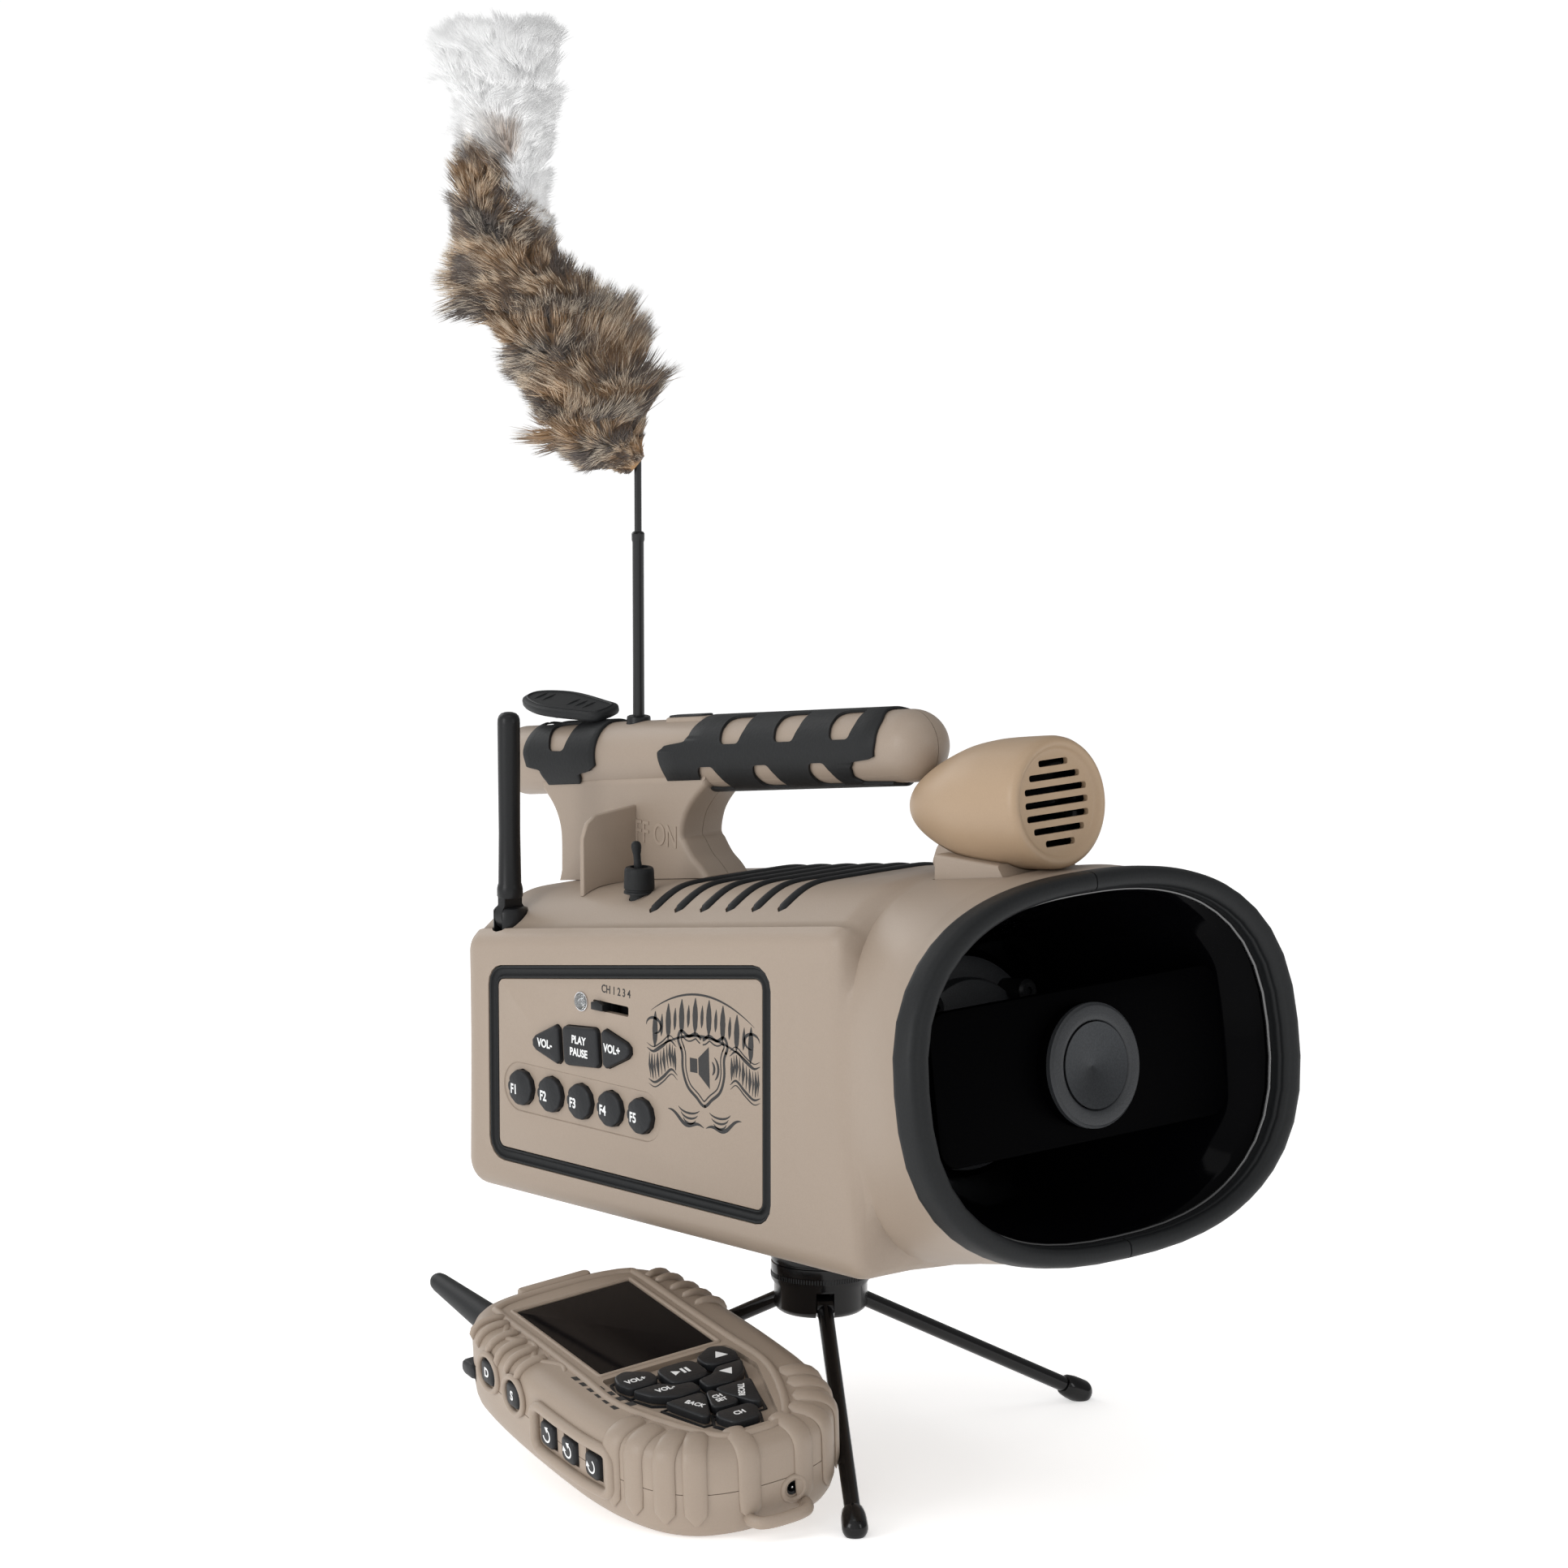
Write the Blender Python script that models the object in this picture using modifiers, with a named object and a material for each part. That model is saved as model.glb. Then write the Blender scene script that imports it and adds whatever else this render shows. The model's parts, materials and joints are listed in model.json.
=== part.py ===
"""Electronic game caller: a horn loudspeaker case with a carrying handle, a tweeter, a
side control panel, a spinning fur decoy and a folding tripod, plus its hand-held remote.

Lengths are millimetres while the pieces are modelled; the last step scales them to metres.
X points where the horn points, Z is up, and the control panel faces -Y.  The axis on which
the caller turns over its tripod is x = y = 0 while modelling, and the floor is z = 0.
"""
import bpy
import bmesh
from math import asin, atan2, cos, pi, radians, sin, sqrt, tan
from mathutils import Matrix, Vector

OBJECT_NAME = "electronic_game_caller"
MM = 0.001
GAP = 0.3                       # clearance between pieces that touch
HALF_GAP = GAP / 2

PITCH = radians(8.1)            # deck, handle, horn and tweeter all tip up by this angle
SLOPE = tan(PITCH)

# Caller case
CASE_BOTTOM = 95.0
CASE_HALF_WIDTH = 65.0
CASE_REAR_X = -150.0
CASE_WALL = 2.5
CASE_BOTTOM_RADIUS = 10.0
CASE_REAR_RADIUS = 9.0
CASE_FRONT_X = 93.0             # where the box part ends, at floor level of the case
CASE_FRONT_RADIUS = 9.0
CASE_FRONT_LEAN = 0.075
SIDE_TOP_AT_ZERO = 216.2        # top of the upright side wall at x = 0
DECK_TOP_AT_ZERO = 238.3        # flat top of the deck at x = 0
SHOULDER_RISE = 8.0

# Horn
MOUTH_X, MOUTH_Z = 166.7, 185.3  # centre of the mouth plane
RIM_HALF_WIDTH, RIM_HALF_HEIGHT = 107.0, 75.6
RIM_DEPTH = 11.0
MOUTH_POWER = 2.5               # exponent of the super-ellipse of the mouth
HEIGHT_OFFSET_RATIO = 0.74      # the rim is thinner above and below than at the sides
HORN_FLOOR_DEPTH = 104.0
DISC_RADIUS = 24.5

# Handle
HANDLE_RADIUS = 14.6
HANDLE_REAR_X, HANDLE_FRONT_X = -187.0, 68.0
HANDLE_Z_AT_ZERO = 289.6
POST_HALF_WIDTH = 12.0
GUARD_X = -101.0
CAP_HINGE_X = -131.0
CAP_PLUG_REACH = 30.0           # from the cap's hinge to the plug on its underside
GRIP_INNER, GRIP_OUTER = HANDLE_RADIUS + GAP, 16.0

# Tweeter
TWEETER_FACE = Vector((136.5, 0, 284.7))
TWEETER_RADIUS = 26.0
TWEETER_LENGTH = 81.0

# Decoy
ROD_X = -111.7
TUBE_RADIUS, TUBE_TOP = 2.4, 366.5
WIRE_RADIUS = 1.5
TAIL_BASE_Z = 396.0

# Side panel
PANEL_Y = -CASE_HALF_WIDTH
PANEL_REAR_X, PANEL_FRONT_X = -132.5, 40.7
PANEL_BOTTOM_Z = 109.5
PANEL_REAR_Z, PANEL_FRONT_Z = 190.2, 215.0
PANEL_FRAME_WIDTH = 5.2
F_KEY_Z, F_KEY_FIRST_X, F_KEY_STEP, F_KEY_RADIUS = 142.0, -111.8, 18.7, 7.5

# Tripod
HUB_RADIUS = 20.3
HUB_BOTTOM, HUB_TOP = 63.5, 83.0
LEG_PIVOT_RADIUS, LEG_PIVOT_Z = 15.5, 62.5
LEG_RADIUS = 3.25
FOOT_RADIUS = 5.2
FOOT_CIRCLE = 132.0
FOOT_CENTRE_Z = 3.5
LEG_AZIMUTHS = (-37.0, 81.0, 203.0)

# Remote, in its own frame: u across, v along, w out of its face
REMOTE_SCALE = 1.1125           # the remote's own sizes below are multiplied by this
REMOTE_FOOT = Vector((79.05, -100.8, 1.9))
REMOTE_RISE = radians(8.82)
REMOTE_HEADING = radians(169.06)
REMOTE_ROLL = radians(-7.48)
REMOTE_DEPTH = 36.0
REMOTE_SEAM = -17.0
REMOTE_WALL = 2.2

TAN = (0.36, 0.27, 0.19, 1)
DARK = (0.02, 0.02, 0.021, 1)
materials = {}


# ---------------------------------------------------------------- basic tools
def material(name, colour, roughness, metallic=0.0):
    """Principled BSDF material, made once for each name."""
    if name not in materials:
        made = bpy.data.materials.new(name)
        made.use_nodes = True
        shader = made.node_tree.nodes["Principled BSDF"]
        shader.inputs["Base Color"].default_value = colour
        shader.inputs["Roughness"].default_value = roughness
        shader.inputs["Metallic"].default_value = metallic
        made.diffuse_color = colour
        materials[name] = made
    return materials[name]


def new_object(name, mesh):
    made = bpy.data.objects.new(name, mesh)
    bpy.context.scene.collection.objects.link(made)
    return made


def from_bmesh(name, bm):
    mesh = bpy.data.meshes.new(name)
    bm.to_mesh(mesh)
    bm.free()
    return new_object(name, mesh)


def settle(obj):
    """Apply the object's modifiers and its matrix, so its mesh is in the model's own frame."""
    bpy.context.view_layer.update()
    evaluated = obj.evaluated_get(bpy.context.evaluated_depsgraph_get())
    mesh = bpy.data.meshes.new_from_object(evaluated)
    mesh.transform(obj.matrix_world)
    name = obj.name
    bpy.data.objects.remove(obj)
    return new_object(name, mesh)


def welded(obj):
    """Join the loose caps of a converted curve to its sides and face everything outwards."""
    bm = bmesh.new()
    bm.from_mesh(obj.data)
    bmesh.ops.remove_doubles(bm, verts=bm.verts, dist=0.001)
    bmesh.ops.recalc_face_normals(bm, faces=bm.faces)
    bm.to_mesh(obj.data)
    bm.free()
    return obj


def moved(obj, matrix):
    obj.data.transform(matrix)
    return obj


def copy_of(obj, name):
    return new_object(name, obj.data.copy())


def mirrored(obj, name):
    """The same piece on the other side of the plane y = 0."""
    made = copy_of(obj, name)
    made.data.transform(Matrix.Scale(-1, 4, (0, 1, 0)))
    made.data.flip_normals()
    return made


def combine(obj, others, operation):
    for other in others:
        modifier = obj.modifiers.new("join", "BOOLEAN")
        modifier.operation = operation
        modifier.object = other
        modifier.solver = "EXACT"
        name = obj.name
        obj = settle(obj)
        bpy.data.objects.remove(other)
        obj.name = name
    return obj


def cut(obj, *cutters):
    return combine(obj, cutters, "DIFFERENCE")


def join(obj, *others):
    return combine(obj, others, "UNION")


def box(name, low, high, bevel=0.0, segments=1):
    bm = bmesh.new()
    bmesh.ops.create_cube(bm, size=1.0)
    low, high = Vector(low), Vector(high)
    size = high - low
    bmesh.ops.scale(bm, vec=size, verts=bm.verts)
    bmesh.ops.translate(bm, vec=(low + high) / 2, verts=bm.verts)
    if bevel:
        bmesh.ops.bevel(bm, geom=bm.edges[:], offset=bevel, segments=segments,
                        affect="EDGES", profile=0.5)
    return from_bmesh(name, bm)


def rod_between(name, start, end, radius, end_radius=None, sides=16):
    """Cylinder or cone from start to end."""
    start, end = Vector(start), Vector(end)
    bm = bmesh.new()
    bmesh.ops.create_cone(bm, cap_ends=True, segments=sides, radius1=radius,
                          radius2=radius if end_radius is None else end_radius,
                          depth=(end - start).length)
    turn = (end - start).to_track_quat("Z", "Y").to_matrix().to_4x4()
    bmesh.ops.transform(bm, matrix=Matrix.Translation((start + end) / 2) @ turn, verts=bm.verts)
    return from_bmesh(name, bm)


def turned(name, profile, steps=24, base=(0, 0, 0), axis=(0, 0, 1)):
    """Solid of revolution; profile is (radius, height) points down the outer side."""
    mesh = bpy.data.meshes.new(name)
    mesh.from_pydata([(r, 0, z) for r, z in profile],
                     [(i, i + 1) for i in range(len(profile) - 1)], [])
    obj = new_object(name, mesh)
    screw = obj.modifiers.new("turn", "SCREW")
    screw.steps = screw.render_steps = steps
    screw.use_merge_vertices = True
    screw.merge_threshold = 0.0001
    obj = welded(settle(obj))
    turn = Vector(axis).to_track_quat("Z", "Y").to_matrix().to_4x4()
    return moved(obj, Matrix.Translation(Vector(base)) @ turn)


def plate(name, outline, low, high, frame=Matrix.Identity(4), bevel=0.0):
    """Flat piece with the outline in the frame's own XY plane, from low to high along its Z."""
    curve = bpy.data.curves.new(name, "CURVE")
    curve.dimensions = "2D"
    curve.fill_mode = "BOTH"
    curve.extrude = (high - low) / 2
    spline = curve.splines.new("POLY")
    spline.points.add(len(outline) - 1)
    for point, (x, y) in zip(spline.points, outline):
        point.co = (x, y, 0, 1)
    spline.use_cyclic_u = True
    obj = new_object(name, curve)
    obj.matrix_world = frame @ Matrix.Translation((0, 0, (low + high) / 2))
    obj = settle(obj)
    obj.name = name
    obj = welded(obj)
    if bevel:
        obj = rounded(obj, bevel)
    return obj


def stacked(name, outline, levels, frame=Matrix.Identity(4)):
    """Solid through the outline drawn in by each level's inset at that level's height."""
    return loft(name, [[frame @ Vector((x, y, height)) for x, y in grown(outline, -inset)]
                       for inset, height in levels])


def rounded(obj, width, segments=1, angle=50):
    """Bevel the edges sharper than the given angle."""
    modifier = obj.modifiers.new("round", "BEVEL")
    modifier.width = width
    modifier.segments = segments
    modifier.limit_method = "ANGLE"
    modifier.angle_limit = radians(angle)
    return settle(obj)


def bridge(bm, first, second, closed=True):
    count = len(first)
    for i in range(count if closed else count - 1):
        j = (i + 1) % count
        bm.faces.new((first[i], first[j], second[j], second[i]))


def loft(name, loops):
    """Closed solid through closed loops that all have the same number of points."""
    bm = bmesh.new()
    rings = [[bm.verts.new(p) for p in loop] for loop in loops]
    for first, second in zip(rings, rings[1:]):
        bridge(bm, first, second)
    for ring in (rings[0], rings[-1]):
        bm.faces.new(ring)
    bmesh.ops.recalc_face_normals(bm, faces=bm.faces)
    return from_bmesh(name, bm)


def strip_loft(name, outer, inner):
    """Curved wall between open outer and inner arcs, with all four of its rims closed."""
    bm = bmesh.new()
    loops = [[bm.verts.new(p) for p in list(a) + list(reversed(b))] for a, b in zip(outer, inner)]
    for first, second in zip(loops, loops[1:]):
        bridge(bm, first, second)
    count = len(outer[0])
    for loop in (loops[0], loops[-1]):
        for i in range(count - 1):
            bm.faces.new((loop[i], loop[i + 1], loop[-2 - i], loop[-1 - i]))
    bmesh.ops.recalc_face_normals(bm, faces=bm.faces)
    return from_bmesh(name, bm)


def ring_loft(name, loops):
    """Endless ring: the loops are joined in turn and the last one to the first."""
    bm = bmesh.new()
    rings = [[bm.verts.new(p) for p in loop] for loop in loops]
    for first, second in zip(rings, rings[1:] + rings[:1]):
        bridge(bm, first, second)
    bmesh.ops.recalc_face_normals(bm, faces=bm.faces)
    return from_bmesh(name, bm)


def cup(name, outer, inner):
    """Open vessel: loops run from the rim to the floor, outside and inside."""
    bm = bmesh.new()
    outside = [[bm.verts.new(p) for p in loop] for loop in outer]
    inside = [[bm.verts.new(p) for p in loop] for loop in inner]
    for rings in (outside, inside):
        for first, second in zip(rings, rings[1:]):
            bridge(bm, first, second)
        bm.faces.new(rings[-1])
    bridge(bm, outside[0], inside[0])
    bmesh.ops.recalc_face_normals(bm, faces=bm.faces)
    return from_bmesh(name, bm)


def rounded_outline(corners, radius, steps=4):
    """Outline with its corners rounded: (x, y) points in order, radius one value or a list."""
    points = []
    count = len(corners)
    radii = radius if isinstance(radius, (list, tuple)) else [radius] * count
    for i in range(count):
        here = Vector(corners[i])
        before = (Vector(corners[i - 1]) - here).normalized()
        after = (Vector(corners[(i + 1) % count]) - here).normalized()
        half = before.angle(after) / 2
        reach = radii[i] / tan(half)
        centre = here + (before + after).normalized() * radii[i] / sin(half)
        start, end = here + before * reach - centre, here + after * reach - centre
        turn = start.angle_signed(end)
        for k in range(steps + 1):
            angle = -turn * k / steps
            points.append((centre.x + start.x * cos(angle) - start.y * sin(angle),
                           centre.y + start.x * sin(angle) + start.y * cos(angle)))
    return points


def grown(outline, distance):
    """The outline moved outwards by a distance (inwards when it is negative)."""
    count = len(outline)
    points = [Vector(p) for p in outline]
    area = sum(points[i - 1].x * points[i].y - points[i].x * points[i - 1].y for i in range(count))
    side = 1 if area > 0 else -1
    result = []
    for i in range(count):
        along = (points[(i + 1) % count] - points[i - 1]).normalized()
        result.append((points[i].x + along.y * distance * side,
                       points[i].y - along.x * distance * side))
    return result


def finish(obj, name, look, origin=None):
    """Name and colour a finished piece and put its origin where it turns or sits."""
    obj.name = name
    obj.data.name = name
    obj.data.materials.clear()
    obj.data.materials.append(look)
    if origin is None:
        corners = [Vector(c) for c in obj.bound_box]
        origin = sum(corners, Vector()) / 8
    origin = Vector(origin)
    obj.data.transform(Matrix.Translation(-origin))
    obj.location = origin
    obj.data.shade_smooth()
    obj.data.set_sharp_from_angle(angle=radians(35))
    bpy.context.scene.collection.objects.unlink(obj)
    bpy.data.collections[OBJECT_NAME].objects.link(obj)
    return obj


# ---------------------------------------------------------------- materials
def tan_plastic():
    return material("tan_plastic", TAN, 0.5)


def black_plastic():
    return material("black_plastic", DARK, 0.4)


def black_rubber():
    return material("black_rubber", (0.025, 0.026, 0.027, 1), 0.7)


def gloss_black():
    return material("gloss_black", (0.01, 0.01, 0.011, 1), 0.15)


# ---------------------------------------------------------------- frames
def pitched(x, y, z):
    """Frame at a point whose X runs along the pitched axis and whose Z leans back with it."""
    return Matrix.Translation((x, y, z)) @ Matrix.Rotation(-PITCH, 4, "Y")


def side_frame(x, z, tilt=0.0):
    """Frame on the panel side: X runs forward, Y runs up and Z comes out of the panel."""
    return (Matrix.Translation((x, PANEL_Y, z)) @ Matrix.Rotation(radians(90), 4, "X")
            @ Matrix.Rotation(tilt, 4, "Z"))


def along_mouth(depth, y, up):
    """Point behind the mouth plane: depth along the horn axis, y across, up in the plane."""
    return Vector((MOUTH_X - depth * cos(PITCH) - up * sin(PITCH), y,
                   MOUTH_Z - depth * sin(PITCH) + up * cos(PITCH)))


# ---------------------------------------------------------------- case shape
def deck_z(x):
    return DECK_TOP_AT_ZERO + SLOPE * x


def side_top_z(x):
    return SIDE_TOP_AT_ZERO + SLOPE * x


DECK_CROWN = ((58, -14.1), (50, -8.7), (42, -3.9), (35, -1.1), (27, 0), (0, 0))


def case_section(x):
    """Half section of the box part at x: (half width, height) from keel to deck middle."""
    radius = CASE_BOTTOM_RADIUS
    points = [(0, CASE_BOTTOM), (22, CASE_BOTTOM), (42, CASE_BOTTOM)]
    for k in range(5):
        angle = radians(90 * k / 4)
        points.append((CASE_HALF_WIDTH - radius + radius * sin(angle),
                       CASE_BOTTOM + radius - radius * cos(angle)))
    low, high = CASE_BOTTOM + radius, side_top_z(x)
    points += [(CASE_HALF_WIDTH, low + (high - low) * part)
               for part in (0.17, 0.34, 0.51, 0.68, 0.85, 1.0)]
    turn = radians(42)
    points.append((CASE_HALF_WIDTH - 7.5 + 7.5 * cos(turn), high + SHOULDER_RISE * sin(turn)))
    crease = deck_z(x) + DECK_CROWN[0][1]
    points.append((59.5, (high + SHOULDER_RISE + crease) / 2))
    points += [(across, deck_z(x) + drop) for across, drop in DECK_CROWN]
    return points


def superellipse_radius(angle, half_width, half_height, power):
    return (abs(cos(angle) / half_width) ** power
            + abs(sin(angle) / half_height) ** power) ** (-1 / power)


def horn_axis_z(x):
    return MOUTH_Z + SLOPE * (x - MOUTH_X)


def horn_radius(x, angle):
    """Outside of the flared horn behind its rim."""
    spread = max(0.0, (x - 75) / 80)
    half_width = 64 + 40.5 * spread ** 2 - max(0, 60 - x)
    top = DECK_TOP_AT_ZERO - (MOUTH_Z - SLOPE * MOUTH_X)
    bottom = 80.0 - 5.5 * min(1.0, spread)
    half_height = top if angle > 0 else bottom
    half_height -= max(0, 60 - x)
    power = 2.8 - 0.3 * min(1.0, spread)
    return superellipse_radius(angle, half_width, half_height, power)


def front_round(x, z):
    """How far the box part has drawn in at its rounded front end, or None past it."""
    inside = CASE_FRONT_X - CASE_FRONT_LEAN * (z - CASE_BOTTOM) - x
    if inside >= CASE_FRONT_RADIUS:
        return 0.0
    if inside <= 0:
        return None
    return CASE_FRONT_RADIUS - sqrt(CASE_FRONT_RADIUS ** 2 - (CASE_FRONT_RADIUS - inside) ** 2)


def rear_round(x):
    inside = x - CASE_REAR_X
    if inside >= CASE_REAR_RADIUS:
        return 0.0
    return CASE_REAR_RADIUS - sqrt(CASE_REAR_RADIUS ** 2 - (CASE_REAR_RADIUS - inside) ** 2)


def case_arc(x, inset=0.0, side=-1, start=HALF_GAP):
    """Half section of the whole case, box and horn blended, as points from keel to deck."""
    tilt = PITCH * min(1.0, max(0.0, (x - 30) / 120))
    centre_z = horn_axis_z(x) if x > 30 else 165 + (horn_axis_z(30) - 165) * max(0, x) / 30
    points = []
    for index in range(len(case_section(x))):
        at = x
        for _ in range(4):
            across, z = case_section(at)[index]
            up = (z - centre_z) / cos(tilt)
            at = x - up * sin(tilt)
        angle = atan2(up, across)
        box_radius = sqrt(across ** 2 + up ** 2)
        drawn_in = front_round(at, z)
        horn = horn_radius(x, angle) if x > 30 else 0.0
        if drawn_in is None:
            radius = horn
        else:
            reduced = box_radius - drawn_in
            radius = (reduced + horn + sqrt((reduced - horn) ** 2 + 4.0)) / 2
        radius -= inset + rear_round(x)
        across = max(start, radius * cos(angle))
        up = radius * sin(angle)
        points.append(Vector((x - up * sin(tilt), side * across, centre_z + up * cos(tilt))))
    return points


def mouth_angles():
    return [atan2(z - horn_axis_z(80), across) for across, z in case_section(80)]


def mouth_arc(depth, offset, side=-1, start=HALF_GAP):
    """Half loop around the horn mouth that lines up with case_arc's points."""
    points = []
    for angle in mouth_angles():
        radius = superellipse_radius(angle, RIM_HALF_WIDTH - offset,
                                     RIM_HALF_HEIGHT - offset * HEIGHT_OFFSET_RATIO, MOUTH_POWER)
        points.append(along_mouth(depth, side * max(start, radius * cos(angle)),
                                  radius * sin(angle)))
    return points


CASE_STATIONS = (-150, -149, -146.2, -141, -60, 30, 56, 72, 79, 84, 88, 93, 102, 114, 128, 141)


def case_half():
    outer = [case_arc(x) for x in CASE_STATIONS]
    inner = [case_arc(x, CASE_WALL) for x in CASE_STATIONS]
    for depth, offset in ((RIM_DEPTH + 0.6, 0.8), (RIM_DEPTH + 0.35, 3.0), (5.0, 3.0)):
        outer.append(mouth_arc(depth, offset))
        inner.append(mouth_arc(depth, offset + CASE_WALL + (2.2 if offset < 1 else 0)))
    return strip_loft("case", outer, inner)


def deck_band(name, x0, x1, reach, top, bottom):
    """Slab that follows the crown of the deck, between offsets above and below its surface."""
    crown = [(-reach, crown_drop(reach))] + [(-a, d) for a, d in DECK_CROWN if a < reach]
    crown += [(-a, d) for a, d in reversed(crown[:-1])]
    loops = []
    for x in (x0, x1):
        over = [Vector((x, y, deck_z(x) + drop + top)) for y, drop in crown]
        under = [Vector((x, y, deck_z(x) + drop + bottom)) for y, drop in reversed(crown)]
        loops.append(over + under)
    return loft(name, loops)


def crown_drop(across):
    """Height of the deck's crown below its flat top at this half width."""
    for (a1, d1), (a0, d0) in zip(DECK_CROWN, DECK_CROWN[1:]):
        if a0 <= across <= a1:
            return d0 + (d1 - d0) * (across - a0) / (a1 - a0)
    return DECK_CROWN[0][1]


# ---------------------------------------------------------------- case
RIB_FIRST_X, RIB_STEP, RIB_COUNT, RIB_WIDTH = -47.0, 15.4, 6, 4.2
RIB_REACH = 50.0
TWEETER_BLOCK = (Vector((86, -20, 246)), Vector((128, 20, 262)))
ANTENNA_X, ANTENNA_Y, ANTENNA_LEDGE = -131.5, -54.0, 200.0
ANTENNA_HOLE_RADIUS = 7.6
TOGGLE_X, TOGGLE_Y = -66.0, -40.0


def panel_outline():
    """Outer outline of the panel's gasket, in (x, z)."""
    corners = [(PANEL_REAR_X, PANEL_BOTTOM_Z), (PANEL_FRONT_X, PANEL_BOTTOM_Z),
               (PANEL_FRONT_X, PANEL_FRONT_Z), (PANEL_REAR_X, PANEL_REAR_Z)]
    return rounded_outline(corners, 9.0)


def upright_plate(name, outline, y_low, y_high):
    """Plate with its outline in (x, z), between two values of y."""
    frame = Matrix.Rotation(radians(90), 4, "X")
    return plate(name, outline, -y_high, -y_low, frame)


def rib_positions():
    return [RIB_FIRST_X + RIB_STEP * k for k in range(RIB_COUNT)]


def make_case():
    right = case_half()
    left = mirrored(right, "case_left")
    right = cut(right, upright_plate("opening", grown(panel_outline(), GAP), -80, -55),
                rod_between("toggle_hole", (TOGGLE_X, TOGGLE_Y, 205),
                            (TOGGLE_X, TOGGLE_Y, 245), 4.3),
                rod_between("antenna_hole", (ANTENNA_X, ANTENNA_Y, ANTENNA_LEDGE - 14),
                            (ANTENNA_X, ANTENNA_Y, 240), ANTENNA_HOLE_RADIUS, sides=24))
    finished = []
    for half in (right, left):
        low, high = TWEETER_BLOCK
        clear = Vector((GAP, GAP, GAP))
        cutters = [box("block", low - clear, high + clear)]
        for x in rib_positions():
            cutters.append(deck_band("slot", x - RIB_WIDTH / 2 - GAP, x + RIB_WIDTH / 2 + GAP,
                                     RIB_REACH + GAP, 4, -8))
        cutters.append(rod_between("table_screw", (0, 0, CASE_BOTTOM - 4),
                                   (0, 0, CASE_BOTTOM + 6), 5.0))
        finished.append(cut(half, *cutters))
    finish(finished[0], "case_right", tan_plastic())
    finish(finished[1], "case_left", tan_plastic())


def make_ribs():
    deep = -(CASE_WALL + 1.2)
    first, last = rib_positions()[0], rib_positions()[-1]
    backing = deck_band("ribs", first - 5, last + 5, RIB_REACH + 2, deep, deep - 1.4)
    ribs = [deck_band("rib", x - RIB_WIDTH / 2, x + RIB_WIDTH / 2, RIB_REACH, 1.3, deep - 0.7)
            for x in rib_positions()]
    finish(join(backing, *ribs), "deck_ribs", black_rubber())


DOOR_HALF_WIDTH, DOOR_BOTTOM, DOOR_TOP = 38.0, 116.0, 182.0
DOOR_HINGE_X, DOOR_HINGE_Z = CASE_REAR_X - 1.6, DOOR_BOTTOM + 1.0


def make_rear():
    """Rear cover let into the case's open end, with the battery door on a bottom hinge."""
    def cover_loop(x):
        inset = CASE_WALL + GAP + 0.2
        arc = [Vector((CASE_REAR_X, p.y, p.z)) for p in case_arc(CASE_REAR_X, inset, start=0)]
        loop = arc + [Vector((p.x, -p.y, p.z)) for p in reversed(arc[1:-1])]
        return [Vector((x, p.y, p.z)) for p in loop]
    cover = loft("cover", [cover_loop(CASE_REAR_X - 0.2), cover_loop(CASE_REAR_X + 3.0)])
    opening = box("opening", (CASE_REAR_X - 5, -DOOR_HALF_WIDTH - GAP, DOOR_BOTTOM - 2.2),
                  (CASE_REAR_X + 8, DOOR_HALF_WIDTH + GAP, DOOR_TOP + GAP))
    cover = cut(cover, opening)
    lugs = [box("lug", (DOOR_HINGE_X - 2.2, side * 44 - 4, DOOR_HINGE_Z - 3),
                (CASE_REAR_X + 1, side * 44 + 4, DOOR_HINGE_Z + 3)) for side in (-1, 1)]
    finish(join(cover, *lugs), "rear_cover", tan_plastic())
    door = box("door", (CASE_REAR_X - 1.6, -DOOR_HALF_WIDTH, DOOR_BOTTOM - 1.5),
               (CASE_REAR_X + 1.4, DOOR_HALF_WIDTH, DOOR_TOP))
    grip = box("grip", (CASE_REAR_X - 4, -14, DOOR_TOP - 12), (CASE_REAR_X - 1, 14, DOOR_TOP - 7))
    finish(join(door, grip), "battery_door", tan_plastic(), (DOOR_HINGE_X, 0, DOOR_HINGE_Z))


# ---------------------------------------------------------------- horn
def mouth_loop(depth, half_width, half_height, power=MOUTH_POWER):
    """Whole loop across the horn, on the same directions from its axis as the case's sections."""
    half = []
    for angle in mouth_angles():
        radius = superellipse_radius(angle, half_width, half_height, power)
        half.append((radius * cos(angle), radius * sin(angle)))
    half[0], half[-1] = (0, half[0][1]), (0, half[-1][1])
    whole = half + [(-y, up) for y, up in reversed(half[1:-1])]
    return [along_mouth(depth, y, up) for y, up in whole]


def rim_loop(depth, offset):
    return mouth_loop(depth, RIM_HALF_WIDTH - offset,
                      RIM_HALF_HEIGHT - offset * HEIGHT_OFFSET_RATIO)


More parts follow.
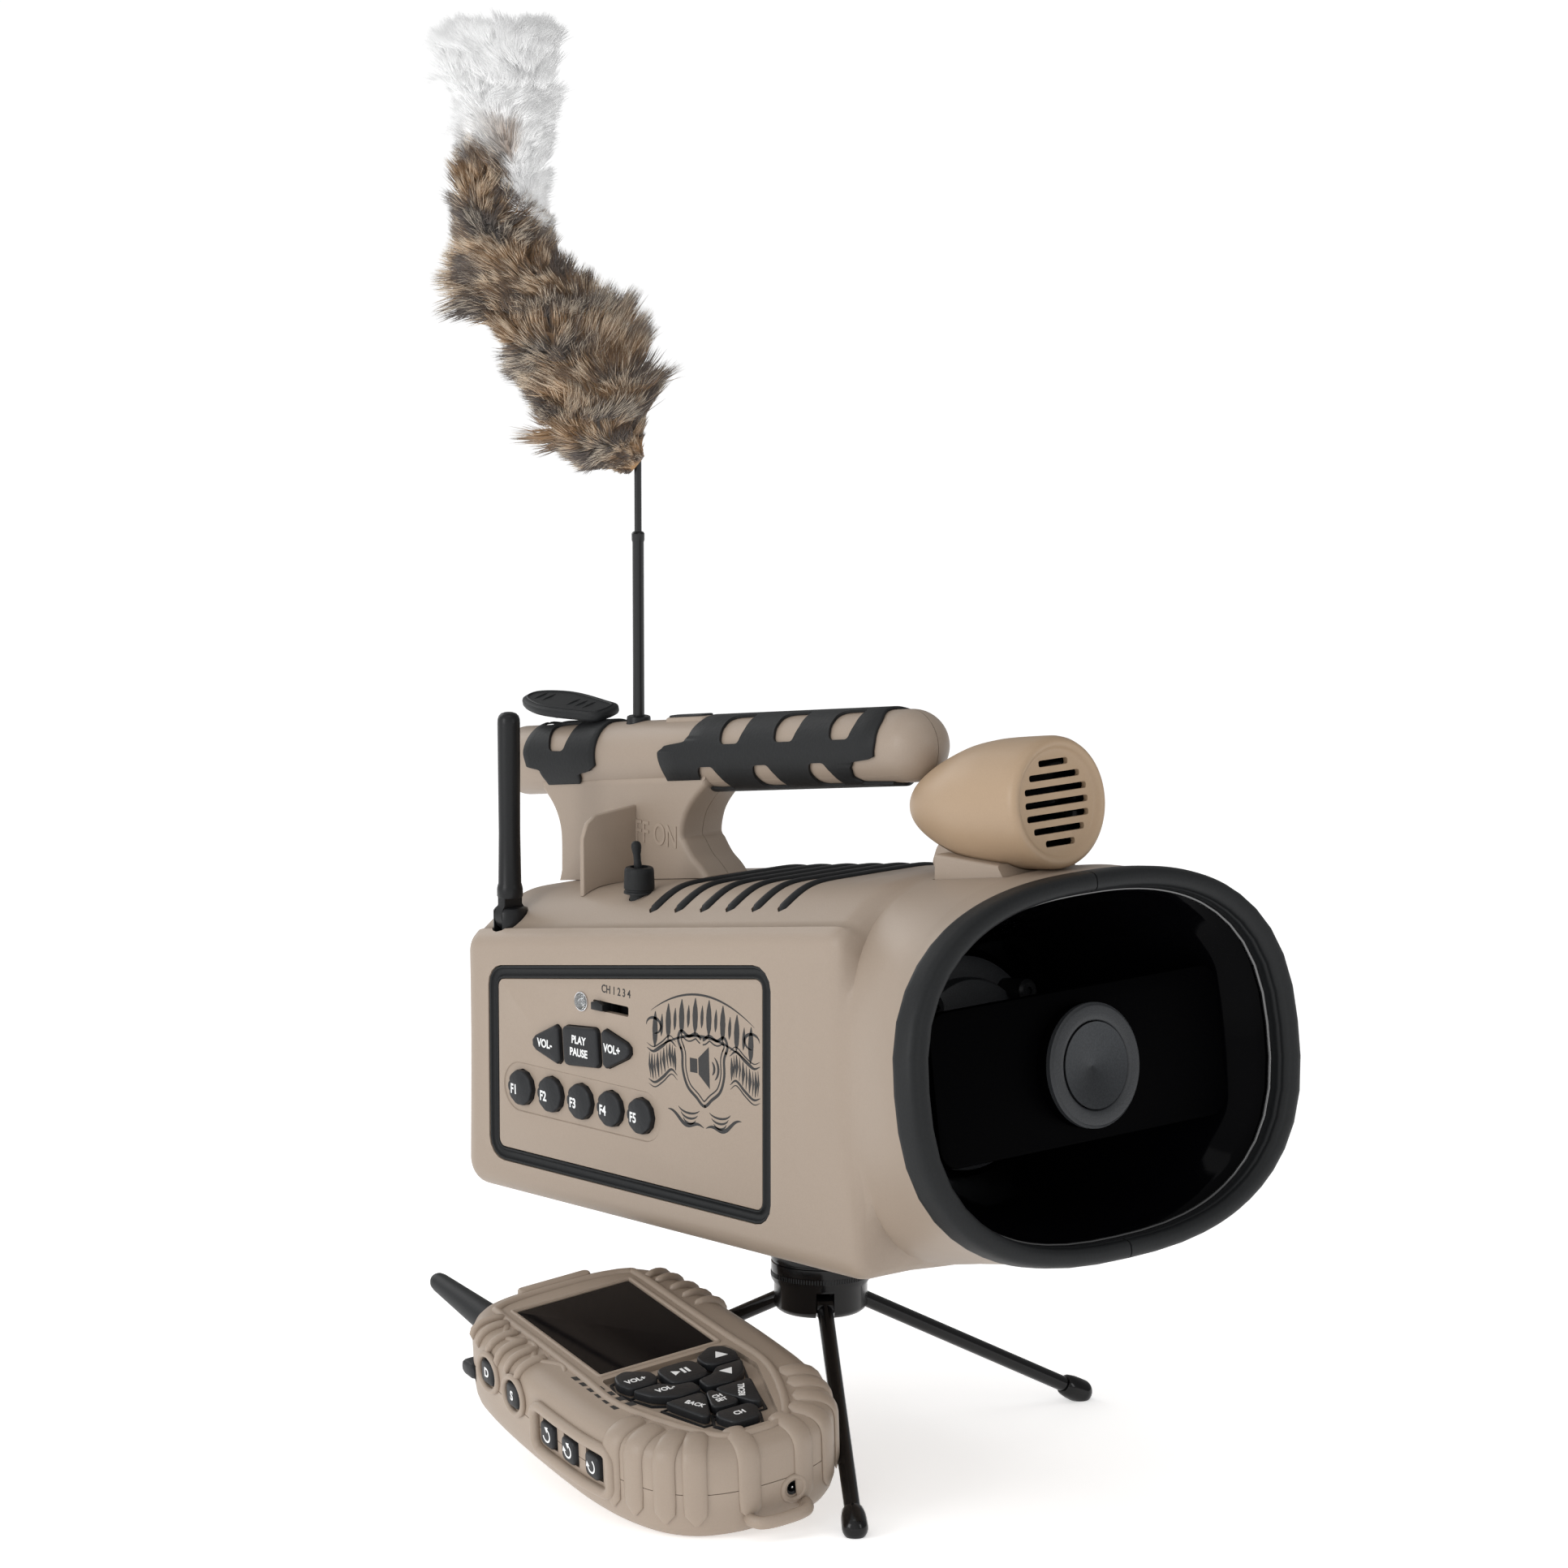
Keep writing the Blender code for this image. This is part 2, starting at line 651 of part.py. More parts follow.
def make_horn():
    sizes = ((13, 94, 65.8, 2.5), (24, 85, 61.5, 2.4), (44, 69, 55.5, 2.3), (66, 53, 49, 2.1),
             (88, 43, 43, 2.0), (HORN_FLOOR_DEPTH, 40, 40, 2.0))
    inner = [rim_loop(5, 8.0), rim_loop(9.6, 8.0)] + [mouth_loop(*size) for size in sizes]
    outer = [rim_loop(5, 6.0), rim_loop(9.6, 6.0)]
    outer += [mouth_loop(d, a + 2, b + 2, n) for d, a, b, n in sizes[:-1]]
    outer.append(mouth_loop(HORN_FLOOR_DEPTH + 2, 42, 42, 2))
    finish(cup("horn", outer, inner), "horn_flare", gloss_black())

    bridge_depth, half_long, half_high = 18.0, 79.0, 30.0
    corners = [(-half_long, -half_high), (half_long, -half_high),
               (half_long, half_high), (-half_long, half_high)]
    frame = (Matrix.Translation(along_mouth(bridge_depth, 0, 0)) @ Matrix.Rotation(-PITCH, 4, "Y")
             @ Matrix.Rotation(radians(90), 4, "Y") @ Matrix.Rotation(radians(90), 4, "Z"))
    bar = plate("bridge", rounded_outline(corners, 9), -5, 0, frame)
    finish(bar, "horn_bridge", gloss_black())

    disc = [(0, 5.4), (15.5, 6.6), (17.0, 7.4), (19.0, 8.2), (21.5, 8.4), (22.3, 7.6),
            (23.2, 8.0), (DISC_RADIUS, 7.0), (DISC_RADIUS, 0.3), (0, 0.3)]
    base = along_mouth(bridge_depth, 0, 0)
    finish(turned("disc", disc, 24, base, (cos(PITCH), 0, sin(PITCH))), "horn_disc",
           material("grey_plastic", (0.06, 0.062, 0.066, 1), 0.55))

    ring = ((RIM_DEPTH, 0.0), (2.6, 0.0), (0.6, 1.0), (0, 3.2), (0, 8.0), (0.9, 10.2), (3.2, 11.0),
            (9.0, 11.0), (9.0, 8.4), (4.6, 8.4), (4.6, 2.6), (RIM_DEPTH, 2.6))
    loops = [rim_loop(depth, offset) for depth, offset in ring]
    finish(ring_loft("rim", loops), "horn_rim", black_rubber())


# ---------------------------------------------------------------- handle
def handle_z(x):
    return HANDLE_Z_AT_ZERO + SLOPE * x


def handle_point(x, angle, radius):
    """Point around the handle axis at x; the angle starts at +Y and turns up."""
    up = radius * sin(angle)
    return Vector((x - up * sin(PITCH), radius * cos(angle), handle_z(x) + up * cos(PITCH)))


def handle_bar():
    """Round bar with a domed front end and a softly rounded rear end."""
    length = (HANDLE_FRONT_X - HANDLE_REAR_X) / cos(PITCH)
    profile = [(0, length)]
    for k in range(1, 6):
        angle = radians(90 * k / 5)
        profile.append((HANDLE_RADIUS * sin(angle), length - HANDLE_RADIUS * (1 - cos(angle))))
    profile += [(HANDLE_RADIUS, 5), (12.6, 1.5), (9.5, 0), (0, 0)]
    base = (HANDLE_REAR_X, 0, handle_z(HANDLE_REAR_X))
    return turned("bar", profile, 20, base, (cos(PITCH), 0, sin(PITCH)))


def post_outline():
    """Side view of the post under the handle, in (x, z), with its hollows front and rear."""
    front = [(-56, deck_z(-56) - 4), (-56.2, deck_z(-56) + 1), (-60, deck_z(-60) + 5),
             (-65.5, deck_z(-65) + 9.5), (-70, deck_z(-70) + 15.5), (-72, 246.5), (-70, 254.5),
             (-65, 261.5), (-57, handle_z(-57) - 12.5), (-57, handle_z(-57) - 7)]
    rear = [(-160, handle_z(-160) - 7), (-160, handle_z(-160) - 12), (-154, 249),
            (-150.5, 243), (-149, 236), (-149, deck_z(-149) + 5), (-150, deck_z(-150) - 4)]
    return front + rear


def switch_guard():
    """Thin upright fin beside the switch, from the post out over the deck's shoulder."""
    outline = [(-5, 212), (-5, 256.3), (-34, 254), (-38.5, 251), (-41, 245), (-41, 212)]
    frame = Matrix(((0, 0, 1, GUARD_X), (1, 0, 0, 0), (0, 1, 0, 0), (0, 0, 0, 1)))
    return plate("fin", outline, -1.2, 1.2, frame)


def under_deck():
    """Everything below the deck's surface, for trimming what stands on it."""
    return deck_band("deck", -190, 30, 57, GAP, -60)


def post_solid(clearance=0.0):
    half = POST_HALF_WIDTH + clearance
    levels = ((2.0, -half), (0.6, 0.6 - half), (0, 2.0 - half), (0, half - 2.0), (0.6, half - 0.6),
              (2.0, half))
    outline = grown(post_outline(), clearance) if clearance else post_outline()
    return stacked("post", outline, levels, Matrix.Rotation(radians(90), 4, "X"))


def make_handle():
    whole = join(handle_bar(), post_solid())
    far_side = box("far_side", (-200, -HALF_GAP, 150), (100, 60, 330))
    near_side = box("near_side", (-200, -60, 150), (100, HALF_GAP, 330))
    left = cut(copy_of(whole, "left"), near_side, under_deck())
    right = cut(join(whole, switch_guard()), far_side, under_deck())
    for half, name in ((right, "handle_right"), (left, "handle_left")):
        socket = rod_between("socket", (ROD_X, 0, handle_z(ROD_X) - 6), (ROD_X, 0, 320), 5.3)
        finish(cut(half, socket, socket_well()), name, tan_plastic())


def socket_well():
    """Cutter for the well of sockets in the top of the handle's rear end."""
    x = CAP_HINGE_X - CAP_PLUG_REACH
    return rod_between("well", handle_point(x, pi / 2, 8), handle_point(x, pi / 2, 22), 6.0)


def grip_sleeve(name, rear, front, sides=16):
    """Thin rubber sleeve on the bar; rear and front give the end x for each angle."""
    def loop(end, radius):
        return [handle_point(end(2 * pi * k / sides), 2 * pi * k / sides, radius)
                for k in range(sides)]
    def middle(part):
        return lambda angle: rear(angle) + (front(angle) - rear(angle)) * part
    ends = [rear, middle(1 / 3), middle(2 / 3), front]
    loops = [loop(end, GRIP_OUTER) for end in ends] + [loop(end, GRIP_INNER) for end in ends[::-1]]
    return ring_loft(name, loops)


def window_cutter(x, angle, lean):
    """Slanted oval hole through one wall of a grip sleeve."""
    bm = bmesh.new()
    bmesh.ops.create_cone(bm, cap_ends=True, segments=8, radius1=1, radius2=1, depth=10)
    bmesh.ops.scale(bm, vec=(6.0, 9.0, 1), verts=bm.verts)
    out = Vector((0, cos(angle), sin(angle)))
    turn = Matrix.Rotation(-(pi / 2 - angle), 4, "X") @ Matrix.Rotation(lean, 4, "Z")
    centre = handle_point(x, angle, 0) + out * GRIP_OUTER
    bmesh.ops.transform(bm, matrix=Matrix.Translation(centre) @ turn, verts=bm.verts)
    return from_bmesh("window", bm)


def make_grips():
    def lobed_rear(angle):
        return -60 + 14 * max(0.0, -sin(angle)) ** 2 - 14 * cos(angle) ** 4
    def slanted_front(angle):
        return 44 + 5 * sin(angle)
    front = grip_sleeve("front", lobed_rear, slanted_front)
    windows = []
    for side in (0, 1):
        for k in range(3):
            for height, shift in ((38, 0), (-38, -14)):
                angle = radians(height)
                lean = -0.5 if height > 0 else 0.5
                if side == 0:
                    angle, lean = pi - angle, -lean
                windows.append(window_cutter(-20 + 23 * k + shift, angle, lean))
    finish(cut(front, post_solid(3 * GAP), *windows), "grip_front", black_rubber())

    def rear_end(angle):
        return HANDLE_REAR_X + 6 + 3 * sin(angle)
    def notched_front(angle):
        return -139 - 30 * max(0.0, -sin(angle)) ** 2 + 6 * cos(angle) ** 2
    rear = grip_sleeve("rear", rear_end, notched_front)
    finish(cut(rear, post_solid(3 * GAP), socket_well(), window_cutter(-158, radians(142), 0.5),
               window_cutter(-158, radians(38), -0.5)), "grip_rear", black_rubber())


def make_plug_cap():
    """Rubber leaf over the sockets on the handle's rear end, standing half open."""
    hinge_z = handle_z(CAP_HINGE_X) + GRIP_OUTER + 2.4
    lift = radians(9)
    frame = Matrix.Translation((CAP_HINGE_X, 0, hinge_z)) @ Matrix.Rotation(lift - PITCH, 4, "Y")
    leaf = [(0, -6), (0, 6), (-12, 9), (-30, 11), (-42, 9), (-50, 5), (-52, 0),
            (-50, -5), (-42, -9), (-30, -11), (-12, -9)]
    body = plate("leaf", leaf, -1.2, 2.2, frame)
    plug = rod_between("plug", frame @ Vector((-CAP_PLUG_REACH, 0, -4.4)),
                       frame @ Vector((-CAP_PLUG_REACH, 0, 0)), 4.6)
    finish(join(body, plug), "plug_cap", black_rubber(), (CAP_HINGE_X, 0, hinge_z))


# ---------------------------------------------------------------- tweeter
def make_tweeter():
    forward = Vector((cos(PITCH), 0, sin(PITCH)))
    outer = [(TWEETER_RADIUS - 4.5, 0), (TWEETER_RADIUS - 1.4, 0.4), (TWEETER_RADIUS, -2.0),
             (TWEETER_RADIUS, -22), (25.4, -31), (23.4, -42), (20.2, -53), (16.6, -63),
             (12.2, -72), (7.5, -78), (3.0, -80.6), (0, -TWEETER_LENGTH)]
    profile = [(0, -2.2), (TWEETER_RADIUS - 5.2, -2.2)] + outer
    hollow = [(0, -4.6), (21.5, -4.6), (21.5, -30), (0, -30)]
    shell = cut(turned("shell", profile, 24, TWEETER_FACE, forward),
                turned("hollow", hollow, 20, TWEETER_FACE, forward))
    slots = []
    for k in range(7):
        up = (k - 3) * 5.2
        half = sqrt(max(1.0, 17.5 ** 2 - up ** 2))
        slots.append(moved(box("slot", (-12, -half, up - 1.15), (4, half, up + 1.15)),
                           pitched(*TWEETER_FACE)))
    drain = rod_between("drain", TWEETER_FACE + forward * -18 + Vector((0, 0, -30)),
                        TWEETER_FACE + forward * -18, 1.5, sides=8)
    finish(cut(shell, drain, *slots), "tweeter_housing",
           material("amber_tan_plastic", (0.42, 0.29, 0.17, 1), 0.45))

    driver = [(0, -10), (8, -9), (19.5, -7.5), (20.8, -9), (20.8, -12), (13, -26), (0, -26)]
    finish(turned("driver", driver, 20, TWEETER_FACE, forward), "tweeter_driver", black_plastic())

    low, high = TWEETER_BLOCK
    block = box("block", low, (high.x, high.y, deck_z(105) + 7), 1.5)
    front_cut = moved(box("bevel", (0, -30, -20), (30, 30, 20)),
                      Matrix.Translation((124, 0, 257)) @ Matrix.Rotation(radians(-38), 4, "Y"))
    neck = [(76, deck_z(76) + 2.6), (134, deck_z(134) + 2.6), (135, 262), (120, 275), (92, 272),
            (80, 262)]
    column = upright_plate("neck", neck, -13, 13)
    clear = [(r + GAP if r else 0, z) for r, z in outer]
    clear = [(0, 2)] + [(TWEETER_RADIUS + GAP, 2)] + clear[2:-1] + [(0, -TWEETER_LENGTH - GAP)]
    bullet = turned("bullet", clear, 24, TWEETER_FACE, forward)
    mount = cut(join(block, rounded(column, 2.0)), bullet, front_cut)
    finish(mount, "tweeter_mount", tan_plastic())


# ---------------------------------------------------------------- decoy
def make_decoy():
    top = handle_z(ROD_X) + HANDLE_RADIUS
    boss = [(0, top + 2.4), (4.2, top + 2.4), (5.0, top + 1.6), (5.0, top - 18), (0, top - 18)]
    bore = rod_between("bore", (ROD_X, 0, top - 12), (ROD_X, 0, top + 5), TUBE_RADIUS + GAP)
    finish(cut(turned("boss", boss, 16, (ROD_X, 0, 0)), bore), "decoy_socket", black_plastic())

    low = top - 11.5
    rod = [(0, TAIL_BASE_Z + 40), (WIRE_RADIUS, TAIL_BASE_Z + 40), (WIRE_RADIUS, TUBE_TOP + 1.5),
           (TUBE_RADIUS + 0.3, TUBE_TOP + 0.5), (TUBE_RADIUS + 0.3, TUBE_TOP - 2.5),
           (TUBE_RADIUS, TUBE_TOP - 3), (TUBE_RADIUS, low), (0, low)]
    finish(turned("rod", rod, 10, (ROD_X, 0, 0)), "decoy_rod", black_plastic(), (ROD_X, 0, top))

    lean = radians(47.5)
    across = Vector((cos(lean), sin(lean), 0))
    spine = [(0, 0, 7), (-7, 6, 13.5), (-15, 15, 21), (-21, 28, 26), (-27, 42, 27), (-36, 56, 24.5),
             (-47, 71, 21.5), (-54, 88, 19.5), (-56.5, 104, 18.5), (-55, 121, 18),
             (-53.5, 138, 19.5), (-54, 153, 23), (-56, 168, 26.5), (-56.5, 180, 22), (-57, 188, 12)]
    loops = []
    for i, (shift, height, radius) in enumerate(spine):
        before, after = spine[max(0, i - 1)], spine[min(len(spine) - 1, i + 1)]
        run = (across * (after[0] - before[0]) + Vector((0, 0, after[1] - before[1]))).normalized()
        side = Vector((-sin(lean), cos(lean), 0))
        other = side.cross(run)
        centre = Vector((ROD_X, 0, TAIL_BASE_Z)) + across * shift + Vector((0, 0, height))
        loops.append([centre + side * radius * cos(a) + other * radius * sin(a)
                      for a in (2 * pi * k / 14 for k in range(14))])
    tail = loft("tail", loops)
    hole = rod_between("hole", (ROD_X, 0, TAIL_BASE_Z - 10), (ROD_X, 0, TAIL_BASE_Z + 40.5),
                       WIRE_RADIUS + GAP)
    finish(cut(tail, hole), "decoy_tail", material("fur", (0.30, 0.22, 0.15, 1), 0.9),
           (ROD_X, 0, TAIL_BASE_Z))


# ---------------------------------------------------------------- switch and antenna
def make_toggle():
    base = crown_drop(-TOGGLE_Y) + deck_z(TOGGLE_X)
    skirt = [(0, base + 9.2), (2.6, base + 9.2), (4.6, base + 7.6), (6.2, base + 5.0),
             (6.2, base + 0.8), (3.9, base + 0.8), (3.9, base - 8), (0, base - 8)]
    body = turned("bushing", skirt, 16, (TOGGLE_X, TOGGLE_Y, 0))
    seat = rod_between("seat", (TOGGLE_X, TOGGLE_Y, base - 3), (TOGGLE_X, TOGGLE_Y, base + 12), 2.4)
    slab = deck_band("slab", TOGGLE_X - 20, TOGGLE_X + 20, 57, GAP, -2.4)
    hole = rod_between("hole", (TOGGLE_X, TOGGLE_Y, base - 15), (TOGGLE_X, TOGGLE_Y, base + 20), 4.2)
    finish(cut(body, seat, cut(slab, hole)), "toggle_bushing", black_rubber())

    pivot = base + 5
    lever = [(0, 15.5), (1.3, 15.0), (2.0, 13.8), (1.35, 4), (1.35, -6), (0, -6)]
    obj = turned("lever", lever, 10, (TOGGLE_X, TOGGLE_Y, pivot), (-0.12, 0, 1))
    finish(obj, "toggle_lever", black_plastic(), (TOGGLE_X, TOGGLE_Y, pivot))


ANTENNA_PIVOT_Z = ANTENNA_LEDGE + 10.5


def make_antenna():
    at = (ANTENNA_X, ANTENNA_Y, 0)
    low = ANTENNA_LEDGE
    knuckle = [(0, low + 14), (5.6, low + 14), (7.0, low + 12.5), (7.0, low - 7), (0, low - 7)]
    fork = box("fork", (ANTENNA_X - 2.6, ANTENNA_Y - 10, low + 3.5),
               (ANTENNA_X + 2.6, ANTENNA_Y + 10, low + 20))
    finish(cut(turned("knuckle", knuckle, 16, at), fork), "antenna_base", black_plastic(), at)

    whip = [(0, 295.5), (3.2, 295.0), (4.7, 293.0), (4.5, 245), (4.8, 224), (5.4, 221.5),
            (5.4, 218), (0, 218)]
    tongue = box("tongue", (ANTENNA_X - 2.3, ANTENNA_Y - 4.2, low + 6.2),
                 (ANTENNA_X + 2.3, ANTENNA_Y + 4.2, 220), 0.8)
    finish(join(turned("whip", whip, 14, at), tongue), "antenna_whip", black_plastic(),
           (ANTENNA_X, ANTENNA_Y, ANTENNA_PIVOT_Z))


# ---------------------------------------------------------------- side panel
def regular_outline(sides, radius, turn=0.0):
    return [(radius * cos(2 * pi * k / sides + turn), radius * sin(2 * pi * k / sides + turn))
            for k in range(sides)]


def key_places():
    """Each panel key: name, x, z, outline, tilt."""
    tilt = radians(4.9)
    left_arrow = rounded_outline([(-14.4, 0), (7.0, -8.2), (9.0, -6.6), (9.0, 6.6), (7.0, 8.2)],
                                 [3.4, 1.0, 0.6, 0.6, 1.0], 3)
    right_arrow = [(-x, y) for x, y in reversed(left_arrow)]
    wide = rounded_outline([(-11, -8.2), (11, -8.2), (11, 8.2), (-11, 8.2)], 2.4, 3)
    places = [("key_vol_minus", -95.2, 163.2, left_arrow, tilt),
              ("key_play_pause", -72.9, 165.2, wide, tilt),
              ("key_vol_plus", -50.6, 167.2, right_arrow, tilt)]
    for k in range(5):
        places.append((f"key_f{k + 1}", F_KEY_FIRST_X + F_KEY_STEP * k, F_KEY_Z,
                       regular_outline(12, F_KEY_RADIUS), 0.0))
    return places


PLATE_FACE = -0.9               # heights out of the case side: the plate sits a little below it
PLATE_BACK = -3.4
KEY_TRAVEL = 1.0
SLOT_X, SLOT_Z, SLOT_HALF = -55.9, 183.6, 10.9
LED_X, LED_Z = -74.1, 183.7


def make_panel():
    outer = panel_outline()
    inner = grown(outer, -PANEL_FRAME_WIDTH)
    frame = upright_plate("frame", outer, PANEL_Y + 0.5, PANEL_Y + 6.0)
    hole = upright_plate("hole", inner, PANEL_Y - 5, PANEL_Y + 12)
    finish(cut(frame, hole), "panel_frame", black_rubber())

    face = upright_plate("face", grown(inner, -GAP), PANEL_Y - PLATE_FACE, PANEL_Y - PLATE_BACK)
    cutters = []
    for name, x, z, outline, tilt in key_places():
        cutters.append(plate("hole", grown(outline, GAP), -8, 4, side_frame(x, z, tilt)))
    slot = rounded_outline([(-SLOT_HALF, -2.1), (SLOT_HALF, -2.1), (SLOT_HALF, 2.1),
                            (-SLOT_HALF, 2.1)], 0.8, 2)
    cutters.append(plate("slot", slot, -8, 4, side_frame(SLOT_X, SLOT_Z)))
    cutters.append(plate("led", regular_outline(12, 3.1), -8, 4, side_frame(LED_X, LED_Z)))
    finish(cut(face, *cutters), "panel_plate", tan_plastic())

    for name, x, z, outline, tilt in key_places():
        levels = ((-0.8, -8.0), (-0.8, PLATE_BACK - GAP), (0, PLATE_BACK - GAP), (0, 0.7), (1.3, 1.8))
        key = stacked("key", outline, levels, side_frame(x, z, tilt))
        finish(key, name, black_rubber(), (x, PANEL_Y, z))

    dome = [(0, 1.6), (1.5, 1.3), (2.5, 0.3), (2.8, -0.9), (2.8, -6), (0, -6)]
    finish(turned("lens", dome, 12, (LED_X, PANEL_Y, LED_Z), (0, -1, 0)), "led_lens",
           material("clear_lens", (0.8, 0.82, 0.82, 1), 0.05))

    knob_x = SLOT_X - SLOT_HALF + 4.2
    knob = plate("knob", [(-3.6, -1.5), (3.6, -1.5), (3.6, 1.5), (-3.6, 1.5)], -5.5, 1.4,
                 side_frame(knob_x, SLOT_Z))
    foot = plate("foot", [(-4, -4), (4, -4), (4, 4), (-4, 4)], -7, PLATE_BACK - GAP,
                 side_frame(knob_x, SLOT_Z))
    finish(join(knob, foot), "channel_knob", black_plastic(), (knob_x, PANEL_Y, SLOT_Z))


# ---------------------------------------------------------------- tripod
def leg_frame(azimuth):
    """Frame at a leg's pivot: X points outwards, Y along the hinge pin, Z up."""
    return (Matrix.Rotation(radians(azimuth), 4, "Z")
            @ Matrix.Translation((LEG_PIVOT_RADIUS, 0, LEG_PIVOT_Z)))


def make_tripod():
    hub = [(0, HUB_TOP), (HUB_RADIUS - 0.8, HUB_TOP), (HUB_RADIUS, HUB_TOP - 0.8),
           (HUB_RADIUS, HUB_BOTTOM + 8), (HUB_RADIUS - 1.2, HUB_BOTTOM + 6),
           (HUB_RADIUS - 1.2, HUB_BOTTOM - 3), (HUB_RADIUS - 3.5, HUB_BOTTOM - 5.5),
           (0, HUB_BOTTOM - 5.5)]
    body = turned("hub", hub, 24)
    slots = [moved(box("slot", (-7, -3.7, -20), (30, 3.7, 6.2)), leg_frame(a)) for a in LEG_AZIMUTHS]
    finish(cut(body, *slots), "tripod_hub", black_plastic(), (0, 0, HUB_BOTTOM))

    table = [(0, CASE_BOTTOM + 5.5), (4.6, CASE_BOTTOM + 5.5), (4.6, CASE_BOTTOM - GAP),
             (18.6, CASE_BOTTOM - GAP), (19.6, CASE_BOTTOM - 1.3), (19.6, HUB_TOP + 1.2),
             (18.6, HUB_TOP + GAP), (0, HUB_TOP + GAP)]
    finish(turned("table", table, 24), "turntable", black_plastic(), (0, 0, HUB_TOP))

    out = FOOT_CIRCLE - LEG_PIVOT_RADIUS
    drop = LEG_PIVOT_Z - FOOT_CENTRE_Z
    length = sqrt(out ** 2 + drop ** 2)
    down = asin(drop / length)
    for number, azimuth in enumerate(LEG_AZIMUTHS, 1):
        profile = [(0, 0.5), (LEG_RADIUS, 0.5), (LEG_RADIUS, 10 - length), (4.3, 9.4 - length),
                   (5.0, 6 - length)]
        profile += [(FOOT_RADIUS * cos(radians(a)), -length - FOOT_RADIUS * sin(radians(a)))
                    for a in (0, 30, 60, 90)]
        profile = [(r if r > 0.01 else 0, z) for r, z in profile]
        leg = turned("leg", profile, 14, (0, 0, 0), (-cos(down), 0, sin(down)))
        eye = rod_between("eye", (0, -3.3, 0), (0, 3.3, 0), 4.2)
        leg = moved(join(leg, eye), leg_frame(azimuth))
        floor = box("floor", (-200, -200, -30), (200, 200, 0))
        leg = cut(leg, floor)
        finish(leg, f"tripod_leg_{number}", black_plastic(), leg_frame(azimuth).translation)


# ---------------------------------------------------------------- remote
REMOTE_END_V = -109.0


def remote_frame():
    """Remote's own frame as it leans on two tripod legs: its back's lower end is on the floor."""
    along = Vector((cos(REMOTE_HEADING) * cos(REMOTE_RISE), sin(REMOTE_HEADING) * cos(REMOTE_RISE),
                    sin(REMOTE_RISE)))
    right = along.cross(Vector((0, 0, 1))).normalized()
    out = right.cross(along)
    right = Matrix.Rotation(REMOTE_ROLL, 3, along) @ right
    out = Matrix.Rotation(REMOTE_ROLL, 3, along) @ out
    turn = Matrix((right, along, out)).transposed().to_4x4()
    return (Matrix.Translation(REMOTE_FOOT) @ turn @ Matrix.Scale(REMOTE_SCALE, 4)
            @ Matrix.Translation((0, -REMOTE_END_V - 3.0, REMOTE_DEPTH)))


def remote_outline():
    """Front view of the remote's case in (u, v), starting at the middle of its top end."""
    half = [(0, 51), (12, 50.6), (22, 49.4), (30, 46.5), (36.5, 41), (41, 33), (43.4, 20), (45, 0),
            (45.8, -20), (46, -40), (45.4, -58), (42.6, -76), (36.6, -92), (27, -102.5),
            (14, -107.8), (0, -109)]
    return half + [(-u, v) for u, v in reversed(half[1:-1])]


def remote_loop(inset, w):
    return [Vector((u, v, w)) for u, v in grown(remote_outline(), -inset)]


SCREEN_HALF_U, SCREEN_HALF_V = 23.4, 31.2
KEYPAD_W = -2.2


def remote_key_outlines():
    """Face keys of the remote, each as an outline in (u, v)."""
    def mirror_u(points):
        return [(-u, v) for u, v in reversed(points)]
    vol_up = [(-24.5, -44.5), (-22.5, -38.5), (-17.5, -36.5), (-9.3, -42), (-9.3, -47.5), (-12, -50.6),
              (-22.5, -50.6)]
    vol_down = [(-22.8, -52), (-11.6, -52), (-7.6, -56.4), (-1, -57.4), (-1, -64.2), (-11.5, -65.2),
                (-19, -60)]
    back = [(-17.8, -66.4), (-2.6, -66.4), (-2.6, -70), (-9.4, -84.4), (-12, -84.4)]
    return {"remote_key_vol_up": vol_up, "remote_key_vol_down": vol_down,
            "remote_key_up": mirror_u(vol_up), "remote_key_down": mirror_u(vol_down),
            "remote_key_play": rounded_outline([(-8, -56), (8, -56), (8, -41.5), (-8, -41.5)], 3.4, 2),
            "remote_key_back": back, "remote_key_recall": mirror_u(back),
            "remote_key_ch_set": [(-5.6, -78.4), (-1.3, -67), (1.3, -67), (5.6, -78.4), (4.2, -80.4),
                                  (-4.2, -80.4)],
            "remote_key_ch": [(-6.6, -83), (6.6, -83), (8.4, -86.4), (5.4, -94), (-5.4, -94),
                              (-8.4, -86.4)]}


def side_key_places():
    """Keys on the remote's left edge: name, v, w, half length, half height."""
    return (("remote_key_d", 15.0, -12.0, 4.4, 4.6), ("remote_key_s", -6.5, -12.0, 4.4, 4.6),
            ("remote_key_turn_left", -33.0, -16.5, 4.8, 4.8),
            ("remote_key_turn_auto", -48.0, -16.5, 4.8, 4.8),
            ("remote_key_turn_right", -63.0, -16.5, 4.8, 4.8))


def edge_at(v, side=-1):
    """Half width of the case outline at v."""
    half = remote_outline()[:16]
    for (u0, v0), (u1, v1) in zip(half, half[1:]):
        if v1 <= v <= v0:
            return side * (u0 + (u1 - u0) * (v - v0) / (v1 - v0))
    return side * half[8][0]


def edge_box(name, v, w, half_v, half_w, inner, outer, bevel=0.0):
    """Box on the remote's left edge from depth inner to height outer off the case."""
    u = edge_at(v)
    return box(name, (u - outer, v - half_v, w - half_w), (u + inner, v + half_v, w + half_w), bevel, 2)


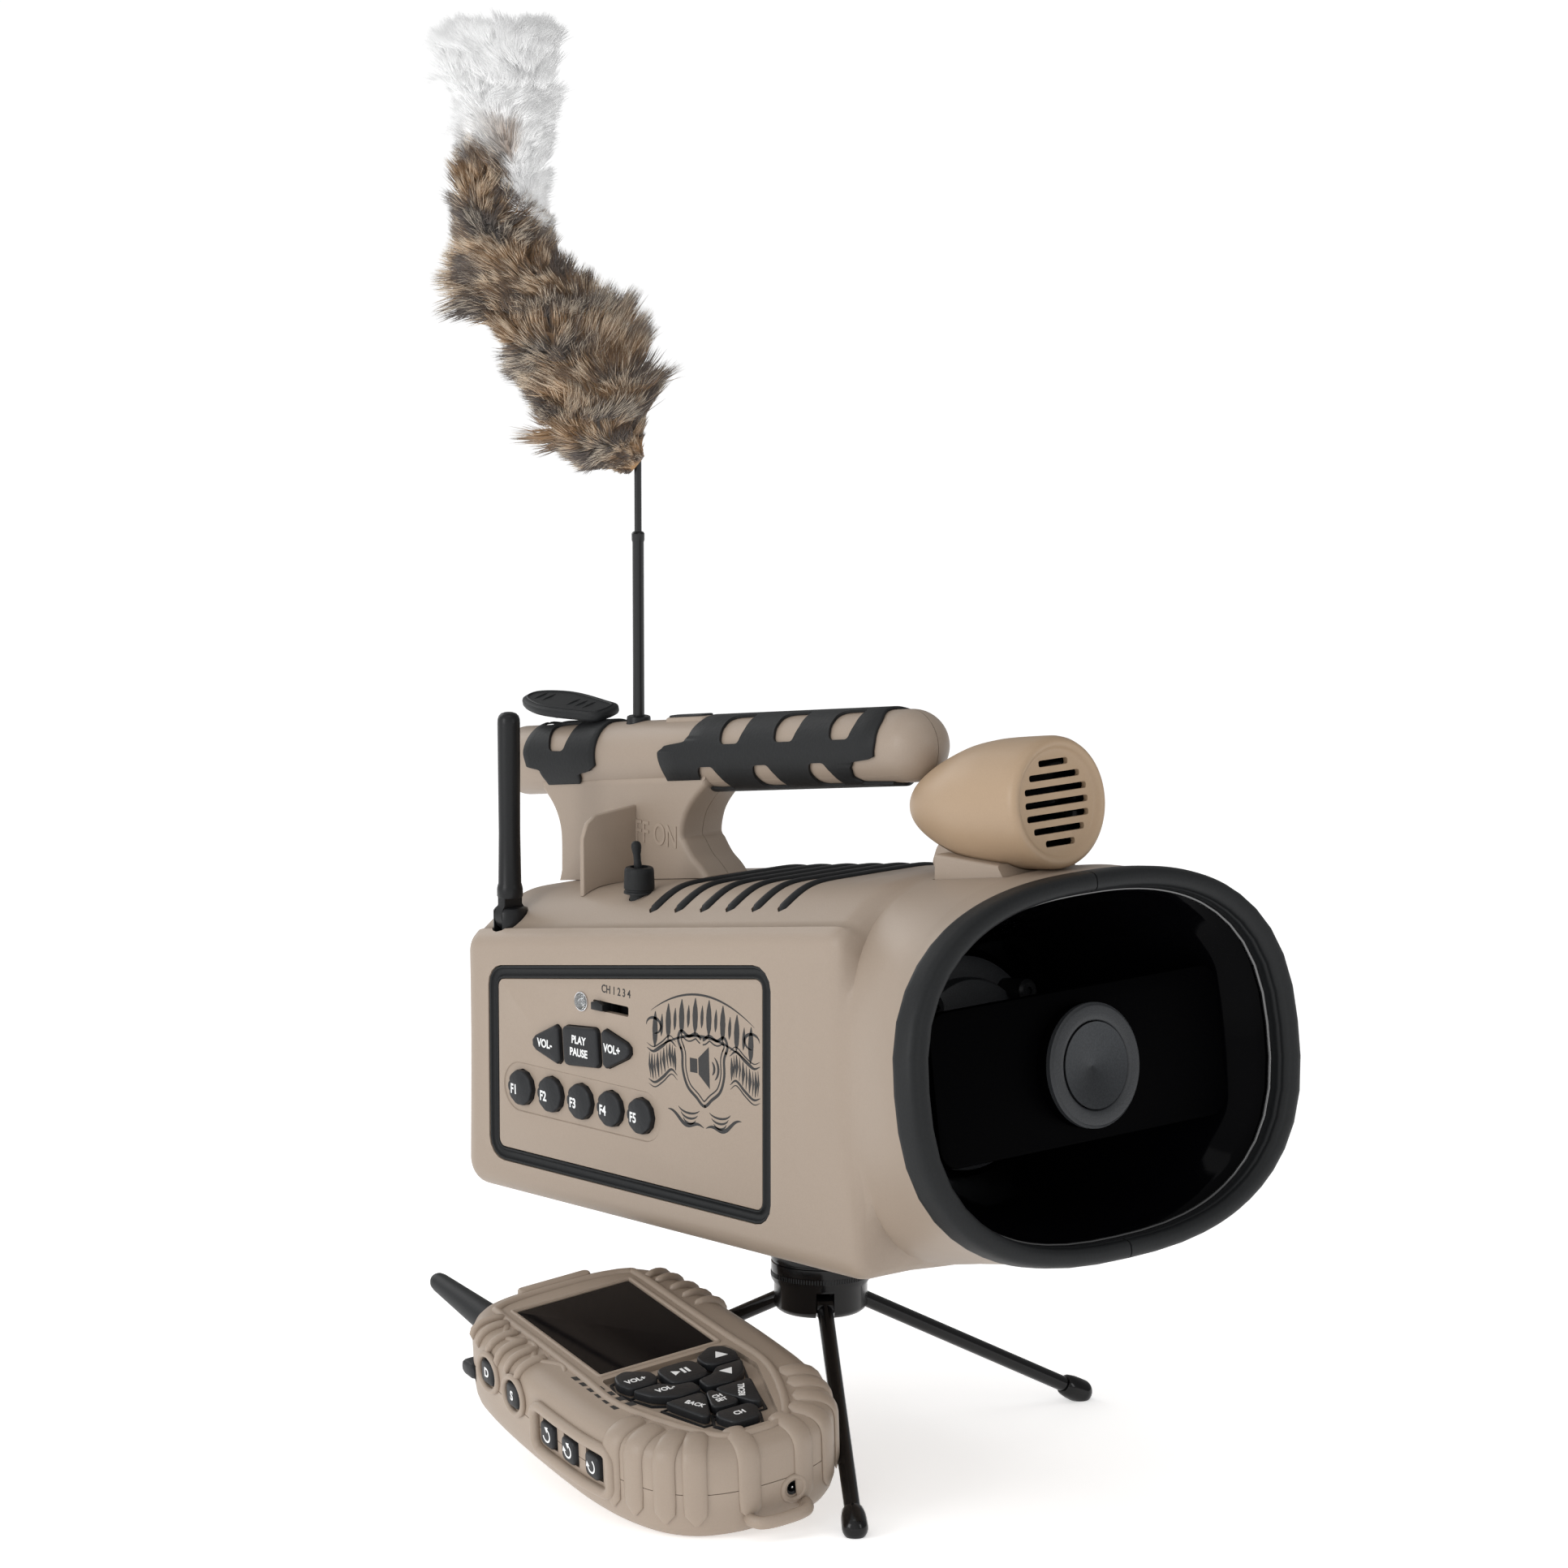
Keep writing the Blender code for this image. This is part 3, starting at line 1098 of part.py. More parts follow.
def make_remote():
    frame = remote_frame()
    wall = REMOTE_WALL
    top = [(0, REMOTE_SEAM + HALF_GAP), (0, -7), (1.2, -3.2), (4.4, -0.9), (8.5, 0)]
    front = cup("front", [remote_loop(i, w) for i, w in top],
                [remote_loop(wall, REMOTE_SEAM + HALF_GAP), remote_loop(wall, -8),
                 remote_loop(6, -4.6)])
    screen_hole = box("screen", (-SCREEN_HALF_U - GAP, -SCREEN_HALF_V - GAP, -1.2),
                      (SCREEN_HALF_U + GAP, SCREEN_HALF_V + GAP, 5))
    pad = rounded_outline([(-26, -35.6), (26, -35.6), (27, -55), (12, -96.4), (-12, -96.4),
                           (-27, -55)], [2, 2, 8, 8, 8, 8], 3)
    pad_hole = plate("pad", pad, KEYPAD_W, 5)
    front = cut(front, screen_hole, pad_hole)
    bottom = [(0, REMOTE_SEAM - HALF_GAP), (0.4, -28), (2.4, -33.2), (6.5, -REMOTE_DEPTH)]
    back = cup("back", [remote_loop(i, w) for i, w in bottom],
               [remote_loop(wall, REMOTE_SEAM - HALF_GAP), remote_loop(wall + 0.6, -28),
                remote_loop(8, -REMOTE_DEPTH + wall)])
    loop_out = rounded_outline([(-13, 4), (13, 4), (13, -7.5), (-13, -7.5)], [1, 1, 7, 7], 3)
    loop_in = rounded_outline([(-9, 1.2), (9, 1.2), (9, -4.4), (-9, -4.4)], [1, 1, 4, 4], 3)
    at_end = Matrix.Translation((2, REMOTE_END_V, 0))
    lanyard = cut(plate("loop", loop_out, -31, -26, at_end), plate("eye", loop_in, -40, -20, at_end))
    lanyard = cut(lanyard, plate("keep", [(u, v) for u, v in grown(remote_outline(), -wall / 2)],
                                 -40, -18))
    back = join(back, lanyard)
    jack = rod_between("jack", (9, REMOTE_END_V - 4, -21.8), (9, REMOTE_END_V + 8, -21.8), 2.8)
    back = cut(back, jack)
    for name, v, w, half_v, half_w in side_key_places():
        for_case = edge_box("pocket", v, w, half_v + GAP, half_w + GAP, 6, 5)
        if w + half_w < REMOTE_SEAM:
            back = cut(back, for_case)
        else:
            front = cut(front, copy_of(for_case, "pocket_front"))
            back = cut(back, for_case)
        key = moved(edge_box("key", v, w, half_v, half_w, 3.4, 1.6, 1.2), frame)
        finish(key, name, black_rubber(), frame @ Vector((edge_at(v), v, w)))
    power = edge_box("power", 37.0, -20.5, 5.0, 3.0, 3.0, 3.4, 1.4)
    back = cut(back, edge_box("pocket", 37.0, -20.5, 5.0 + GAP, 3.0 + GAP, 9, 6))
    finish(moved(power, frame), "remote_key_power", black_rubber(),
           frame @ Vector((edge_at(37.0), 37.0, -20.5)))

    socket_at = Vector((-20, 47, -15.5))
    base = rod_between("socket", socket_at - Vector((0, 12, 0)), socket_at + Vector((0, 8, 0)), 6.6)
    front = cut(front, copy_of(base, "socket_front"))
    back = cut(back, base)
    whip = [(0, 56), (2.6, 55.2), (3.6, 52.5), (6.2, 4), (6.2, -8), (0, -8)]
    antenna = turned("antenna", whip, 14, socket_at, (0, 1, 0))
    finish(moved(antenna, frame), "remote_antenna", black_rubber(), frame @ socket_at)

    finish(moved(front, frame), "remote_front", tan_plastic())
    finish(moved(back, frame), "remote_back", tan_plastic(), REMOTE_FOOT)
    screen = box("glass", (-SCREEN_HALF_U, -SCREEN_HALF_V, -0.9), (SCREEN_HALF_U, SCREEN_HALF_V, -0.2))
    finish(moved(screen, frame), "remote_screen", gloss_black())
    for name, outline in remote_key_outlines().items():
        key = stacked("key", outline, ((0, KEYPAD_W + KEY_TRAVEL), (0, 1.3), (0.8, 1.9)), frame)
        centre = sum((Vector((u, v, 0)) for u, v in outline), Vector()) / len(outline)
        finish(key, name, black_rubber(), frame @ centre)


# ---------------------------------------------------------------- whole object
def clear_scene():
    for obj in list(bpy.data.objects):
        bpy.data.objects.remove(obj)


def stand_on_origin(pieces):
    """Scale to metres and put the middle of the footprint, at floor level, on the origin."""
    bpy.context.view_layer.update()
    corners = [piece.matrix_world @ Vector(c) for piece in pieces for c in piece.bound_box]
    low = [min(c[i] for c in corners) for i in range(3)]
    high = [max(c[i] for c in corners) for i in range(3)]
    shift = Vector((-(low[0] + high[0]) / 2, -(low[1] + high[1]) / 2, -low[2]))
    for piece in pieces:
        piece.data.transform(Matrix.Scale(MM, 4))
        piece.location = (piece.location + shift) * MM


def main():
    clear_scene()
    collection = bpy.data.collections.new(OBJECT_NAME)
    bpy.context.scene.collection.children.link(collection)
    make_case()
    make_ribs()
    make_rear()
    make_horn()
    make_handle()
    make_grips()
    make_plug_cap()
    make_tweeter()
    make_decoy()
    make_toggle()
    make_antenna()
    make_panel()
    make_tripod()
    make_remote()
    stand_on_origin(list(collection.objects))


main()
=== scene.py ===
"""Looks of the electronic game caller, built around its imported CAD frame.

Shapes are modelled in millimetres about the axis on which the caller turns over its tripod,
X towards the horn, Z up, control panel facing -Y; place() then moves them into the frame.
"""
import bpy
import bmesh
import json
import numpy as np
from math import asin, atan2, cos, pi, radians, sin, sqrt, tan
from mathutils import Matrix, Vector
from mathutils.bvhtree import BVHTree

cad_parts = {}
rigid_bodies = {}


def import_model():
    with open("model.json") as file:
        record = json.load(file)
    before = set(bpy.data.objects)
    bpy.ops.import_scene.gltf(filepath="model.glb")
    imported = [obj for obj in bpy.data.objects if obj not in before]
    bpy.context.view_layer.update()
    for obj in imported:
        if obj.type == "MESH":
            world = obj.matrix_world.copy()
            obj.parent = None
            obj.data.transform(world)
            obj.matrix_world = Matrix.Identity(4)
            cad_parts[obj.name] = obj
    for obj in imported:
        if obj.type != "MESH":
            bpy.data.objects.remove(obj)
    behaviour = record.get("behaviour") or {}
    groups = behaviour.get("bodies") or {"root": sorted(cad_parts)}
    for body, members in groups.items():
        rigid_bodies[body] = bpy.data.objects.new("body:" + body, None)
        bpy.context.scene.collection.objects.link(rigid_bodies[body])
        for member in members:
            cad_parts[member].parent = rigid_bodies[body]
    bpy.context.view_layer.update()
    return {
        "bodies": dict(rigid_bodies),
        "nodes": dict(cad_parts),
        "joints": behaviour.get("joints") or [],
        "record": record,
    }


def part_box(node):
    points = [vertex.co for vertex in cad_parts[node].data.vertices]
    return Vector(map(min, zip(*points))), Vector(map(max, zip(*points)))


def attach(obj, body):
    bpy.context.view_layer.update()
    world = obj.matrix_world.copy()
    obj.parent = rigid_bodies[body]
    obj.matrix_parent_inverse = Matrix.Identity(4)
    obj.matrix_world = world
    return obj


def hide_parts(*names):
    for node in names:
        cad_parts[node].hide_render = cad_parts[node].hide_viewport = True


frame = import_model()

HUB_LOW, HUB_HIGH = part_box("tripod_hub")
AXIS = Vector(((HUB_LOW.x + HUB_HIGH.x) / 2, (HUB_LOW.y + HUB_HIGH.y) / 2, 0))
TO_FRAME = Matrix.Translation(AXIS) @ Matrix.Scale(0.001, 4)
NODE_BODY = {node: body for body, nodes in frame["record"]["behaviour"]["bodies"].items()
             for node in nodes}

# ---------------------------------------------------------------- sizes, in millimetres
GAP = 0.3                       # clearance between pieces that touch
HALF_GAP = GAP / 2
PITCH = radians(8.1)            # deck, handle, horn and tweeter all tip up by this angle
SLOPE = tan(PITCH)
CASE_BOTTOM = 95.0
CASE_HALF_WIDTH = 65.0
CASE_REAR_X = -150.0
CASE_WALL = 2.5
CASE_BOTTOM_RADIUS = 10.0
CASE_REAR_RADIUS = 9.0
CASE_FRONT_X = 93.0             # where the box part ends, at floor level of the case
CASE_FRONT_RADIUS = 9.0
CASE_FRONT_LEAN = 0.075
SIDE_TOP_AT_ZERO = 216.2        # top of the upright side wall at x = 0
DECK_TOP_AT_ZERO = 238.3        # flat top of the deck at x = 0
SHOULDER_RISE = 8.0
MOUTH_X, MOUTH_Z = 166.7, 185.3  # centre of the mouth plane
RIM_HALF_WIDTH, RIM_HALF_HEIGHT = 107.0, 75.6
RIM_DEPTH = 11.0
MOUTH_POWER = 2.5               # exponent of the super-ellipse of the mouth
HEIGHT_OFFSET_RATIO = 0.74      # the rim is thinner above and below than at the sides
HORN_FLOOR_DEPTH = 104.0
DISC_RADIUS = 24.5
HANDLE_RADIUS = 14.6
HANDLE_REAR_X, HANDLE_FRONT_X = -187.0, 68.0
HANDLE_Z_AT_ZERO = 289.6
POST_HALF_WIDTH = 12.0
GUARD_X = -101.0
CAP_HINGE_X = -131.0
CAP_PLUG_REACH = 30.0           # from the cap's hinge to the plug on its underside
GRIP_INNER, GRIP_OUTER = HANDLE_RADIUS + GAP, 16.0
TWEETER_FACE = Vector((136.5, 0, 284.7))
TWEETER_RADIUS = 26.0
TWEETER_LENGTH = 81.0
ROD_X = -111.7
TUBE_RADIUS, TUBE_TOP = 2.4, 366.5
WIRE_RADIUS = 1.5
TAIL_BASE_Z = 396.0
PANEL_Y = -CASE_HALF_WIDTH
PANEL_REAR_X, PANEL_FRONT_X = -132.5, 40.7
PANEL_BOTTOM_Z = 109.5
PANEL_REAR_Z, PANEL_FRONT_Z = 190.2, 215.0
PANEL_FRAME_WIDTH = 5.2
F_KEY_Z, F_KEY_FIRST_X, F_KEY_STEP, F_KEY_RADIUS = 142.0, -111.8, 18.7, 7.5
HUB_RADIUS = 20.3
HUB_BOTTOM, HUB_TOP = 63.5, 83.0
LEG_PIVOT_RADIUS, LEG_PIVOT_Z = 15.5, 62.5
LEG_RADIUS = 3.25
FOOT_RADIUS = 5.2
FOOT_CIRCLE = 132.0
FOOT_CENTRE_Z = 3.5
LEG_AZIMUTHS = (-37.0, 81.0, 203.0)
REMOTE_SCALE = 1.1125           # the remote's own sizes below are multiplied by this
REMOTE_FOOT = Vector((79.05, -100.8, 1.9))
REMOTE_RISE = radians(8.82)
REMOTE_HEADING = radians(169.06)
REMOTE_ROLL = radians(-7.48)
REMOTE_DEPTH = 36.0
REMOTE_SEAM = -17.0
REMOTE_WALL = 2.2
REMOTE_END_V = -109.0           # lower end of the remote, where its jack is
REMOTE_FACE = ((0, -7), (0.35, -5.0), (1.2, -3.2), (2.6, -1.8), (4.4, -0.9), (6.4, -0.3), (8.5, 0))
SCREEN_HALF_U, SCREEN_HALF_V = 23.4, 31.2
KEYPAD_W = -2.2                 # floor of the recess under the remote's face keys
KEY_TRAVEL = 1.0
PLATE_BACK = -3.4               # height of the panel plate's back out of the case side
SLOT_X, SLOT_Z, SLOT_HALF = -55.9, 183.6, 10.9
LED_X, LED_Z = -74.1, 183.7
RIB_FIRST_X, RIB_STEP, RIB_COUNT, RIB_WIDTH = -47.0, 15.4, 6, 4.2
RIB_REACH = 50.0
TWEETER_BLOCK = (Vector((86, -20, 246)), Vector((128, 20, 262)))
ANTENNA_X, ANTENNA_Y, ANTENNA_LEDGE = -131.5, -54.0, 200.0
ANTENNA_HOLE_RADIUS = 7.6
TOGGLE_X, TOGGLE_Y = -66.0, -40.0

# ---------------------------------------------------------------- the tail
TAIL_LEAN = radians(47.5)
TAIL_ACROSS = Vector((cos(TAIL_LEAN), sin(TAIL_LEAN), 0))
TAIL_SIDE = Vector((-sin(TAIL_LEAN), cos(TAIL_LEAN), 0))
# how far the tail's middle has swung sideways, its height over the base and its radius
TAIL_SPINE = ((0, 0, 7), (-7, 6, 13.5), (-15, 15, 21), (-21, 28, 26), (-27, 42, 27),
              (-36, 56, 24.5), (-47, 71, 21.5), (-54, 88, 19.5), (-56.5, 104, 18.5),
              (-55, 121, 18), (-53.5, 138, 19.5), (-54, 153, 23), (-56, 168, 26.5),
              (-56.5, 180, 22), (-57, 188, 12))
TAIL_LENGTH = 225.0
FUR_ENDS = (0.0, 0.24, 0.48, 0.73, 0.96)  # parts of the tail's length between the fur pieces
HAIRS, TUFTS = 16500, 420       # in each fur piece
# longer or shorter places: part of the tail's length, direction round it, change and spread in mm
SPIKES = ((0.455, pi, 14, 7), (0.36, pi, -7, 16), (0.22, pi, -8, 18), (0.07, pi, -4, 12),
          (0.165, pi, 13, 6), (0.09, pi, 6, 6), (0.175, -0.1, 20, 6), (0.10, -0.1, 15, 6),
          (0.27, 0.2, 9, 13), (0.05, 0.0, 3, 8), (0.60, pi, 4, 6))
ROUNDED_ABOVE, ROUNDED_SHARE = 546.0, 0.74  # the tip is pressed down above this height
FUR_GREY, FUR_GOLD = np.array((0.20, 0.175, 0.16)), np.array((0.46, 0.27, 0.125))
FUR_DARK, FUR_CREAM = np.array((0.06, 0.036, 0.024)), np.array((0.84, 0.74, 0.60))
FUR_WHITE = np.array((0.96, 0.96, 0.96))

# ---------------------------------------------------------------- the studio
WORLD_LOW, WORLD_HIGH = 0.30, 0.95  # strength of the dome away from and on the panel's side
FLOOR_GLOW = 0.50
CAMERA_TURN, CAMERA_DIP = radians(47.5), radians(9.3)
CAMERA_AWAY, CAMERA_LENS = 2.5, 139.75


# ---------------------------------------------------------------- basic tools
def new_object(name, mesh):
    made = bpy.data.objects.new(name, mesh)
    bpy.context.scene.collection.objects.link(made)
    return made


def from_bmesh(name, bm):
    mesh = bpy.data.meshes.new(name)
    bm.to_mesh(mesh)
    bm.free()
    return new_object(name, mesh)


def settle(obj):
    """Apply the object's modifiers and its matrix, so its mesh is in the model's own frame."""
    bpy.context.view_layer.update()
    evaluated = obj.evaluated_get(bpy.context.evaluated_depsgraph_get())
    mesh = bpy.data.meshes.new_from_object(evaluated)
    mesh.transform(obj.matrix_world)
    name = obj.name
    bpy.data.objects.remove(obj)
    return new_object(name, mesh)


def welded(obj):
    """Join the loose caps of a converted curve to its sides and face everything outwards."""
    bm = bmesh.new()
    bm.from_mesh(obj.data)
    bmesh.ops.remove_doubles(bm, verts=bm.verts, dist=0.001)
    bmesh.ops.recalc_face_normals(bm, faces=bm.faces)
    bm.to_mesh(obj.data)
    bm.free()
    return obj


def moved(obj, matrix):
    obj.data.transform(matrix)
    return obj


def copy_of(obj, name):
    return new_object(name, obj.data.copy())


def mirrored(obj, name):
    """The same piece on the other side of the plane y = 0."""
    made = copy_of(obj, name)
    made.data.transform(Matrix.Scale(-1, 4, (0, 1, 0)))
    made.data.flip_normals()
    return made


def combine(obj, others, operation):
    for other in others:
        modifier = obj.modifiers.new("join", "BOOLEAN")
        modifier.operation = operation
        modifier.object = other
        modifier.solver = "EXACT"
        name = obj.name
        obj = settle(obj)
        bpy.data.objects.remove(other)
        obj.name = name
    return obj


def cut(obj, *cutters):
    return combine(obj, cutters, "DIFFERENCE")


def join(obj, *others):
    return combine(obj, others, "UNION")


def box(name, low, high, bevel=0.0, segments=1):
    bm = bmesh.new()
    bmesh.ops.create_cube(bm, size=1.0)
    low, high = Vector(low), Vector(high)
    size = high - low
    bmesh.ops.scale(bm, vec=size, verts=bm.verts)
    bmesh.ops.translate(bm, vec=(low + high) / 2, verts=bm.verts)
    if bevel:
        bmesh.ops.bevel(bm, geom=bm.edges[:], offset=bevel, segments=segments,
                        affect="EDGES", profile=0.5)
    return from_bmesh(name, bm)


def rod_between(name, start, end, radius, end_radius=None, sides=16):
    """Cylinder or cone from start to end."""
    start, end = Vector(start), Vector(end)
    bm = bmesh.new()
    bmesh.ops.create_cone(bm, cap_ends=True, segments=sides, radius1=radius,
                          radius2=radius if end_radius is None else end_radius,
                          depth=(end - start).length)
    turn = (end - start).to_track_quat("Z", "Y").to_matrix().to_4x4()
    bmesh.ops.transform(bm, matrix=Matrix.Translation((start + end) / 2) @ turn, verts=bm.verts)
    return from_bmesh(name, bm)


def turned(name, profile, steps=24, base=(0, 0, 0), axis=(0, 0, 1)):
    """Solid of revolution; profile is (radius, height) points down the outer side."""
    mesh = bpy.data.meshes.new(name)
    mesh.from_pydata([(r, 0, z) for r, z in profile],
                     [(i, i + 1) for i in range(len(profile) - 1)], [])
    obj = new_object(name, mesh)
    screw = obj.modifiers.new("turn", "SCREW")
    screw.steps = screw.render_steps = steps
    screw.use_merge_vertices = True
    screw.merge_threshold = 0.0001
    obj = welded(settle(obj))
    turn = Vector(axis).to_track_quat("Z", "Y").to_matrix().to_4x4()
    return moved(obj, Matrix.Translation(Vector(base)) @ turn)


def plate(name, outline, low, high, frame=Matrix.Identity(4), bevel=0.0):
    """Flat piece with the outline in the frame's own XY plane, from low to high along its Z."""
    curve = bpy.data.curves.new(name, "CURVE")
    curve.dimensions = "2D"
    curve.fill_mode = "BOTH"
    curve.extrude = (high - low) / 2
    spline = curve.splines.new("POLY")
    spline.points.add(len(outline) - 1)
    for point, (x, y) in zip(spline.points, outline):
        point.co = (x, y, 0, 1)
    spline.use_cyclic_u = True
    obj = new_object(name, curve)
    obj.matrix_world = frame @ Matrix.Translation((0, 0, (low + high) / 2))
    obj = settle(obj)
    obj.name = name
    obj = welded(obj)
    if bevel:
        obj = rounded(obj, bevel)
    return obj


def stacked(name, outline, levels, frame=Matrix.Identity(4)):
    """Solid through the outline drawn in by each level's inset at that level's height."""
    return loft(name, [[frame @ Vector((x, y, height)) for x, y in grown(outline, -inset)]
                       for inset, height in levels])


def rounded(obj, width, segments=1, angle=50):
    """Bevel the edges sharper than the given angle."""
    modifier = obj.modifiers.new("round", "BEVEL")
    modifier.width = width
    modifier.segments = segments
    modifier.limit_method = "ANGLE"
    modifier.angle_limit = radians(angle)
    return settle(obj)


def bridge(bm, first, second, closed=True):
    count = len(first)
    for i in range(count if closed else count - 1):
        j = (i + 1) % count
        bm.faces.new((first[i], first[j], second[j], second[i]))


def loft(name, loops):
    """Closed solid through closed loops that all have the same number of points."""
    bm = bmesh.new()
    rings = [[bm.verts.new(p) for p in loop] for loop in loops]
    for first, second in zip(rings, rings[1:]):
        bridge(bm, first, second)
    for ring in (rings[0], rings[-1]):
        bm.faces.new(ring)
    bmesh.ops.recalc_face_normals(bm, faces=bm.faces)
    return from_bmesh(name, bm)


def strip_loft(name, outer, inner):
    """Curved wall between open outer and inner arcs, with all four of its rims closed."""
    bm = bmesh.new()
    loops = [[bm.verts.new(p) for p in list(a) + list(reversed(b))] for a, b in zip(outer, inner)]
    for first, second in zip(loops, loops[1:]):
        bridge(bm, first, second)
    count = len(outer[0])
    for loop in (loops[0], loops[-1]):
        for i in range(count - 1):
            bm.faces.new((loop[i], loop[i + 1], loop[-2 - i], loop[-1 - i]))
    bmesh.ops.recalc_face_normals(bm, faces=bm.faces)
    return from_bmesh(name, bm)


def ring_loft(name, loops):
    """Endless ring: the loops are joined in turn and the last one to the first."""
    bm = bmesh.new()
    rings = [[bm.verts.new(p) for p in loop] for loop in loops]
    for first, second in zip(rings, rings[1:] + rings[:1]):
        bridge(bm, first, second)
    bmesh.ops.recalc_face_normals(bm, faces=bm.faces)
    return from_bmesh(name, bm)


def cup(name, outer, inner):
    """Open vessel: loops run from the rim to the floor, outside and inside."""
    bm = bmesh.new()
    outside = [[bm.verts.new(p) for p in loop] for loop in outer]
    inside = [[bm.verts.new(p) for p in loop] for loop in inner]
    for rings in (outside, inside):
        for first, second in zip(rings, rings[1:]):
            bridge(bm, first, second)
        bm.faces.new(rings[-1])
    bridge(bm, outside[0], inside[0])
    bmesh.ops.recalc_face_normals(bm, faces=bm.faces)
    return from_bmesh(name, bm)


def rectangle(u0, v0, u1, v1):
    """Corners of a rectangle, in order."""
    return [(u0, v0), (u1, v0), (u1, v1), (u0, v1)]


def around(sides):
    """Angles of the corners of a regular shape."""
    return [2 * pi * k / sides for k in range(sides)]


def rounded_outline(corners, radius, steps=4):
    """Outline with its corners rounded: (x, y) points in order, radius one value or a list."""
    points = []
    count = len(corners)
    radii = radius if isinstance(radius, (list, tuple)) else [radius] * count
    for i in range(count):
        here = Vector(corners[i])
        before = (Vector(corners[i - 1]) - here).normalized()
        after = (Vector(corners[(i + 1) % count]) - here).normalized()
        half = before.angle(after) / 2
        reach = radii[i] / tan(half)
        centre = here + (before + after).normalized() * radii[i] / sin(half)
        start, end = here + before * reach - centre, here + after * reach - centre
        turn = start.angle_signed(end)
        for k in range(steps + 1):
            angle = -turn * k / steps
            points.append((centre.x + start.x * cos(angle) - start.y * sin(angle),
                           centre.y + start.x * sin(angle) + start.y * cos(angle)))
    return points


def grown(outline, distance):
    """The outline moved outwards by a distance (inwards when it is negative)."""
    count = len(outline)
    points = [Vector(p) for p in outline]
    area = sum(points[i - 1].x * points[i].y - points[i].x * points[i - 1].y for i in range(count))
    side = 1 if area > 0 else -1
    result = []
    for i in range(count):
        along = (points[(i + 1) % count] - points[i - 1]).normalized()
        result.append((points[i].x + along.y * distance * side,
                       points[i].y - along.x * distance * side))
    return result


def smooth(points, per=4, closed=False):
    """Catmull-Rom curve through the points, with a few more points between each two."""
    points = [Vector(p) for p in points]
    count = len(points)
    result = []
    for i in range(count if closed else count - 1):
        a = points[i - 1] if closed or i else points[0] * 2 - points[1]
        b, c = points[i], points[(i + 1) % count]
        last = i + 2 >= count and not closed
        d = points[-1] * 2 - points[-2] if last else points[(i + 2) % count]
        for k in range(per):
            t = k / per
            result.append(((b * 2) + (c - a) * t + (a * 2 - b * 5 + c * 4 - d) * t ** 2
                           + (b * 3 - a - c * 3 + d) * t ** 3) / 2)
    if not closed:
        result.append(points[-1])
    return result


def tube(name, path, radius, sides=10, closed=False, flat=1.0, up=None, taper=0.0):
    """Solid round bead along a path; flat squashes it along the up direction."""
    path = [Vector(p) for p in path]
    count = len(path)
    bm = bmesh.new()
    rings = []
    for i, here in enumerate(path):
        after = path[(i + 1) % count] if closed or i < count - 1 else here
        before = path[i - 1] if closed or i else here
        run = (after - before).normalized()
        guide = Vector(up) if up is not None else Vector((0.31, 0.22, 0.92))
        side = run.cross(guide).normalized()
        high = side.cross(run)
        size = radius
        if taper and not closed:
            end = min(i, count - 1 - i) / (count - 1)
            size *= min(1.0, sqrt(max(0.02, 1 - (1 - min(1, end / taper)) ** 2)))
        rings.append([bm.verts.new(here + side * size * cos(a) + high * size * flat * sin(a))
                      for a in around(sides)])
    for first, second in zip(rings, rings[1:] + (rings[:1] if closed else [])):
        bridge(bm, first, second)
    if not closed:
        bm.faces.new(rings[0])
        bm.faces.new(rings[-1])
    bmesh.ops.recalc_face_normals(bm, faces=bm.faces)
    return from_bmesh(name, bm)


def text_piece(name, text, size, swell, depth, line=1.0, resolution=4):
    """Raised text in its own XY plane, its strokes made bolder by swell."""
    curve = bpy.data.curves.new(name, "FONT")
    curve.body = text
    curve.size = size
    curve.align_x = "CENTER"
    curve.align_y = "CENTER"
    curve.offset = swell
    curve.extrude = depth
    curve.space_line = line
    curve.resolution_u = resolution
    return welded(settle(new_object(name, curve)))


def together(name, objects):
    """Several closed bodies as one piece."""
    bm = bmesh.new()
    for obj in objects:
        bm.from_mesh(obj.data)
        bpy.data.objects.remove(obj)
    return from_bmesh(name, bm)


def place(obj, name, look, body, sharp=35, nodes=()):
    """Name and colour a finished piece, move it into the frame and hang it on its body."""
    if not obj.data.polygons:
        raise ValueError(name + " is empty")
    obj.name = name
    obj.data.name = name
    obj.data.materials.clear()
    obj.data.materials.append(look)
    obj.data.transform(TO_FRAME)
    obj.data.shade_smooth()
    obj.data.set_sharp_from_angle(angle=radians(sharp))
    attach(obj, body)
    if nodes:
        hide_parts(*nodes)
    return obj


def instead(obj, node, look, sharp=35):
    """The piece stands for a CAD node and rides on its body."""
    return place(obj, node + "_fine", look, NODE_BODY[node], sharp, [node])


def detail(obj, name, look, body="caller", sharp=35):
    return place(obj, name, look, body, sharp, ())


# ---------------------------------------------------------------- materials
def node_of(tree, kind, **inputs):
    """New shader node; underscores in an input's name stand for spaces."""
    made = tree.nodes.new("ShaderNode" + kind)
    for name, value in inputs.items():
        made.inputs[name.replace("_", " ")].default_value = value
    return made


def mix_of(tree, first, second, factor, blend="MIX"):
    """Mix of two colours; each argument is a value or another node's socket."""
    made = tree.nodes.new("ShaderNodeMix")
    made.data_type = "RGBA"
    made.blend_type = blend
    for name, value in (("A", first), ("B", second), ("Factor", factor)):
        if isinstance(value, bpy.types.NodeSocket):
            tree.links.new(value, made.inputs[name])
        else:
            made.inputs[name].default_value = value
    return made.outputs["Result"]


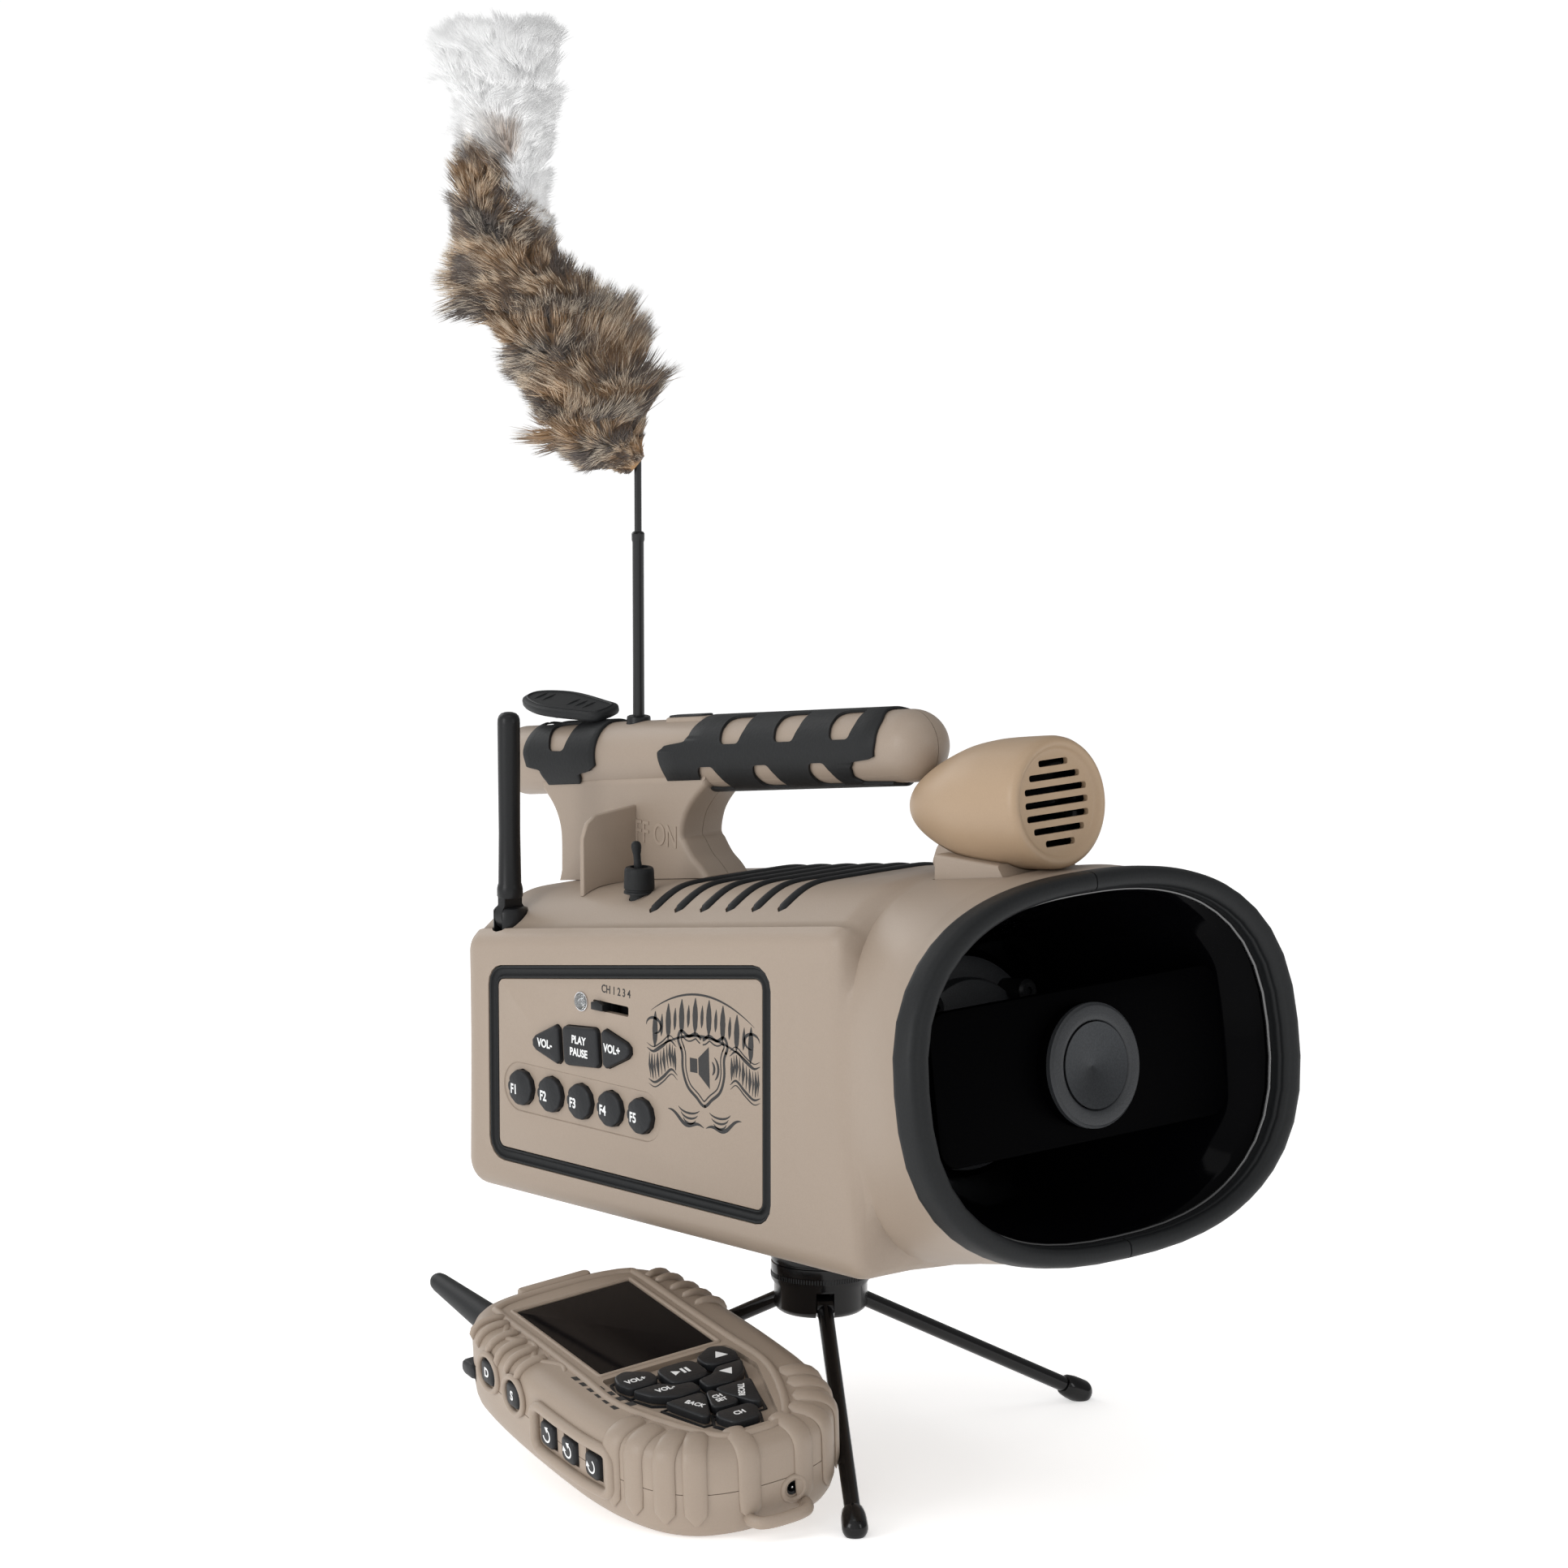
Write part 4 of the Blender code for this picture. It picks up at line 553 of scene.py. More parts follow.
def map_of(tree, value, to_low, to_high, from_low=0.0, from_high=1.0):
    made = node_of(tree, "MapRange", From_Min=from_low, From_Max=from_high,
                   To_Min=to_low, To_Max=to_high)
    tree.links.new(value, made.inputs["Value"])
    return made.outputs["Result"]


def noise_of(tree, scale, detail_level):
    spot = tree.nodes.new("ShaderNodeTexCoord")
    made = node_of(tree, "TexNoise", Scale=scale, Detail=detail_level)
    tree.links.new(spot.outputs["Object"], made.inputs["Vector"])
    return made.outputs["Fac"]


def tinted(colour, factor, more=0.0):
    return [min(1, c * factor + more) for c in colour] + [1]


def new_material(name):
    made = bpy.data.materials.new(name)
    made.use_nodes = True
    return made, made.node_tree, made.node_tree.nodes["Principled BSDF"]


def surface(name, colour, roughness, mottle=0.05, grain=0.2, grain_scale=1500.0, wear=0.0,
            metallic=0.0, spread=0.06, ior=1.45):
    """Moulded surface: cloudy colour, fine grain in height and gloss, paler worn edges."""
    made, tree, shader = new_material(name)
    cloud = noise_of(tree, 24.0, 5.0)
    speck = noise_of(tree, grain_scale, 3.0)
    mottled = mix_of(tree, tinted(colour, 1 - mottle), tinted(colour, 1 + mottle), cloud)
    shade = map_of(tree, speck, 1 - mottle * 1.6, 1 + mottle * 1.2, 0.3, 0.7)
    final = mix_of(tree, mottled, shade, 0.5, "MULTIPLY")
    if wear:
        shape = tree.nodes.new("ShaderNodeNewGeometry")
        edge = map_of(tree, shape.outputs["Pointiness"], 0.0, wear, 0.53, 0.62)
        final = mix_of(tree, final, tinted(colour, 1.35, 0.02), edge)
    gloss = map_of(tree, cloud, max(0.02, roughness - spread), min(1.0, roughness + spread))
    bump = node_of(tree, "Bump", Strength=grain, Distance=0.0002)
    tree.links.new(speck, bump.inputs["Height"])
    for source, target in ((final, "Base Color"), (gloss, "Roughness"),
                           (bump.outputs["Normal"], "Normal")):
        tree.links.new(source, shader.inputs[target])
    for target, value in (("Metallic", metallic), ("IOR", ior), ("Coat Roughness", 0.15)):
        shader.inputs[target].default_value = value
    return made


TAN_COLOUR = (0.335, 0.268, 0.212)
TAN = surface("tan_plastic", TAN_COLOUR, 0.45, 0.03, 0.25, wear=0.25)
AMBER = surface("tweeter_tan", (0.40, 0.285, 0.185), 0.40, 0.03, 0.2, wear=0.25)
BLACK = surface("black_plastic", (0.009, 0.0095, 0.0105), 0.34, 0.15, 0.2, wear=0.1, ior=1.34)
RUBBER = surface("black_rubber", (0.011, 0.012, 0.013), 0.5, 0.12, 0.3, 900.0, wear=0.12, ior=1.32)
GRIP = surface("grip_rubber", (0.012, 0.013, 0.014), 0.55, 0.1, 0.5, 700.0, wear=0.15, ior=1.32)
KEY = surface("key_rubber", (0.012, 0.013, 0.015), 0.4, 0.12, 0.35, 1100.0, wear=0.15, ior=1.36)
GLOSS = surface("gloss_black", (0.0012, 0.0012, 0.0016), 0.10, 0.2, 0.03, 600.0, spread=0.03,
                ior=1.12)
# Painted shade: near-zero colour and weak reflection for parts deep in the horn, so they vanish into
# its dark.
PAINTED_SHADE_BLACK = surface("painted_shade_black", (0.0008, 0.0008, 0.0010), 0.45, 0.2, 0.03, 600.0, ior=1.06)
LIP = surface("horn_lip", (0.02, 0.02, 0.021), 0.22, 0.2, 0.05, 600.0, ior=2.2)
LACQUER = surface("lacquer", (0.003, 0.003, 0.0035), 0.16, 0.2, 0.05, 600.0, ior=1.38)
DRIVER = surface("grey_driver", (0.03, 0.032, 0.035), 0.42, 0.2, 0.6, 1600.0, wear=0.3, ior=1.4)
CONE = surface("driver_cone", (0.045, 0.048, 0.052), 0.36, 0.2, 0.25, 1400.0, metallic=0.75)
ROD = surface("steel_rod", (0.012, 0.0125, 0.0135), 0.3, 0.15, 0.15, metallic=0.2)
GLASS = surface("screen_glass", (0.003, 0.0025, 0.003), 0.08, 0.3, 0.01, 300.0, ior=1.18)
WHITE_INK = surface("white_ink", (0.82, 0.83, 0.83), 0.5, 0.03, 0.1)
DARK_INK = surface("dark_ink", (0.022, 0.021, 0.021), 0.55, 0.2, 0.1)
METAL = surface("plated_metal", (0.62, 0.62, 0.63), 0.25, 0.05, 0.1, metallic=1.0)


def clear_plastic():
    made = surface("clear_lens", (0.9, 0.92, 0.92), 0.06, 0.03, 0.05)
    made.node_tree.nodes["Principled BSDF"].inputs["Transmission Weight"].default_value = 0.85
    made.node_tree.nodes["Principled BSDF"].inputs["IOR"].default_value = 1.46
    return made


LENS = clear_plastic()


# ---------------------------------------------------------------- frames
def pitched(x, y, z):
    """Frame at a point whose X runs along the pitched axis and whose Z leans back with it."""
    return Matrix.Translation((x, y, z)) @ Matrix.Rotation(-PITCH, 4, "Y")


def side_frame(x, z, tilt=0.0):
    """Frame on the panel side: X runs forward, Y runs up and Z comes out of the panel."""
    return (Matrix.Translation((x, PANEL_Y, z)) @ Matrix.Rotation(radians(90), 4, "X")
            @ Matrix.Rotation(tilt, 4, "Z"))


def along_mouth(depth, y, up):
    """Point behind the mouth plane: depth along the horn axis, y across, up in the plane."""
    return Vector((MOUTH_X - depth * cos(PITCH) - up * sin(PITCH), y,
                   MOUTH_Z - depth * sin(PITCH) + up * cos(PITCH)))


# ---------------------------------------------------------------- case
DECK_CROWN = tuple((p.x, p.y) for p in smooth(
    ((58, -14.1), (50, -8.7), (42, -3.9), (35, -1.1), (27, 0), (14, 0.15), (0, 0.2)), 3))


def deck_z(x):
    return DECK_TOP_AT_ZERO + SLOPE * x


def side_top_z(x):
    return SIDE_TOP_AT_ZERO + SLOPE * x


def superellipse_radius(angle, half_width, half_height, power):
    return (abs(cos(angle) / half_width) ** power
            + abs(sin(angle) / half_height) ** power) ** (-1 / power)


def horn_axis_z(x):
    return MOUTH_Z + SLOPE * (x - MOUTH_X)


def horn_radius(x, angle):
    """Outside of the flared horn behind its rim."""
    spread = max(0.0, (x - 75) / 80)
    half_width = 64 + 40.5 * spread ** 2 - max(0, 60 - x)
    top = DECK_TOP_AT_ZERO - (MOUTH_Z - SLOPE * MOUTH_X)
    bottom = 80.0 - 5.5 * min(1.0, spread)
    half_height = top if angle > 0 else bottom
    half_height -= max(0, 60 - x)
    power = 2.8 - 0.3 * min(1.0, spread)
    return superellipse_radius(angle, half_width, half_height, power)


def front_round(x, z):
    """How far the box part has drawn in at its rounded front end, or None past it."""
    inside = CASE_FRONT_X - CASE_FRONT_LEAN * (z - CASE_BOTTOM) - x
    if inside >= CASE_FRONT_RADIUS:
        return 0.0
    if inside <= 0:
        return None
    return CASE_FRONT_RADIUS - sqrt(CASE_FRONT_RADIUS ** 2 - (CASE_FRONT_RADIUS - inside) ** 2)


def rear_round(x):
    inside = x - CASE_REAR_X
    if inside >= CASE_REAR_RADIUS:
        return 0.0
    return CASE_REAR_RADIUS - sqrt(CASE_REAR_RADIUS ** 2 - (CASE_REAR_RADIUS - inside) ** 2)


def case_arc(x, inset=0.0, side=-1, start=HALF_GAP):
    """Half section of the whole case, box and horn blended, as points from keel to deck."""
    tilt = PITCH * min(1.0, max(0.0, (x - 30) / 120))
    centre_z = horn_axis_z(x) if x > 30 else 165 + (horn_axis_z(30) - 165) * max(0, x) / 30
    points = []
    for index in range(len(case_section(x))):
        at = x
        for _ in range(4):
            across, z = case_section(at)[index]
            up = (z - centre_z) / cos(tilt)
            at = x - up * sin(tilt)
        angle = atan2(up, across)
        box_radius = sqrt(across ** 2 + up ** 2)
        drawn_in = front_round(at, z)
        horn = horn_radius(x, angle) if x > 30 else 0.0
        if drawn_in is None:
            radius = horn
        else:
            reduced = box_radius - drawn_in
            radius = (reduced + horn + sqrt((reduced - horn) ** 2 + 4.0)) / 2
        radius -= inset + rear_round(x)
        across = max(start, radius * cos(angle))
        up = radius * sin(angle)
        points.append(Vector((x - up * sin(tilt), side * across, centre_z + up * cos(tilt))))
    return points


def mouth_angles():
    return [atan2(z - horn_axis_z(80), across) for across, z in case_section(80)]


def mouth_arc(depth, offset, side=-1, start=HALF_GAP):
    """Half loop around the horn mouth that lines up with case_arc's points."""
    points = []
    for angle in mouth_angles():
        radius = superellipse_radius(angle, RIM_HALF_WIDTH - offset,
                                     RIM_HALF_HEIGHT - offset * HEIGHT_OFFSET_RATIO, MOUTH_POWER)
        points.append(along_mouth(depth, side * max(start, radius * cos(angle)),
                                  radius * sin(angle)))
    return points


def deck_band(name, x0, x1, reach, top, bottom):
    """Slab that follows the crown of the deck, between offsets above and below its surface."""
    crown = [(-reach, crown_drop(reach))] + [(-a, d) for a, d in DECK_CROWN if a < reach]
    crown += [(-a, d) for a, d in reversed(crown[:-1])]
    loops = []
    for x in (x0, x1):
        over = [Vector((x, y, deck_z(x) + drop + top)) for y, drop in crown]
        under = [Vector((x, y, deck_z(x) + drop + bottom)) for y, drop in reversed(crown)]
        loops.append(over + under)
    return loft(name, loops)


def crown_drop(across):
    """Height of the deck's crown below its flat top at this half width."""
    for (a1, d1), (a0, d0) in zip(DECK_CROWN, DECK_CROWN[1:]):
        if a0 <= across <= a1:
            return d0 + (d1 - d0) * (across - a0) / (a1 - a0)
    return DECK_CROWN[0][1]


def case_section(x):
    """Half section of the box part at x: (half width, height) from keel to deck middle."""
    radius = CASE_BOTTOM_RADIUS
    points = [(across, CASE_BOTTOM) for across in (0, 16, 32, 46)]
    for k in range(11):
        angle = radians(90 * k / 10)
        points.append((CASE_HALF_WIDTH - radius + radius * sin(angle),
                       CASE_BOTTOM + radius - radius * cos(angle)))
    low, high = CASE_BOTTOM + radius, side_top_z(x)
    points += [(CASE_HALF_WIDTH, low + (high - low) * k / 14) for k in range(1, 15)]
    for k in range(1, 8):
        turn = radians(8 * k)
        points.append((CASE_HALF_WIDTH - 7.5 + 7.5 * cos(turn), high + SHOULDER_RISE * sin(turn)))
    crease = deck_z(x) + DECK_CROWN[0][1]
    points.append((60.2, (high + SHOULDER_RISE * 0.99 + crease) / 2))
    points += [(across, deck_z(x) + drop) for across, drop in DECK_CROWN]
    return points


def panel_outline():
    """Outer outline of the panel's gasket, in (x, z)."""
    corners = [(PANEL_REAR_X, PANEL_BOTTOM_Z), (PANEL_FRONT_X, PANEL_BOTTOM_Z),
               (PANEL_FRONT_X, PANEL_FRONT_Z), (PANEL_REAR_X, PANEL_REAR_Z)]
    return rounded_outline(corners, 9.0)


def upright_plate(name, outline, y_low, y_high):
    """Plate with its outline in (x, z), between two values of y."""
    frame = Matrix.Rotation(radians(90), 4, "X")
    return plate(name, outline, -y_high, -y_low, frame)


def rib_positions():
    return [RIB_FIRST_X + RIB_STEP * k for k in range(RIB_COUNT)]


def case_stations():
    rear = [CASE_REAR_X + CASE_REAR_RADIUS * (1 - cos(radians(90 * k / 8))) for k in range(9)]
    return rear + [-120, -90, -60, -30, 0, 25, 40, 50] + [52 + 2.5 * k for k in range(37)]


def case_half():
    stations = case_stations()
    outer = [case_arc(x) for x in stations]
    inner = [case_arc(x, CASE_WALL) for x in stations]
    for depth, offset in ((RIM_DEPTH + 0.6, 0.8), (RIM_DEPTH + 0.35, 3.0), (5.0, 3.0)):
        outer.append(mouth_arc(depth, offset))
        inner.append(mouth_arc(depth, offset + CASE_WALL + (2.2 if offset < 1 else 0)))
    return strip_loft("case", outer, inner)


def make_case():
    right = case_half()
    left = mirrored(right, "case_left")
    right = cut(right, upright_plate("opening", grown(panel_outline(), GAP), -80, -55),
                rod_between("toggle_hole", (TOGGLE_X, TOGGLE_Y, 205),
                            (TOGGLE_X, TOGGLE_Y, 245), 4.3),
                rod_between("antenna_hole", (ANTENNA_X, ANTENNA_Y, ANTENNA_LEDGE - 14),
                            (ANTENNA_X, ANTENNA_Y, 240), ANTENNA_HOLE_RADIUS))
    for half, node in ((right, "case_right"), (left, "case_left")):
        low, high = TWEETER_BLOCK
        clear = Vector((GAP, GAP, GAP))
        cutters = [box("block", low - clear, high + clear)]
        for x in rib_positions():
            cutters.append(rib_solid(x, RIB_WIDTH / 2 + 0.7, RIB_REACH + 0.8, 4, -8))
        instead(cut(half, *cutters), node, TAN)


def rib_solid(x, half, reach, top, deep, rounding=0.0):
    """Bar across the deck that follows its crown, with a rounded back and rounded ends."""
    loops = []
    steps = 60
    for k in range(steps + 1):
        y = -reach + 2 * reach * k / steps
        end = reach - abs(y)
        size = min(1.0, sqrt(max(0.0, 1 - (1 - end / half) ** 2)) if end < half else 1.0)
        width = max(0.25, half * size)
        z = deck_z(x) + crown_drop(abs(y))
        profile = [(-1, deep), (-1, top - rounding)]
        if rounding:
            profile += [(-0.86, top - rounding * 0.45), (-0.5, top - rounding * 0.1), (0, top),
                        (0.5, top - rounding * 0.1), (0.86, top - rounding * 0.45)]
        profile += [(1, top - rounding), (1, deep)]
        loops.append([Vector((x + side * width, y,
                              z + (up if up < 0 or not rounding else up * (0.4 + 0.6 * size))))
                      for side, up in profile])
    return loft("rib", loops)


def make_ribs():
    deep = -(CASE_WALL + 1.2)
    first, last = rib_positions()[0], rib_positions()[-1]
    backing = deck_band("ribs", first - 5, last + 5, RIB_REACH + 2, deep, deep - 1.4)
    ribs = [rib_solid(x, RIB_WIDTH / 2, RIB_REACH, 1.4, deep - 0.7, 1.2)
            for x in rib_positions()]
    instead(together("deck_ribs", [backing] + ribs), "deck_ribs", RUBBER, 60)


# ---------------------------------------------------------------- horn
def mouth_loop(depth, half_width, half_height, power=MOUTH_POWER):
    """Whole loop across the horn, on the same directions from its axis as the case's sections."""
    half = []
    for angle in mouth_angles():
        radius = superellipse_radius(angle, half_width, half_height, power)
        half.append((radius * cos(angle), radius * sin(angle)))
    half[0], half[-1] = (0, half[0][1]), (0, half[-1][1])
    whole = half + [(-y, up) for y, up in reversed(half[1:-1])]
    return [along_mouth(depth, y, up) for y, up in whole]


def rim_loop(depth, offset):
    return mouth_loop(depth, RIM_HALF_WIDTH - offset,
                      RIM_HALF_HEIGHT - offset * HEIGHT_OFFSET_RATIO)


def smooth4(rows, per):
    """Smooth steps between rows of numbers."""
    rows = np.array(rows, float)
    result = []
    for i in range(len(rows) - 1):
        a = rows[i - 1] if i else 2 * rows[0] - rows[1]
        b, c = rows[i], rows[i + 1]
        d = rows[i + 2] if i + 2 < len(rows) else 2 * rows[-1] - rows[-2]
        for t in np.arange(per) / per:
            result.append((2 * b + (c - a) * t + (2 * a - 5 * b + 4 * c - d) * t ** 2
                           + (3 * b - a - 3 * c + d) * t ** 3) / 2)
    result.append(rows[-1])
    return result


def make_horn():
    sizes = ((13, 94, 65.8, 2.5), (24, 85, 61.5, 2.4), (44, 69, 55.5, 2.3), (66, 53, 49, 2.1),
             (88, 43, 43, 2.0), (HORN_FLOOR_DEPTH, 40, 40, 2.0))
    sizes = smooth4(sizes, 6)
    inner = [rim_loop(5, 8.0), rim_loop(9.6, 8.0)] + [mouth_loop(*size) for size in sizes]
    outer = [rim_loop(5, 6.0), rim_loop(9.6, 6.0)]
    outer += [mouth_loop(d, a + 2, b + 2, n) for d, a, b, n in sizes[:-1]]
    outer.append(mouth_loop(HORN_FLOOR_DEPTH + 2, 42, 42, 2))
    instead(cup("horn", outer, inner), "horn_flare", GLOSS)

    forward = Vector((cos(PITCH), 0, sin(PITCH)))
    bridge_depth, half_long, half_high = 18.0, 79.0, 30.0
    corners = rectangle(-half_long, -half_high, half_long, half_high)
    across = (Matrix.Translation(along_mouth(bridge_depth, 0, 0)) @ Matrix.Rotation(-PITCH, 4, "Y")
              @ Matrix.Rotation(radians(90), 4, "Y") @ Matrix.Rotation(radians(90), 4, "Z"))
    bar = stacked("bridge", rounded_outline(corners, 9, 10),
                  ((0, -5), (0, -0.8), (0.25, -0.25), (0.9, 0)), across)
    # The bridge takes the painted-shade black, so it is lost in the horn's dark.
    instead(bar, "horn_bridge", PAINTED_SHADE_BLACK)

    base = along_mouth(bridge_depth, 0, 0)
    ring = [(0, 5.6), (17.0, 5.6), (17.3, 7.2), (17.9, 8.0), (18.8, 8.35), (20.0, 8.4), (22.6, 8.4),
            (23.3, 8.25), (23.7, 7.8), (DISC_RADIUS, 7.2), (DISC_RADIUS, 5.2), (0, 5.2)]
    instead(turned("disc", ring, 128, base, forward), "horn_disc", DRIVER)
    stem = [(0, 5.1), (DISC_RADIUS - 0.5, 5.1), (DISC_RADIUS - 0.2, 4.8), (DISC_RADIUS - 0.2, 0.3),
            (0, 0.3)]
    # The stem behind the disc takes the painted-shade black as well.
    detail(turned("stem", stem, 96, base, forward), "disc_stem", PAINTED_SHADE_BLACK)
    dish = [(0, 5.72)] + [(17.0 * t, 5.72 + 2.45 * t ** 0.9) for t in (0.02, 0.2, 0.4, 0.6, 0.8, 1.0)]
    dish += [(17.0, 5.65), (0, 5.65)]
    detail(turned("cone", dish, 96, base, forward), "driver_cone", CONE)

    floor = along_mouth(86, 0, 0)
    flange = [(0, 9), (30, 9), (33, 8.2), (34, 6), (34, 3), (41, 3), (42.5, 2), (42.5, -3), (0, -3)]
    detail(turned("flange", flange, 96, floor, forward), "driver_flange", DRIVER)
    bosses = []
    for k in range(4):
        angle = radians(45 + 90 * k)
        at = along_mouth(76, 36 * cos(angle), 36 * sin(angle))
        boss = [(0, 5), (1.6, 5), (1.6, 6.4), (3.6, 6.4), (4.8, 5.4), (5.2, -8), (0, -8)]
        bosses.append(turned("boss", boss, 32, at, forward))
    detail(together("bosses", bosses), "driver_screw_bosses", BLACK)

    ring = [(RIM_DEPTH, 0.35), (RIM_DEPTH - 1, 0.0), (9, 0.0), (4.2, 0.15), (2.4, 0.6), (1.2, 1.4),
            (0.45, 2.6), (0.1, 4.2), (0.1, 6.6), (0.3, 8.0), (0.9, 9.2), (1.8, 10.0), (2.8, 10.2),
            (3.4, 10.2), (3.7, 10.5), (4.1, 10.9), (5.0, 11.0), (9.0, 11.0), (9.0, 8.4),
            (4.6, 8.4), (4.6, 2.6), (RIM_DEPTH, 2.6)]
    rim = ring_loft("rim", [rim_loop(depth, offset) for depth, offset in ring])
    seam = box("seam", (100, -0.3, 60), (220, 0.3, 300))
    core = ring_loft("core", [rim_loop(depth, offset) for depth, offset in
                              ((RIM_DEPTH - 0.5, 0.7), (4.4, 0.8), (2.2, 1.8), (0.9, 4.2), (0.9, 6.8),
                               (2.6, 9.4), (4.0, 9.9), (4.0, 8.9), (8.8, 8.5), (4.7, 8.3),
                               (4.7, 2.7), (RIM_DEPTH - 0.5, 2.5))])
    halves = cut(rim, seam)
    instead(together("rim", [halves, core]), "horn_rim", RUBBER, 50)
    lip = [(8.4 + 0.9 * cos(a), 11.6 + 0.9 * sin(a)) for a in around(12)]
    lip = ring_loft("lip", [rim_loop(depth, offset) for depth, offset in lip])
    detail(lip, "horn_lip", LIP)


# ---------------------------------------------------------------- handle
def handle_z(x):
    return HANDLE_Z_AT_ZERO + SLOPE * x


def handle_point(x, angle, radius):
    """Point around the handle axis at x; the angle starts at +Y and turns up."""
    up = radius * sin(angle)
    return Vector((x - up * sin(PITCH), radius * cos(angle), handle_z(x) + up * cos(PITCH)))


def post_outline():
    """Side view of the post under the handle, in (x, z), with its hollows front and rear."""
    front = [(-56, deck_z(-56) - 4), (-56.2, deck_z(-56) + 1), (-60, deck_z(-60) + 5),
             (-65.5, deck_z(-65) + 9.5), (-70, deck_z(-70) + 15.5), (-72, 246.5), (-70, 254.5),
             (-65, 261.5), (-57, handle_z(-57) - 12.5), (-57, handle_z(-57) - 7)]
    rear = [(-160, handle_z(-160) - 7), (-160, handle_z(-160) - 12), (-154, 249),
            (-150.5, 243), (-149, 236), (-149, deck_z(-149) + 5), (-150, deck_z(-150) - 4)]
    return front + rear


def switch_guard():
    """Thin upright fin beside the switch, from the post out over the deck's shoulder."""
    outline = [(-5, 212), (-5, 256.3), (-34, 254), (-38.5, 251), (-41, 245), (-41, 212)]
    frame = Matrix(((0, 0, 1, GUARD_X), (1, 0, 0, 0), (0, 1, 0, 0), (0, 0, 0, 1)))
    return plate("fin", outline, -1.2, 1.2, frame)


def under_deck():
    """Everything below the deck's surface, for trimming what stands on it."""
    return deck_band("deck", -190, 30, 57, GAP, -60)


def socket_well():
    """Cutter for the well of sockets in the top of the handle's rear end."""
    x = CAP_HINGE_X - CAP_PLUG_REACH
    return rod_between("well", handle_point(x, pi / 2, 8), handle_point(x, pi / 2, 22), 6.0)


def handle_bar():
    """Round bar with a domed front end and a softly rounded rear end."""
    length = (HANDLE_FRONT_X - HANDLE_REAR_X) / cos(PITCH)
    profile = [(0, length)]
    for k in range(1, 19):
        angle = radians(90 * k / 18)
        profile.append((HANDLE_RADIUS * sin(angle), length - HANDLE_RADIUS * (1 - cos(angle))))
    profile += [(HANDLE_RADIUS, 5)]
    for k in range(1, 10):
        angle = radians(90 * k / 9)
        profile.append((HANDLE_RADIUS - 5 + 5 * cos(angle), 5 - 5 * sin(angle)))
    profile += [(0, 0)]
    base = (HANDLE_REAR_X, 0, handle_z(HANDLE_REAR_X))
    return turned("bar", profile, 120, base, (cos(PITCH), 0, sin(PITCH)))


def smooth_post_outline():
    """The post's side view with fine curves between its buried ends."""
    points = post_outline()
    front, rear = points[:10], points[10:]
    return [tuple(p) for side in (front, rear)
            for p in (side[:1] + smooth(side[1:-1], 5) + side[-1:])]


def post_clearance():
    """The post a little larger all round, for trimming what closes round it."""
    outline = grown(smooth_post_outline(), 2 * GAP)
    return upright_plate("clearance", outline, -POST_HALF_WIDTH - 2 * GAP, POST_HALF_WIDTH + 2 * GAP)


def across_plate(name, outline, half, rounding):
    """Plate standing lengthways, its (x, z) outline rounded over at both faces."""
    edge = [(rounding * (1 - sin(radians(a))), rounding * (1 - cos(radians(a))))
            for a in (0, 15, 30, 45, 60, 75, 90)]
    levels = [(inset, drop - half) for inset, drop in edge]
    levels += [(inset, half - drop) for inset, drop in reversed(edge)]
    return stacked(name, outline, levels, Matrix.Rotation(radians(90), 4, "X"))


def make_handle():
    post = across_plate("post", smooth_post_outline(), POST_HALF_WIDTH, 2.4)
    whole = join(handle_bar(), post)
    far_side = box("far_side", (-200, -HALF_GAP, 150), (100, 60, 330))
    near_side = box("near_side", (-200, -60, 150), (100, HALF_GAP, 330))
    left = cut(copy_of(whole, "left"), near_side, under_deck())
    right = cut(join(whole, rounded(switch_guard(), 0.7, 3)), far_side, under_deck())
    for half, name in ((right, "handle_right"), (left, "handle_left")):
        socket = rod_between("socket", (ROD_X, 0, handle_z(ROD_X) - 6), (ROD_X, 0, 320), 5.3)
        instead(cut(half, socket, socket_well()), name, TAN)


def wrapped(points, low, high):
    """Closed solid between two radii whose outline is given as (x, degrees) on the bar."""
    loops = [[handle_point(x, radians(a), r) for x, a in points]
             for r in np.linspace(low, high, 3)]
    return loft("wrapped", loops)


def window(points, radius=4.0):
    """Rounded window outline on the bar from corners in (x, degrees)."""
    scale = radians(1) * GRIP_OUTER
    flat = rounded_outline([(x, a * scale) for x, a in points], radius, 8)
    return [(x, y / scale) for x, y in flat]


def stepped(value, rows):
    """Smooth steps through (position, value) rows."""
    for (p0, v0), (p1, v1) in zip(rows, rows[1:]):
        if value <= p1:
            t = (value - p0) / (p1 - p0)
            return v0 + (v1 - v0) * t * t * (3 - 2 * t)
    return rows[-1][1]


def from_top(angle):
    """Degrees round the bar away from its top."""
    return abs((angle * 180 / pi - 90 + 180) % 360 - 180)


def sleeve(name, rear, front, sides=240, along=12):
    """Rubber sleeve whose ends wander; its edges are rounded over."""
    shell = []
    profile = [(0.0, GRIP_INNER), (0.0, GRIP_OUTER - 0.55), (0.16, GRIP_OUTER - 0.2),
               (0.5, GRIP_OUTER)]
    angles = around(sides)
    for inset, radius in profile:
        shell.append([handle_point(rear(a) + inset, a, radius) for a in angles])
    for k in range(1, along):
        shell.append([handle_point(rear(a) + (front(a) - rear(a)) * k / along, a, GRIP_OUTER)
                      for a in angles])
    for inset, radius in reversed(profile):
        shell.append([handle_point(front(a) - inset, a, radius) for a in angles])
    for k in range(along - 1, 0, -1):
        shell.append([handle_point(rear(a) + (front(a) - rear(a)) * k / along, a, GRIP_INNER)
                      for a in angles])
    return ring_loft(name, shell)


def both_sides(outline):
    return [outline, [(x, 180 - a) for x, a in reversed(outline)]]


